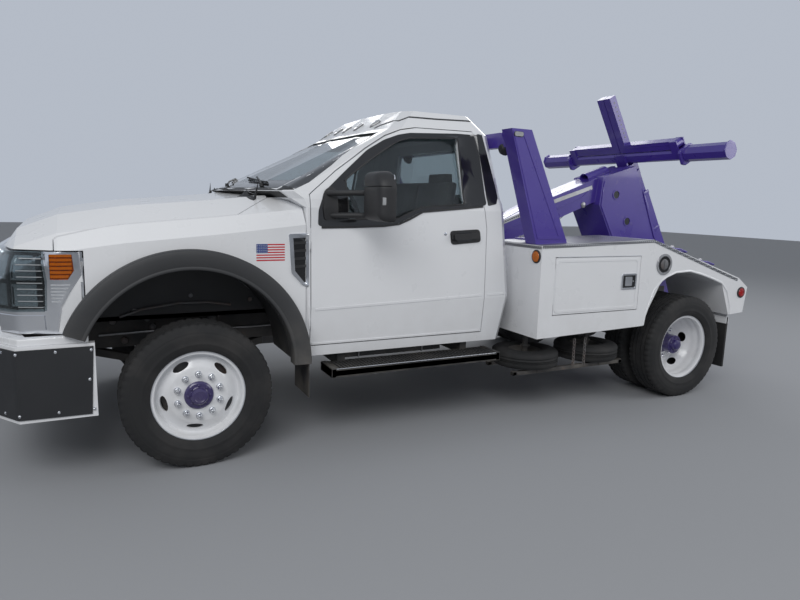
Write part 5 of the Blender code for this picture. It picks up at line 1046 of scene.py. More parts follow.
# %% Grille
FACE_X = 2.8925
BAR_SECTION = (
    (-0.012, -0.033), (0.012, -0.030), (0.024, -0.018), (0.028, 0), (0.024, 0.018), (0.012, 0.030), (-0.012, 0.033),
)
mesh = Draft()
for z_low, z_high in ((0.829, 0.908), (0.966, 1.045), (1.102, 1.182)):
    for number in range(6):
        z = z_low + (z_high - z_low) * number / 5
        mesh.block((2.852, -0.561, z - 0.0018), (2.862, 0.561, z + 0.0018))
    for number in range(-34, 35):
        y = number * 0.0162
        mesh.block((2.854, y - 0.0018, z_low), (2.860, y + 0.0018, z_high))
mesh.make("grille_mesh", gloss_black)
bars = Draft()
for z in (0.937, 1.0735):
    bars.prism([(FACE_X + x, z + up) for x, up in BAR_SECTION], -0.552, 0.552)
bars.make("grille_bars", chrome, bevel=0.003)
lay = layer("grille", from_front())
inner = box_outline(-0.548, 0.548, 0.829, 1.181, 0.02)
lay("grille_frame", box_outline(-0.585, 0.585, 0.800, 1.203, 0.04), chrome, 0.024, holes=[inner], step=0.2, bevel=0.006)
angles = [2 * math.pi * k / 40 for k in range(40)]
badge = [(0.12 * math.cos(a), 1.005 + 0.05 * math.sin(a)) for a in angles]
lay("grille_badge_place", badge, gloss_black, 0.036, -0.010, 0.5, bevel=0.004)
tell("grille")

# %% [markdown]
# The bumper is bare white steel with rubber sheets bolted round its corners, tow hooks, air slots drawn as black
# sheets of painted shade, and a blank plate.
# The bolts are cast onto the bumper from the same corner as the sheets, so that each stands square to the steel.

# %% Bumper
SHEET = ((-11.0, 0.735), (97, 0.735), (97, 0.392), (-8.0, 0.384))
SHEET_BOLTS = [(u, z) for u in (-9.5, 15.0, 36.0, 50.0, 70.0, 94.0) for z in (0.717, 0.410)]
SHEET_BOLTS += [(-7.5, 0.566), (94.0, 0.566)]
HOOK = ((2.975, 0.36), (2.98, 0.34), (2.96, 0.325), (2.92, 0.335), (2.90, 0.36), (2.86, 0.372))
LEDGE_HALF = (
    (2.50, 1.045), (2.806, 1.045), (2.905, 0.905), (2.975, 0.590), (2.50, 0.985), (2.775, 0.985), (2.872, 0.58),
)

for word, side in SIDES.items():
    corner = round_corner(2.55, 0.70, side)
    layer("bumper", corner, word)("bumper_rubber", SHEET, rubber_sheet, 0.006, step=(2.0, 0.08), bevel=0.0015)
    bolts = Draft()
    for spot in SHEET_BOLTS:
        origin, ahead = corner(*spot)
        hit = tree_of("bumper").ray_cast(origin, ahead)[0]
        if hit is not None:
            bolts.bolt(hit - ahead * 0.0055, -ahead, 0.0058, 0.0045)
    bolts.make(f"bumper_bolts_{word}", chrome, bevel=0.0008)
    Draft().tube([(x, side * 0.36, z) for x, z in HOOK], 0.011, 14).make(f"tow_hook_{word}", steel)
    # Each air slot is a thin black sheet on the steel: painted shade.
    slot = mirror_u(side, box_outline(0.20, 0.40, 0.43, 0.50, 0.012))
    layer("bumper", from_front(), word)("bumper_slot", slot, gloss_black, 0.0006, 0.004, 0.3, bevel=0)
holder = box_outline(-0.165, 0.165, 0.53, 0.70, 0.008)
layer("bumper", from_front())("number_plate_holder", holder, plastic, 0.0007, 0.006, 0.5, bevel=0)
outer, inner = LEDGE_HALF[:4], LEDGE_HALF[4:]
ledge = [*outer, *mirror_v(-1, outer[::-1]), *mirror_v(-1, inner), *inner[::-1]]
Draft().prism(ledge, 0.7495, 0.7860, "XY").make("bumper_ledge", white, bevel=0.006, segments=3)
tell("bumper")

# %% [markdown]
# The side window sits in a gloss-black surround with a solid corner at the front; a dull lip, a belt strip and a
# dark panel behind the door frame it. The handle is a grip that stands clear of its cup on two feet.

# %% Doors
DOOR_SURROUND = (
    (1.284, 1.341), (1.280, 1.430), (1.238, 1.530), (1.089, 1.659), (0.925, 1.796), (0.799, 1.867), (0.693, 1.906),
    (0.612, 1.923), (0.247, 1.944), (0.1125, 1.944), (0.1125, 1.480), (0.278, 1.462), (0.597, 1.434), (0.688, 1.389),
    (0.764, 1.356), (0.864, 1.344), (1.059, 1.337), (1.256, 1.331),
)
DOOR_WINDOW = (
    (1.0980, 1.3715), (0.7725, 1.3820), (0.6885, 1.4140), (0.5925, 1.4540), (0.2805, 1.4780), (0.2610, 1.9150),
    (0.6135, 1.8940), (0.6960, 1.8680), (0.8075, 1.8115), (0.9320, 1.7320), (1.0980, 1.6140),
)
BELT = (
    (1.262, 1.327), (1.060, 1.331), (0.862, 1.338), (0.758, 1.351), (0.682, 1.383), (0.594, 1.428), (0.278, 1.456),
    (0.140, 1.470),
)
QUARTER_PANEL = ((0.0985, 1.951), (0.054, 1.957), (0.030, 1.757), (0.006, 1.536), (0.031, 1.487), (0.0985, 1.474))
HANDLE_BASE = ((0.392, 1.309), (0.165, 1.321), (0.152, 1.237), (0.380, 1.220))
HANDLE_CUP = ((0.345, 1.300), (0.225, 1.306), (0.218, 1.243), (0.338, 1.236))
HANDLE_GRIP = ((0.376, 1.290), (0.182, 1.300), (0.176, 1.262), (0.370, 1.250))
ROOF_LINE = ((0.735, 0.546), (0.705, 0.566), (0.685, 0.600), (0.632, 0.697), (0.350, 0.693), (0.064, 0.679))

for word, side in SIDES.items():
    door, across, out = f"door_{word}", from_side(side), Vector((0, side, 0))
    lay, lay_cab = layer(door, across, word, door), layer("cab_shell", across, word)
    window = rounded(DOOR_WINDOW, 0.012)
    inside = [(x + (0.008 if x < 0.7 else -0.008), z + (0.008 if z < 1.6 else -0.008)) for x, z in DOOR_WINDOW]
    lay("window_surround", rounded(DOOR_SURROUND, 0.016), gloss_black, 0.003, step=0.05, holes=[window])
    lay("window_lip", window, plastic, 0.0045, step=0.05, holes=[rounded(inside, 0.01)])
    lay_cab("quarter_panel", rounded(QUARTER_PANEL, 0.012), gloss_black, 0.003, step=0.05)
    lay("belt_strip", band(BELT, 0.012), plastic, 0.005, step=0.05)
    lay("handle_base", rounded(HANDLE_BASE, 0.025), plastic, 0.005, bevel=0.002)
    lay("handle_cup", rounded(HANDLE_CUP, 0.02), gloss_black, 0.0062)
    lay("handle_grip", rounded(HANDLE_GRIP, 0.018), plastic, 0.034, -0.019, bevel=0.005)
    for number, (x, z) in enumerate(((0.372, 1.271), (0.183, 1.281))):
        foot = box_outline(x - 0.011, x + 0.011, z - 0.016, z + 0.016, 0.006)
        lay(f"handle_foot_{number}", foot, plastic, 0.024, bevel=0.003)
    hit = tree_of(door).ray_cast(*across(0.425, 1.290))[0]
    lock = Draft().rod(hit - out * 0.003, hit + out * 0.003, 0.011, 28)
    lock.rod(hit + out * 0.002, hit + out * 0.005, 0.007, 20).make(f"key_lock_{word}", chrome, door, 0.0008)
    crease = band([(1.300, 0.845), (0.700, 0.863), (0.125, 0.881)], 0.014)
    lay("door_crease", crease, white, 0.003, step=0.06, bevel=0.003)
    lay_cab("cab_crease", band([(0.085, 0.882), (-0.085, 0.886)], 0.014), white, 0.003, bevel=0.003)
    hem = [(1.315, 0.640), (0.125, 0.640), (0.125, 0.628), (1.315, 0.628)]
    lay("door_hem", hem, white, 0.0035, step=0.06, bevel=0.002)
    pins, pin = Draft(), Vector((1.3385, side * 1.0165, 0))
    for z in (0.765, 1.225):
        pins.rod(pin + UPWARD * (z - 0.030), pin + UPWARD * (z + 0.030), 0.0045, 14)
    pins.make(f"hinge_pins_{word}", white, bevel=0.001)
    roof = band(mirror_v(side, ROOF_LINE), 0.010)
    layer("cab_shell", from_above, word)("roof_moulding", roof, plastic, 0.0035, step=0.05)
tell("doors")

# %% [markdown]
# A towing mirror is a tall head on two telescoping arms. The head is a skin over shrinking outlines, with pane
# recesses and a groove carved out; the panes are chrome, since a mirror is only polished metal behind glass.

# %% Mirrors
MIRROR_HEAD = (
    (1.150, 1.374), (1.402, 1.374), (1.410, 1.400), (1.410, 1.568), (1.392, 1.606), (1.352, 1.640), (1.318, 1.652),
    (1.166, 1.652), (1.151, 1.640),
)
MIRROR_MIDDLE = (1.28, 1.513)
MIRROR_SLICES = (
    (0.9785, 0.95), (0.981, 0.985), (0.990, 1.0), (1.018, 0.99), (1.045, 0.955), (1.063, 0.88), (1.0735, 0.76),
    (1.0770, 0.55),
)
MARKER = (
    (1.352, 1.508), (1.406, 1.508), (1.406, 1.466), (1.352, 1.466), (1.352, 1.475), (1.394, 1.475), (1.394, 1.499),
    (1.352, 1.499),
)
MIRROR_FOOT = ((1.245, 1.368), (1.255, 1.440), (1.235, 1.540), (1.185, 1.570), (1.160, 1.540), (1.165, 1.375))
ARM = ((1.215, 0.985, -0.006), (1.190, 1.020, -0.004), (1.095, 1.075, 0), (1.045, 1.115, 0), (1.033, 1.160, 0))

for word, side in SIDES.items():
    body = f"door_{word}"
    outline = rounded(MIRROR_HEAD, 0.03, 5)
    slices = [(x, scaled(outline, share, MIRROR_MIDDLE)) for x, share in MIRROR_SLICES]
    head = Draft().loft([[(x, side * u, v) for u, v in ring] for x, ring in slices])
    head = head.make(f"mirror_head_{word}", plastic, body, sharp=40)
    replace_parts(head, f"mirror_{word}")
    cutter = Draft().block((1.010, side * 1.1, 1.5650), (1.10, side * 1.45, 1.5690))
    for v_low, v_high, radius in ((1.470, 1.634, 0.02), (1.390, 1.430, 0.012)):
        recess = mirror_u(side, box_outline(1.172, 1.388, v_low, v_high, radius))
        cutter.prism(recess, 0.94, 0.986, "YZ")
    cutter.carve(head)
    for number, (low, high) in enumerate(((1.472, 1.632), (1.392, 1.428))):
        pane = mirror_u(side, box_outline(1.174, 1.386, low, high, 0.02))
        Draft().prism(pane, 0.981, 0.986, "YZ").make(f"mirror_pane_{number}_{word}", chrome, body, 0.001)
    marker = Draft().prism(mirror_u(side, rounded(MARKER, 0.005)), 1.040, 1.0585, "YZ")
    marker.make(f"mirror_marker_{word}", clear, body, 0.002)
    arms = Draft()
    for z in (1.402, 1.531):
        sleeve = box_outline(1.013, 1.053, z - 0.017, z + 0.017, 0.012)
        arms.prism(sleeve, *sorted((side * 1.10, side * 1.19)))
        arms.tube([(x, side * y, z + up) for x, y, up in ARM], 0.0165, 16)
    arms.make(f"mirror_arms_{word}", plastic, body, 0.003)
    foot = rounded(MIRROR_FOOT, 0.02)
    layer(body, from_side(side), word, body)("mirror_foot", foot, plastic, 0.014, bevel=0.004)
tell("mirrors")

# %% [markdown]
# The windshield has a black printed edge, wider at the foot, which hides the glue. Its outline is measured from the
# glass itself, so it fits whatever the frame holds. Two wipers rest on the glass, each point lifted along its normal.

# %% Windshield and wipers
glass_low, glass_high = box_of("windshield")
FOOT_Z, HEAD_Z = glass_low.z, glass_high.z
points = [v.co for v in NODES["windshield"].data.vertices]
foot_y = max(abs(p.y) for p in points if p.z < FOOT_Z + 0.01)
head_y = max(abs(p.y) for p in points if p.z > HEAD_Z - 0.03)


def edge_at(foot_in, foot_up, head_in, head_down):
    foot, head = foot_y - foot_in, head_y - head_in
    low, high = FOOT_Z + foot_up, HEAD_Z - head_down
    return [(-foot, low), (foot, low), (head, high), (-head, high)]


def on_glass(y, z, lift):
    hit = tree_of("windshield").ray_cast(*from_front()(y, z))
    return hit[0] + hit[1].normalized() * (lift if hit[1].x > 0 else -lift)


window = rounded(edge_at(0.045, 0.050, 0.040, 0.030), 0.04)
lay = layer("windshield", from_front())
lay("windshield_edge", edge_at(0.004, 0.004, 0.004, 0.006), gloss_black, 0.0012, step=0.08, holes=[window], bevel=0)
for number, (hub_y, far_y) in enumerate(((0.62, 0.06), (-0.02, -0.60))):
    root = on_glass(hub_y, FOOT_Z + 0.012, 0.012)
    far = on_glass((hub_y + far_y) / 2, FOOT_Z + 0.055, 0.020)
    wiper = Draft().tube([root, root.lerp(far, 0.35) + Vector((0.004, 0, 0.008)), far], 0.0062, 10)
    wiper.rod(root - Vector((0, 0, 0.012)), root + Vector((0.003, 0, 0.010)), 0.014, 20, 0.011)
    for foot, rise, lift, radius, steps in ((0.028, 0.040, 0.010, 0.0055, 8), (0.030, 0.041, 0.004, 0.003, 6)):
        shares = [k / 10 for k in range(11)]
        line = [on_glass(hub_y + (far_y - hub_y) * s, FOOT_Z + foot + rise * s, lift) for s in shares]
        wiper.tube(line, radius, steps)
    wiper.make(f"wiper_{number}", plastic)
tell("windshield")

# %% [markdown]
# Five teardrop lamps stand on the roof's front edge. Behind are the third brake lamp, the rear window's rubber and
# pressed panels; in front the cowl closes the gap between glass and hood.

# %% Roof, back and cowl
COWL_EDGE = ((1.4105, 0.950), (1.470, 0.898), (1.609, 0.576), (1.655, 0.18))
COWL_BACK = ((1.440, 0.832), (1.561, 0.552), (1.622, 0.08))
COWL_FACE = ((-0.90, 1.4935), (0.90, 1.4935), (0.88, 1.5285), (-0.88, 1.5285))
FRIT = (
    (0.765, 0.697), (0.968, 0.760), (1.157, 0.874), (1.318, 0.944), (1.400, 0.948), (1.436, 0.900), (1.448, 0.835),
    (1.436, 0.815), (1.311, 0.790), (1.040, 0.742),
)
COWL_END = ((1.660, 0.60), (1.620, 0.74), (1.575, 0.80), (1.600, 0.60))

lay = layer("cab_shell", from_above)
for number, y in enumerate((-0.46, -0.20, 0.0, 0.20, 0.46)):
    x = 0.715 - 0.05 * abs(y)
    drop = ((0.034, -0.014), (0.034, 0.014), (-0.022, 0.036), (-0.032, 0), (-0.022, -0.036))
    drop = rounded([(x + u, y + v) for u, v in drop], 0.014)
    lay(f"roof_lamp_base_{number}", scaled(drop, 1.12, (x, y)), plastic, 0.003, bevel=0.001)
    lay(f"roof_lamp_{number}", drop, clear, 0.012, bevel=0.004)
cowl = [*COWL_EDGE, *mirror_v(-1, COWL_EDGE[::-1]), *mirror_v(-1, COWL_BACK), *COWL_BACK[::-1]]
lay("cowl_cover", cowl, plastic, 0.002, step=0.05, bevel=0)
layer("cab_shell", from_front(1.75))("cowl_face", COWL_FACE, plastic, 0.0012, step=0.05, bevel=0)
for word, side in SIDES.items():
    lay = layer("cab_shell windshield", from_above, word)
    lay("windshield_frit", mirror_v(side, FRIT), gloss_black, 0.002, bevel=0)
    layer("cab_shell hood", from_above, word)("cowl_end", mirror_v(side, COWL_END), plastic, 0.002, step=0.05)
lay = layer("cab_shell", from_rear)
lay("third_brake_lamp", box_outline(-0.17, 0.17, 1.955, 1.985, 0.012), red, 0.009, step=0.2, bevel=0.003)
window = box_outline(-0.636, 0.636, 1.549, 1.873, 0.02)
lay("rear_window_edge", box_outline(-0.668, 0.668, 1.515, 1.905, 0.05), plastic, step=0.1, holes=[window])
for number, y in enumerate((-0.72, -0.36, 0.36, 0.72)):
    panel = box_outline(y - 0.13, y + 0.13, 0.75, 1.38, 0.03)
    lay(f"cab_back_panel_{number}", panel, white, 0.005, step=0.1, bevel=0.004)
tell("roof, back and cowl")

# %% [markdown]
# A running board needs grip: three rows of short rubber ribs, with moulded caps and a thin bright edge. The ribs are
# small blocks in a loop, spaced from the board's own measured length.

# %% Running boards
BOARD_TOP, BOARD_OUT, BOARD_IN = 0.5, 1.12, 0.925
RIBS = 46

for word, side in SIDES.items():
    low, high = box_of(f"running_board_{word}")
    y_out, y_in = side * BOARD_OUT, side * BOARD_IN
    tread = Draft()
    for number in range(RIBS):
        x = low.x + 0.06 + number * (high.x - low.x - 0.12) / (RIBS - 1)
        for row in range(3):
            y = y_in + (y_out - y_in) * (0.16 + 0.28 * row)
            tread.block((x - 0.005, y, BOARD_TOP - 0.002), (x + 0.005, y + side * 0.045, BOARD_TOP + 0.005))
    tread.make(f"board_tread_{word}", rubber)
    caps = Draft()
    for x, inward in ((low.x, 0.03), (high.x, -0.03)):
        caps.block((x, y_in, 0.449), (x + inward, y_out, 0.5065))
    caps.block((low.x + 0.02, y_out - side * 0.006, 0.456), (high.x - 0.02, y_out, 0.494))
    caps.make(f"board_caps_{word}", plastic, bevel=0.004)
    edge_y = side * 1.1195 - side * 0.004
    edge = Draft().tube([(low.x + 0.03, edge_y, 0.4985), (high.x - 0.03, edge_y, 0.4985)], 0.0042, 10)
    edge.make(f"board_edge_{word}", aluminium)
tell("running boards")

# %% [markdown]
# Chequered plate caps the body's top, its sloping edge and the deck. Each sheet is laid on its solid, so it bends
# over the same kinks as the real folded plate.

# %% Tread plates
TOP_EDGE = ((-0.2105, 1.2135), (-1.249, 1.2495), (-1.50, 1.168), (-2.00, 1.006), (-2.240, 0.930))
TOP_SHEET = ((-0.2095, 0.646), (-2.366, 0.646), (-2.366, 1.194), (-0.2095, 1.194))
DECK_SHEET = ((-0.225, 0.180), (-0.225, 0.630), (-2.366, 0.630), (-2.366, 0.352), (-1.20, 0.352), (-1.20, 0.180))

for word, side in SIDES.items():
    panel = f"body_side_{word}"
    top, deck = mirror_v(side, TOP_SHEET), mirror_v(side, DECK_SHEET)
    front = mirror_u(side, corners_of(0.646, 1.194, 1.200, 1.219))
    layer(panel, from_above, word)("top_plate", top, tread_plate, 0.003, step=0.12, bevel=0.001)
    edge = band(TOP_EDGE, 0.019)
    layer(panel, from_side(side), word)("edge_plate", edge, tread_plate, 0.0035, step=0.08, bevel=0.001)
    layer(panel, from_front(-0.1), word)("front_plate", front, tread_plate, 0.0035, step=0.12, bevel=0.001)
    layer("deck", from_above, word)("deck_plate", deck, tread_plate, 0.003, step=0.3, bevel=0.001)
tell("tread plates")

# %% [markdown]
# A toolbox door has a pressed bead, a recessed paddle latch and a piano hinge along its top. The hinge is a row of
# short knuckles on the fixed body, which is what shows when the door hangs open.

# %% Toolbox doors
LATCH = (-1.095, -0.948, 0.900, 1.016)
BEAD_OUTER = ((-0.340, 0.762), (-0.340, 1.126), (-1.110, 1.126), (-1.110, 0.762))
BEAD_INNER = ((-0.356, 0.778), (-0.356, 1.110), (-1.094, 1.110), (-1.094, 0.778))

for word, side in SIDES.items():
    lid = f"toolbox_door_{word}"
    lay = layer(lid, from_side(side), word, lid)
    lay("lid_bead", rounded(BEAD_OUTER, 0.03), white, 0.0025, step=0.15, holes=[rounded(BEAD_INNER, 0.025)])
    rear, front, foot, head = LATCH
    cup = box_outline(rear + 0.013, front - 0.013, foot + 0.013, head - 0.013, 0.008)
    lay("latch_rim", box_outline(*LATCH, 0.014), chrome, 0.005, step=0.2, holes=[cup], bevel=0.002)
    lay("latch_cup", cup, gloss_black, 0.001, step=0.2, bevel=0)
    lay("latch_paddle", box_outline(-1.052, -0.983, 0.926, 0.993, 0.008), chrome, 0.0042, step=0.2, bevel=0.0015)
    lock = Draft().rod((-1.062, side * 1.2005, 0.960), (-1.062, side * 1.2045, 0.960), 0.006, 16)
    for x, z in corners_of(-1.089, -0.954, 0.9065, 1.0095):
        lock.rod((x, side * 1.203, z), (x, side * 1.2068, z), 0.0035, 10)
    lock.make(f"latch_lock_{word}", steel, lid)
    hinge = Draft()
    for number in range(26):
        x = -0.345 - number * 0.0302
        hinge.rod((x, side * 1.2005, 1.1445), (x - 0.0285, side * 1.2005, 1.1445), 0.0028, 10)
    hinge.make(f"lid_hinge_{word}", aluminium)
tell("toolbox doors")

# %% [markdown]
# Round sealed lamps sit in rubber rings: amber on the front corner, red at the rear and three on the tail. One
# helper turns ring and dome, whichever way the lamp looks.

# %% Fuel filler and body lamps
FUEL = (-1.372, 1.075)


def round_lamp(name, place, out, radius, lens):
    ring = ((0.8, -0.004), (1.12, -0.004), (1.14, 0.004), (1.02, 0.009), (0.92, 0.009), (0.88, 0.002))
    dome = ((0.92, -0.002), (0.92, 0.007), (0.80, 0.0125), (0.5, 0.0155), (0.47, 0.0140), (0, 0.0165))
    ring, dome = ([(radius * share, along) for share, along in line] for line in (ring, dome))
    Draft().lathe(ring, place, out, 48, closed=True).make(f"{name}_ring", plastic, sharp=50)
    Draft().lathe(dome, place, out, 48).make(f"{name}_lens", lens, sharp=30)


for word, side in SIDES.items():
    panel, out = f"body_side_{word}", Vector((0, side, 0))
    lay = layer(panel, from_side(side), word)
    cup = disc_outline(*FUEL, 0.062)
    lay("fuel_ring", disc_outline(*FUEL, 0.080), steel, 0.006, step=0.3, holes=[cup], bevel=0.002)
    lay("fuel_cup", cup, gloss_black, 0.0015, step=0.3, bevel=0)
    x, z = FUEL
    cap = Draft().lathe(((0.040, 0), (0.040, 0.0035), (0.036, 0.0055), (0, 0.0055)), (x, side * 1.2015, z), out, 48)
    cap.block((x - 0.006, side * 1.2, z - 0.033), (x + 0.006, side * 1.2105, z + 0.033))
    cap.make(f"fuel_cap_{word}", cast, bevel=0.0015)
    round_lamp(f"marker_front_{word}", (-0.2070, side * 1.146, 1.148), (1, 0, 0), 0.040, amber)
    round_lamp(f"marker_side_{word}", (-2.300, side * 1.2002, 0.825), out, 0.040, red)
    for number, (y, lens) in enumerate(((0.86, red), (0.98, red), (1.10, clear))):
        hit, normal = tree_of(panel).ray_cast(*from_rear(side * y, 0.76))[:2]
        normal = normal if normal.x < 0 else -normal
        round_lamp(f"tail_lamp_{number}_{word}", hit, normal.normalized(), 0.045, lens)
tell("fuel filler and body lamps")

# %% [markdown]
# The rear arch has a rolled white lip, a tube along its edge, and a mud flap hangs behind the wheels from a bolted
# steel strip.

# %% Rear arch and mud flaps
REAR_ARCH = (
    (-1.205, 0.622), (-1.215, 0.690), (-1.289, 0.880), (-1.362, 0.952), (-1.413, 0.981), (-1.510, 1.012),
    (-1.664, 1.019), (-1.800, 0.990), (-1.940, 0.950), (-2.052, 0.912), (-2.127, 0.843), (-2.180, 0.720),
    (-2.187, 0.652),
)

for word, side in SIDES.items():
    Draft().tube([(x, side * 1.197, z) for x, z in REAR_ARCH], 0.0095, 12).make(f"arch_lip_{word}", white)
    low, high = sorted((side * 0.742, side * 1.158))
    flap = Draft().block((-2.2372, low - 0.003, 0.1915), (-2.2178, high + 0.003, 0.615))
    flap.make(f"mud_flap_{word}", rubber, bevel=0.002)
    hanger = Draft().block((-2.2415, low - 0.003, 0.560), (-2.2135, high + 0.003, 0.618))
    for number in range(5):
        y = low + 0.04 + number * (high - low - 0.08) / 4
        hanger.bolt((-2.2415, y, 0.588), (-1, 0, 0), 0.008, 0.008)
    hanger.make(f"flap_hanger_{word}", white, bevel=0.0015)
tell("arches and flaps")

# %% [markdown]
# Two ratchets on each sloping fender tie a towed car's wheels down: purple cheeks and handle, a steel spool between.
# They are drawn flat and turned onto the slope by one small matrix.

# %% Ratchets
SLOPE = Matrix(((-0.953, 0, -0.302), (0, 1, 0), (-0.302, 0, 0.953))).transposed()
CHEEK = ((-0.055, 0), (0.075, 0), (0.070, 0.045), (0.015, 0.062), (-0.045, 0.040))
HANDLE = ((0.010, 0.026, 0.045), (0.100, 0.026, 0.070), (0.185, 0.026, 0.072))

for word, side in SIDES.items():
    for number, x in enumerate((-1.56, -1.90)):
        base = Vector((x, side * 1.05, 1.2495 - (x + 1.249) * -0.316 - 0.010))

        def at(a, b, c):
            return base + SLOPE @ Vector((a, b, c))

        ratchet, thin = Draft(), ACROSS * 0.003
        for b in (-0.034, 0.034):
            cheek = [at(a, b, c) for a, c in CHEEK]
            ratchet.slab([p - thin for p in cheek], [p + thin for p in cheek])
        near, far = ([at(a, sign * b, c) for a, b, c in HANDLE] for sign in (-1, 1))
        ratchet.tube([*near, at(0.200, 0, 0.072), *far[::-1]], 0.0075, 10)
        ratchet.make(f"ratchet_{number}_{word}", purple, bevel=0.0015)
        spool = Draft()
        for start, end, radius, steps in (
            (-0.044, 0.044, 0.011, 20), (-0.030, 0.030, 0.026, 28), (-0.033, -0.027, 0.032, 18),
            (0.027, 0.033, 0.032, 18),
        ):
            spool.rod(at(0.010, start, 0.040), at(0.010, end, 0.040), radius, steps)
        spool.make(f"ratchet_spool_{number}_{word}", steel, bevel=0.001)
tell("ratchets")

# %% [markdown]
# On the deck are tie-down rings on small plates, and an open tray for chains behind the cab, made of five thin
# walls.

# %% Deck fittings
TRAY = (
    ((-0.62, 0.40, 0.981), (-0.27, 0.61, 0.986)), ((-0.62, 0.40, 0.981), (-0.614, 0.61, 1.09)),
    ((-0.276, 0.40, 0.981), (-0.27, 0.61, 1.09)), ((-0.62, 0.40, 0.981), (-0.27, 0.406, 1.09)),
    ((-0.62, 0.604, 0.981), (-0.27, 0.61, 1.09)),
)

for word, side in SIDES.items():
    rings, tray = Draft(), Draft()
    for x in (-0.75, -1.60, -2.15):
        centre = Vector((x, side * 0.545, 0.983))
        angles = [math.pi * k / 12 for k in range(13)]
        hoop = [centre + Vector((0.030 * math.cos(a), 0, 0.006 + 0.034 * abs(math.sin(a)))) for a in angles]
        rings.tube(hoop, 0.006, 10)
        rings.block(centre - Vector((0.045, 0.022, 0.002)), centre + Vector((0.045, 0.022, 0.006)))
    rings.make(f"tie_rings_{word}", steel, bevel=0.001)
    for wall in TRAY:
        tray.block(*((x, side * y, z) for x, y, z in wall))
    tray.make(f"deck_tray_{word}", white, bevel=0.0015)
tell("deck fittings")

# %% [markdown]
# Dollies carry the far wheels of a towed car. Two small wheels of each lie flat on a rack under the toolbox, held by
# a hanging chain. Tyres and rims are turned about an upright axis; the tyres stand for the plain solid.

# %% Dollies
DOLLY_FOOT, DOLLY_TOP = 0.345, 0.345 + 0.125
DOLLY_CROWN = ((0.120, 0.78), (0.135, 0.95), (0.165, 1.0), (0.195, 0.97), (0.222, 0.86), (0.234, 0.70), (0.238, 0.45))
DOLLY_RIBS = (
    (0.238, 0.36), (0.230, 0.28), (0.238, 0.06), (0.230, -0.02), (0.230, -0.02), (0.238, -0.10), (0.230, -0.14),
    (0.230, -0.30), (0.238, -0.34),
)
DOLLY_RIM = (
    (0.022, 0.01), (0.055, 0.012), (0.070, 0.024), (0.100, 0.030), (0.118, 0.045), (0.126, 0.048), (0.126, -0.048),
    (0.118, -0.045), (0.100, -0.010), (0.022, -0.012),
)

for word, side in SIDES.items():
    low, high = box_of(f"dolly_{word}")
    y, half, middle = side * 0.93, (DOLLY_TOP - DOLLY_FOOT) / 2, (DOLLY_TOP + DOLLY_FOOT) / 2
    centres = [Vector((high.x - 0.24, y, middle)), Vector((low.x + 0.24, y, middle))]
    profile = [*DOLLY_CROWN, *DOLLY_RIBS, *((r, -a) for r, a in reversed(DOLLY_CROWN))]
    profile = [(r, a * half) for r, a in profile]
    tyres, rims, nuts, rack, chain = (Draft() for _ in range(5))
    for offset in (-0.15, 0.15):
        start, end = (low.x + 0.02, y + offset - 0.016), (high.x - 0.02, y + offset + 0.016)
        rack.block((*start, DOLLY_FOOT - 0.030), (*end, DOLLY_FOOT - 0.003))
        for x in (low.x + 0.02, high.x - 0.052):
            rack.block((x, start[1], DOLLY_FOOT - 0.030), (x + 0.032, end[1], DOLLY_FOOT))
    for centre in centres:
        tyres.lathe(profile, centre, UPWARD, 72, closed=True)
        rims.lathe(DOLLY_RIM, centre, UPWARD, 60, closed=True)
        for place in ring_points(centre - UPWARD * 0.012, -UPWARD, 0.045, 5):
            nuts.bolt(place, -UPWARD, 0.007, 0.010)
        x = centre.x
        rack.rod((x, y, DOLLY_FOOT - 0.028), (x, y, 0.596), 0.019, 24)
        rack.rod((x, y, DOLLY_TOP + 0.006), (x, y, DOLLY_TOP + 0.016), 0.034, 24)
        rack.block((x - 0.016, y - 0.170, DOLLY_FOOT - 0.030), (x + 0.016, y + 0.170, DOLLY_FOOT - 0.006))
    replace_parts(tyres.make(f"dolly_tyres_{word}", rubber, sharp=45), f"dolly_{word}")
    rims.make(f"dolly_rims_{word}", chassis, sharp=40)
    nuts.make(f"dolly_nuts_{word}", chrome)
    rack.make(f"dolly_rack_{word}", chassis, bevel=0.002)
    for x in (centres[0].x - 0.26, centres[1].x + 0.22):
        for k in range(9):
            along = Vector((0.009, 0, 0)) if k % 2 else Vector((0, 0.009, 0))
            place = Vector((x, y + side * 0.225, DOLLY_FOOT + 0.20 - k * 0.022))
            angles = [2 * math.pi * m / 12 for m in range(12)]
            link = [place + along * math.cos(a) + UPWARD * (0.014 * math.sin(a)) for a in angles]
            chain.tube(link, 0.0034, 6, closed=True)
    chain.make(f"dolly_chain_{word}", cast)
tell("dollies")

# %% [markdown]
# Heavy steel is welded, and a weld shows as a rippled bead. A tube follows the joint and small sine waves move its
# points; a bump in the material would ripple too, but would leave the bead's outline smooth.

# %% Headboard
LEG = ((0.020, 1.955), (-0.070, 1.955), (-0.432, 1.262), (-0.226, 1.262))
LEG_HOLE = ((0.000, 1.935), (-0.060, 1.935), (-0.405, 1.280), (-0.236, 1.280))
LAMP_BODY = (
    (0, 0.052), (0.022, 0.050), (0.036, 0.036), (0.043, 0.018), (0.045, 0.0), (0.041, -0.002), (0.040, 0.006),
    (0, 0.008),
)
LAMP_BRACKET = ((0.015, -0.050, 0), (0.010, -0.052, 0.025), (0.010, 0, 0.052), (0.010, 0.052, 0.025), (0.015, 0.050, 0))
LAMP_LENS = ((0.0405, 0.0035), (0.030, 0.0005), (0, -0.0010))
FORWARD = Vector((1, 0, 0))


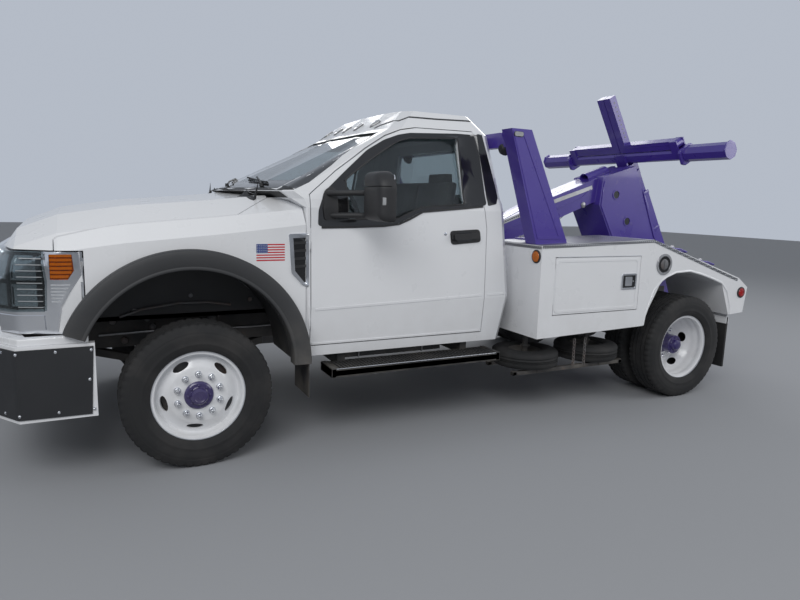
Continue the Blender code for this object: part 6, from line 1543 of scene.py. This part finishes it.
def weld(name, path, body="chassis", radius=0.004):
    """A rippled weld bead along a path."""
    path, points = [Vector(point) for point in path], []
    for one, two in zip(path, path[1:]):
        count = max(2, int((two - one).length / 0.008))
        points += [one.lerp(two, k / count) for k in range(count)]
    bead = Draft().tube([*points, path[-1]], radius, 7)
    for vert in bead.shape.verts:
        wave = math.sin((vert.co.x + vert.co.y + vert.co.z) * 500) * 0.0008
        vert.co += Vector((wave, wave, wave))
    bead.make(name, purple, body, sharp=60)


for word, side in SIDES.items():
    lay = layer("headboard", from_side(side), word)
    lay("leg_plate", LEG, purple, 0.003, step=0.2, holes=[LEG_HOLE], bevel=0.0015)
    foot = Draft().block((-0.482, side * 0.885, 1.2255 + 0.022), (-0.214, side * 1.119, 1.262))
    foot.make(f"leg_foot_{word}", purple, bevel=0.003)
    bolts = Draft()
    for x, y in corners_of(-0.452, -0.245, 0.905, 1.100):
        bolts.bolt((x, side * y, 1.262), UPWARD, 0.0085, 0.009)
    bolts.make(f"leg_bolts_{word}", steel)
    strobe = box_outline(-0.056, 0.010, 1.922, 1.950, 0.012)
    lay("strobe_base", scaled(strobe, 1.15, (-0.023, 1.936)), plastic, 0.0035, step=0.2, bevel=0.001)
    lay("strobe", strobe, clear, 0.0085, step=0.2, bevel=0.003)
    for number, y in enumerate((0.875, 0.55)):
        place = Vector((-0.108, side * y, 1.862))
        lamp = Draft().lathe(LAMP_BODY, place, FORWARD, 40)
        lamp.tube([place + Vector(point) for point in LAMP_BRACKET], 0.0045, 8)
        lamp.make(f"work_lamp_{number}_{word}", plastic, bevel=0.001)
        Draft().lathe(LAMP_LENS, place, FORWARD, 40).make(f"work_lens_{number}_{word}", clear)
    weld(f"leg_weld_{word}", [(-0.080, side * 0.898, 1.905), (-0.045, side * 0.898, 1.965)])
tell("headboard")

# %% [markdown]
# A perforated strip lies on the boom, and a curved cover guards the rope where it turns. The cover is a skin over
# half rings, drawn out over the arch and back under it, so that it has a real thickness.

# %% Boom cover
COVER_START, COVER_END = Vector((-1.640, 0, 1.735)), Vector((-1.880, 0, 1.815))
COVER_SIDE = ((-1.642, 1.738), (-1.642, 1.694), (-1.739, 1.724), (-1.878, 1.772), (-1.878, 1.817))
COVER_BAR = ((-1.668, 1.706), (-1.650, 1.700), (-1.650, 1.722), (-1.668, 1.728))

strip = [(-0.62, -0.045), (-1.36, -0.045), (-1.36, 0.045), (-0.62, 0.045)]
holes = [disc_outline(-0.66 - 0.05 * k, 0.0, 0.014, 14) for k in range(14)]
lay = layer("boom", from_above, body="boom")
lay("boom_strip", strip, aluminium, step=0.5, holes=holes, bevel=0.001)
cover_up = ACROSS.cross((COVER_END - COVER_START).normalized())
cover_up = cover_up if cover_up.z > 0 else -cover_up
half_turn = [math.pi * m / 12 for m in range(13)]
section = [ACROSS * (0.058 * math.cos(a)) + cover_up * (0.052 * math.sin(a)) for a in half_turn]
section += [ACROSS * (0.052 * math.cos(a)) + cover_up * (0.046 * math.sin(a)) for a in half_turn[::-1]]
middles = [COVER_START.lerp(COVER_END, k / 8) for k in range(9)]
cover = Draft().loft([[middle + point for point in section] for middle in middles])
cover.make("boom_cover", purple, "boom", sharp=50)
bracket = Draft().prism(COVER_SIDE, -0.058, -0.050).prism(COVER_SIDE, 0.050, 0.058).prism(COVER_BAR, -0.085, 0.085)
bracket.make("boom_cover_bracket", purple, "boom", bevel=0.0015)
tell("boom cover")

# %% [markdown]
# The mast's edges are stiffened by ribs and its lightening holes have pressed rings; each hole is a black disc, the
# shade inside it painted on. Pin heads are turned profiles; a large one is held by three small bolts.

# %% Mast and pin heads
FRONT_RIB = ((-1.712, 1.720), (-1.690, 1.500), (-1.868, 1.200))
REAR_RIB = ((-2.106, 1.845), (-2.400, 1.215), (-2.790, 0.790))
BOOM_LINE = ((-0.60, 1.318), (-1.136, 1.5055), (-1.62, 1.660))
SEAM = ((-0.66, 1.262), (-1.14, 1.430), (-1.50, 1.560), (-1.60, 1.640))
STINGER_HEAD = (
    (0.062, -0.002), (0.062, 0.008), (0.056, 0.012), (0.034, 0.013), (0.033, 0.020), (0.028, 0.023), (0, 0.023),
)
FOOT_HEAD = ((1, -0.001), (1, 0.005), (0.86, 0.008), (0.55, 0.009), (0.5, 0.013), (0, 0.014))
EYE_HEAD = ((0.026, -0.001), (0.026, 0.006), (0.020, 0.010), (0, 0.011))

for word, side in SIDES.items():
    lay, out = layer("boom", from_side(side), word, "boom"), Vector((0, side, 0))
    weld(f"mast_weld_top_{word}", [(-1.690, side * 0.131, 1.742), (-1.665, side * 0.131, 1.530)], "boom")
    lay("mast_front_rib", band(FRONT_RIB, 0.022), purple, 0.008, step=0.2, bevel=0.003)
    lay("mast_rear_rib", band(REAR_RIB, 0.022), purple, 0.008, step=0.2, bevel=0.003)
    for number, (x, z, radius) in enumerate(((-1.86, 1.60, 0.034), (-2.02, 1.36, 0.034), (-2.24, 1.05, 0.040))):
        hole, ring = disc_outline(x, z, radius), disc_outline(x, z, radius * 1.3)
        lay(f"mast_hole_ring_{number}", ring, purple, 0.006, step=0.5, holes=[hole], bevel=0.002)
        # A black disc in each ring: painted shade where the hole would be.
        lay(f"mast_hole_{number}", hole, gloss_black, 0.001, step=0.5, bevel=0)
    lay("boom_side_strip", band(BOOM_LINE, 0.034), steel, 0.003, step=0.3, bevel=0.001)
    dots = Draft()
    for x in (-0.62 - 0.021 * k for k in range(24)):
        z = 1.318 + (x + 0.60) * -0.3498
        dots.rod((x, side * 0.1325, z), (x, side * 0.1342, z), 0.006, 10)
    dots.make(f"boom_dots_{word}", gloss_black, "boom")
    lay("boom_seam", band(SEAM, 0.010), purple, 0.004, step=0.2, bevel=0.0015)
    head = Draft().lathe(STINGER_HEAD, (-2.878, side * 0.190, 0.660), out, 40)
    head.make(f"stinger_pin_head_{word}", steel, "boom")
    heads = Draft()
    for x, z, y, radius in ((-0.3475, 1.1, 0.158, 0.046), (-0.8875, 1.05, 0.073, 0.030)):
        place = Vector((x, side * y, z))
        heads.lathe([(radius * share, along) for share, along in FOOT_HEAD], place, out, 36)
        for point in ring_points(place + out * 0.006, out, radius * 0.72, 3):
            heads.bolt(point, out, radius * 0.10, 0.005)
    heads.make(f"foot_pin_heads_{word}", steel)
    head = Draft().lathe(EYE_HEAD, (-1.5275, side * 0.131, 1.500), out, 32)
    head.make(f"eye_pin_head_{word}", steel, "boom")
tell("mast")

# %% [markdown]
# The lift cylinder has a gland and two clamp bands, and a hard oil line along its top. They are placed by shares of
# the way along the barrel, so they stay on it whatever its slope.

# %% Lift cylinder
BARREL_START, BARREL_END = Vector((-0.8875, 0, 1.05)), Vector((-1.330, 0, 1.364))
OIL_LINE = ((0.90, 0.046), (0.90, 0.058), (0.88, 0.062), (0.30, 0.062), (0.26, 0.056), (0.26, 0.044))

lean = (BARREL_END - BARREL_START).normalized()
top = lean.cross(ACROSS)
top = top if top.z > 0 else -top


def barrel_at(share, rise=0.0):
    return BARREL_START.lerp(BARREL_END, share) + top * rise


bands, line = Draft(), Draft().tube([barrel_at(share, rise) for share, rise in OIL_LINE], 0.0055, 10)
for share, radius, length in ((0.985, 0.0525, 0.030), (0.90, 0.0485, 0.012), (0.14, 0.0485, 0.020)):
    half = lean * (length / 2)
    bands.rod(barrel_at(share) - half, barrel_at(share) + half, radius, 40)
bands.make("cylinder_bands", chassis, "cylinder_barrel", bevel=0.0015)
for share in (0.45, 0.72):
    line.rod(barrel_at(share, 0.043), barrel_at(share, 0.058), 0.008, 12)
line.make("cylinder_line", steel, "cylinder_barrel", sharp=50)
tell("lift cylinder")

# %% [markdown]
# The stinger is a tube in a tube, and it leans. Its collars and holes are placed by the distance along it, out from
# its middle and across, and one function turns those three numbers into a point. The holes are black discs of painted
# shade.

# %% Stinger
STINGER_FOOT = Vector((-2.878, 0, 0.66))
ALONG, OUTWARD = Vector((0.5, 0, 0.8660254)), Vector((-0.8660254, 0, 0.5))
BLOCK_FACES = ((0, 1, 3, 2), (4, 6, 7, 5), (0, 4, 5, 1), (2, 3, 7, 6), (0, 2, 6, 4), (1, 5, 7, 3))


def lift_at(s, out, y):
    return STINGER_FOOT + ALONG * s + OUTWARD * out + ACROSS * y


def lift_block(draft, s, out, y):
    """A block between pairs of distances, along, out and across."""
    corners = [draft.shape.verts.new(lift_at(a, b, c)) for a in s for b in out for c in y]
    for face in BLOCK_FACES:
        draft.shape.faces.new([corners[i] for i in face])


def lift_ring(draft, s, half, thick, y_half):
    """A collar of four blocks round the tube."""
    for sign in (-1, 1):
        lift_block(draft, s, sorted((sign * half, sign * (half + thick))), (-y_half - thick, y_half + thick))
        lift_block(draft, s, (-half, half), sorted((sign * y_half, sign * (y_half + thick))))


collar, dots = Draft(), Draft()
lift_ring(collar, (1.085, 1.118), 0.075, 0.004, 0.075)
lift_ring(collar, (0.70, 0.73), 0.0755, 0.0025, 0.0745)
collar.make("stinger_collar", purple, "stinger_outer", bevel=0.0015)
# Black discs stand for the pin holes in both tubes: painted shade.
for number in range(4):
    point = lift_at(0.86 + 0.06 * number, 0.075, 0.0)
    dots.rod(point - OUTWARD * 0.002, point + OUTWARD * 0.0015, 0.013, 24)
dots.make("stinger_dots", gloss_black, "stinger_outer")
dots = Draft()
for number in range(3):
    for sign in (-1, 1):
        point = lift_at(1.20 + 0.08 * number, 0, sign * 0.0625)
        dots.rod(point - ACROSS * sign * 0.002, point + ACROSS * sign * 0.0012, 0.012, 24)
dots.make("inner_dots", gloss_black, "stinger_inner")
tell("stinger")

# %% [markdown]
# The crossbar is an eight-sided tube in sleeves. Its rings, ends darkened by a black disc of painted shade, bolts and
# rounded knuckles are slabs and rods at the same kind of distances.

# %% Crossbar
BAR_AT, HALF, CUT = 1.51, 0.0685, 0.040
BAR_RING = (
    (HALF, HALF - CUT), (HALF - CUT, HALF), (CUT - HALF, HALF), (-HALF, HALF - CUT), (-HALF, CUT - HALF),
    (CUT - HALF, -HALF), (HALF - CUT, -HALF), (HALF, CUT - HALF),
)
KNUCKLE = (
    (-0.092, -0.060), (-0.070, -0.088), (0.030, -0.088), (0.052, -0.070), (0.052, 0.070), (0.030, 0.088),
    (-0.070, 0.088), (-0.092, 0.060),
)


def bar_slab(draft, outline, *ends):
    draft.slab(*([lift_at(BAR_AT + a, b, y) for a, b in outline] for y in ends))


rings, ends, bolts, knuckles = (Draft() for _ in range(4))
for side in (-1, 1):
    out = ACROSS * side
    for y, thick in ((0.706, 0.006), (1.094, 0.005)):
        bar_slab(rings, BAR_RING, side * (y - thick), side * (y + thick))
    centre = lift_at(BAR_AT, 0, side * 1.0985)
    # A black disc on each end of the bar: painted shade.
    ends.rod(centre - out * 0.003, centre + out * 0.0014, 0.036, 32)
    for y in (0.76, 0.90, 1.04):
        bolts.bolt(lift_at(BAR_AT, 0.0652, side * y), OUTWARD, 0.009, 0.008)
    bar_slab(knuckles, KNUCKLE, *sorted((side * 0.672, side * 0.699)))
rings.make("crossbar_rings", purple, "crossbar", bevel=0.002)
ends.make("crossbar_end_dark", gloss_black, "crossbar")
bolts.make("crossbar_bolts", steel, "crossbar")
knuckles.make("crossbar_knuckles", purple, "crossbar", bevel=0.006, segments=3)
tell("crossbar")

# %% [markdown]
# Each claw that grips a wheel turns on a pin and has a stiffening rib, a weld bead and a row of studs.

# %% Claws
for word, side in SIDES.items():
    body, away = f"claw_{word}", ACROSS * side
    heads, ribs, studs = Draft(), Draft(), Draft()
    for sign in (-1, 1):
        pin, out = lift_at(1.596, sign * 0.0375, side * 0.62), OUTWARD * sign
        heads.rod(pin - out * 0.002, pin + out * 0.006, 0.030, 32, 0.028)
        heads.rod(pin + out * 0.005, pin + out * 0.010, 0.013, 24, 0.011)
        height = sorted((sign * 0.0370, sign * 0.0395))
        lift_block(ribs, (1.600, 1.612), height, sorted((side * 0.10, side * 0.56)))
    heads.make(f"claw_pin_heads_{word}", steel, body, bevel=0.001)
    ribs.make(f"claw_ribs_{word}", purple, body, bevel=0.001)
    weld(f"claw_weld_{word}", [lift_at(1.636, 0.0375, side * y) for y in (0.010, 0.072)], body, 0.0035)
    for number in range(9):
        point = lift_at(1.70 + number * 0.042, 0, side * 0.0785)
        studs.rod(point - away * 0.003, point + away * 0.0016, 0.0075, 16)
    studs.make(f"claw_studs_{word}", gloss_black, body)
tell("claws")

# %% [markdown]
# Under the sills, shock absorbers, tank straps, brake lines and bolt heads show. They are few and simple, but an
# empty frame would look like a model's. Every piece here is made for both sides at once.

# %% Underbody
TANK_STRAP = (
    (0.436, 0.722), (0.60, 0.7235), (0.728, 0.7235), (0.7335, 0.718), (0.7335, 0.465), (0.728, 0.4575), (0.60, 0.4575),
    (0.436, 0.4575),
)

shocks, straps, lines, bolts = (Draft() for _ in range(4))
for side in (-1, 1):
    for x, y, z_low, z_high, lean in ((1.78, 0.585, 0.46, 0.92, 0.05), (-1.92, 0.50, 0.40, 0.76, -0.06)):
        low, high = Vector((x, side * y, z_low)), Vector((x + lean, side * y, z_high))
        middle = low.lerp(high, 0.52)
        shocks.rod(low, middle, 0.026, 24).rod(middle - UPWARD * 0.10, high, 0.032, 24)
        for end in (low, high):
            shocks.rod(end - ACROSS * 0.030, end + ACROSS * 0.030, 0.020, 20)
    path = [(2.45 - 0.30 * k, side * 0.438, 0.655 + 0.006 * math.sin(k * 1.7)) for k in range(16)]
    lines.tube(path, 0.0065, 8)
    for x in (2.60 - k * 0.42 for k in range(12)):
        for along, z in ((x, 0.735), (x - 0.05, 0.615)):
            bolts.bolt((along, side * 0.4305, z), (0, side, 0), 0.010, 0.009)
for x in (0.42, 0.90):
    straps.tube([(x, y, z) for y, z in TANK_STRAP], 0.0042, 8)
shocks.make("shock_absorbers", chassis, bevel=0.0015)
straps.make("tank_straps", steel)
lines.make("brake_lines", steel)
bolts.make("rail_bolts", cast)
tell("underbody")

# %% [markdown]
# A plastic apron closes each front arch towards the engine. It is an arch of points, closed by a level foot.

# %% Front arch linings
APRON_RADIUS = 0.550
WASHERS = ((2.37, 0.735), (2.31, 0.615), (2.15, 0.690))
CLIPS = ((1.60, 0.865), (1.95, 0.905), (2.26, 0.830))
ARCH_HOSE = ((2.34, 0.655, 0.80), (2.22, 0.665, 0.84), (2.02, 0.665, 0.865), (1.86, 0.660, 0.862), (1.72, 0.655, 0.84))

aprons, hardware = Draft(), Draft()
outline = [arch_point(APRON_RADIUS, degrees) for degrees in range(24, 157, 6)]
outline += [(arch_point(APRON_RADIUS, degrees)[0], 0.800) for degrees in (157, 24)]
for side in (-1, 1):
    aprons.prism(outline, *sorted((side * 0.632, side * 0.640)))
    for x, z in WASHERS:
        hardware.rod((x, side * 0.432, z), (x, side * 0.446, z), 0.022, 24, 0.018)
        hardware.bolt((x, side * 0.445, z), (0, side, 0), 0.012, 0.012)
    for x, z in CLIPS:
        hardware.rod((x, side * 0.6395, z), (x, side * 0.649, z), 0.014, 20, 0.012)
    hardware.tube([(x, side * y, z) for x, y, z in ARCH_HOSE], 0.008, 10)
aprons.make("arch_aprons", plastic)
hardware.make("arch_hardware", cast)
tell("front arch linings")

# %% [markdown]
# With the hood open, an engine shows a ribbed cover, bolts, a filler cap and an intake hose. They are measured from
# the plain block's box.

# %% Engine
low, high = box_of("engine_block")
cover = Draft().block((low.x + 0.10, -0.24, high.z - 0.002), (high.x - 0.12, 0.24, high.z + 0.022))
for y in (-0.18 + number * 0.06 for number in range(7)):
    cover.block((low.x + 0.14, y - 0.010, high.z + 0.018), (high.x - 0.16, y + 0.010, high.z + 0.030))
cover.make("engine_cover", plastic, bevel=0.004)
bolts = Draft()
for x, y in corners_of(low.x + 0.12, high.x - 0.14, -0.215, 0.215):
    bolts.bolt((x, y, high.z + 0.022), UPWARD, 0.009, 0.007)
bolts.rod((high.x - 0.06, 0.12, high.z), (high.x - 0.06, 0.12, high.z + 0.030), 0.032, 24, 0.028)
bolts.make("engine_bolts", steel, bevel=0.001)
hose = ((0.06, -0.30, 0.005), (0.05, -0.20, 0.020), (0.05, 0.20, 0.020), (0.06, 0.30, 0.005))
Draft().tube([(low.x + x, y, high.z + z) for x, y, z in hose], 0.020, 16).make("intake_hose", rubber)
tell("engine")

# %% [markdown]
# A pad swells in the middle, pulls in at its rim and is drawn down along sewn channels. A sculpt would do it by eye;
# here a dense block is moved by formulas and smoothed.

# %% Bench
ROWS = (("driver", 0.245, 0.70), ("middle", -0.155, 0.235), ("far", -0.70, -0.165))
CHANNEL_WIDTH, CHANNEL_DEPTH = 0.009, 0.010
floor_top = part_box("seat_bench")[0][2]


def cushion(name, low, high, crown, channels=(), lean=0.0):
    """A crowned pad with channels across it at some values of y."""
    low, high = Vector(low), Vector(high)
    size, centre = high - low, (low + high) / 2
    thin = min(range(3), key=lambda i: size[i])
    wide = [i for i in range(3) if i != thin]
    pad = Draft().block(low, high)
    bmesh.ops.subdivide_edges(pad.shape, edges=pad.shape.edges[:], cuts=18, use_grid_fill=True)
    for vert in pad.shape.verts:
        u = [(vert.co[i] - centre[i]) / (size[i] / 2) for i in range(3)]
        fall = (1 - abs(u[wide[0]]) ** 4) * (1 - abs(u[wide[1]]) ** 4)
        offset = (vert.co[thin] - centre[thin]) * (0.55 + 0.45 * fall)
        offset += math.copysign(crown * fall, u[thin]) * (abs(u[thin]) > 0.5)
        groove = sum(math.exp(-(((vert.co.y - line) / CHANNEL_WIDTH) ** 2)) for line in channels)
        offset -= math.copysign(CHANNEL_DEPTH * min(groove, 1.0) * (abs(u[thin]) > 0.9), u[thin])
        vert.co[thin] = centre[thin] + offset
        for i in wide:
            vert.co[i] = centre[i] + (vert.co[i] - centre[i]) * (1 - 0.03 * abs(u[thin]) * (1 - fall * 0.5))
        vert.co.x -= lean * (vert.co.z - low.z)
    piece = pad.make(name, vinyl, sharp=70)
    step = piece.modifiers.new("soft", "SUBSURF")
    step.levels = step.render_levels = 1
    return piece


for word, y_low, y_high in ROWS:
    third = (y_high - y_low) / 3
    lines = [y_low + third, y_low + third * 2]
    base = (0.27, y_low, floor_top + 0.165), (0.745, y_high, floor_top + 0.305)
    back = (0.205, y_low, floor_top + 0.30), (0.325, y_high, floor_top + 0.80)
    piece = cushion(f"seat_base_{word}", *base, 0.016, lines)
    if word == "driver":
        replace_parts(piece, "seat_bench")
    cushion(f"seat_back_{word}", *back, 0.014, lines, 0.14)
for word, y in (("driver", 0.47), ("far", -0.43)):
    low, high = (0.125, y - 0.125, floor_top + 0.735), (0.215, y + 0.125, floor_top + 0.860)
    cushion(f"headrest_{word}", low, high, 0.010)
stand = Draft().block((0.22, -0.66, floor_top + 0.003), (0.70, 0.66, floor_top + 0.170))
for y in (0.42, 0.52, -0.38, -0.48):
    stand.rod((0.20, y, floor_top + 0.66), (0.172, y, floor_top + 0.76), 0.006, 12)
stand.make("seat_stand", plastic, bevel=0.02)
tell("bench")

# %% [markdown]
# The dashboard is one moulded section drawn out across the cab, with a hood over the gauges and slots for air. It
# stands for the plain block, so it is measured from the wall behind it.

# %% Dashboard
DASH_TOP = 1.440
DASH = (
    (0, -0.34), (0, -0.004), (-0.13, 0), (-0.22, -0.012), (-0.30, -0.075), (-0.315, -0.13), (-0.285, -0.20),
    (-0.26, -0.335),
)
GAUGE_HOOD = ((-0.12, -0.01), (-0.16, 0.030), (-0.30, 0.020), (-0.312, -0.035), (-0.27, -0.10))
dash_low, dash_high = box_of("dashboard")
wall = dash_high.x


def from_wall(outline):
    return [(wall + x, DASH_TOP + z) for x, z in outline]


dash = Draft().prism(from_wall(DASH), -0.855, 0.855)
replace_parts(dash.make("dash_panel", plastic, bevel=0.018, segments=3), "dashboard")
Draft().prism(from_wall(GAUGE_HOOD), 0.235, 0.565).make("gauge_hood", plastic, bevel=0.010)
vents = Draft()
for y in (-0.70, -0.10, 0.10, 0.72):
    for z in (DASH_TOP - 0.075 - k * 0.014 for k in range(4)):
        vents.block((wall - 0.318, y - 0.055, z), (wall - 0.300, y + 0.055, z + 0.004))
vents.make("dash_vents", gloss_black)
tell("dashboard")

# %% [markdown]
# The steering wheel leans 28 degrees: a closed tube, three spokes, a turned hub and its column.

# %% Steering wheel
LEAN = math.radians(28)
HUB = ((0, 0.016), (0.040, 0.014), (0.056, 0.004), (0.056, -0.018), (0.030, -0.030), (0, -0.030))

hub, lean = Vector((dash_low.x + 0.085, 0.4, 1.478)), Vector((-math.cos(LEAN), 0, math.sin(LEAN)))
wheel = Draft().tube(ring_points(hub, lean, 0.175, 48), 0.0145, 14, closed=True)
for angle in (90, 210, 330):
    far = hub + turned_to(lean) @ on_circle(math.radians(angle), 0.172)
    wheel.tube([hub, hub.lerp(far, 0.5) - lean * 0.004, far], 0.011, 10)
wheel.lathe(HUB, hub, lean, 36).tube([hub - lean * 0.02, hub - lean * 0.19], 0.026, 16)
wheel.make("steering_wheel", vinyl)
tell("steering wheel")

# %% [markdown]
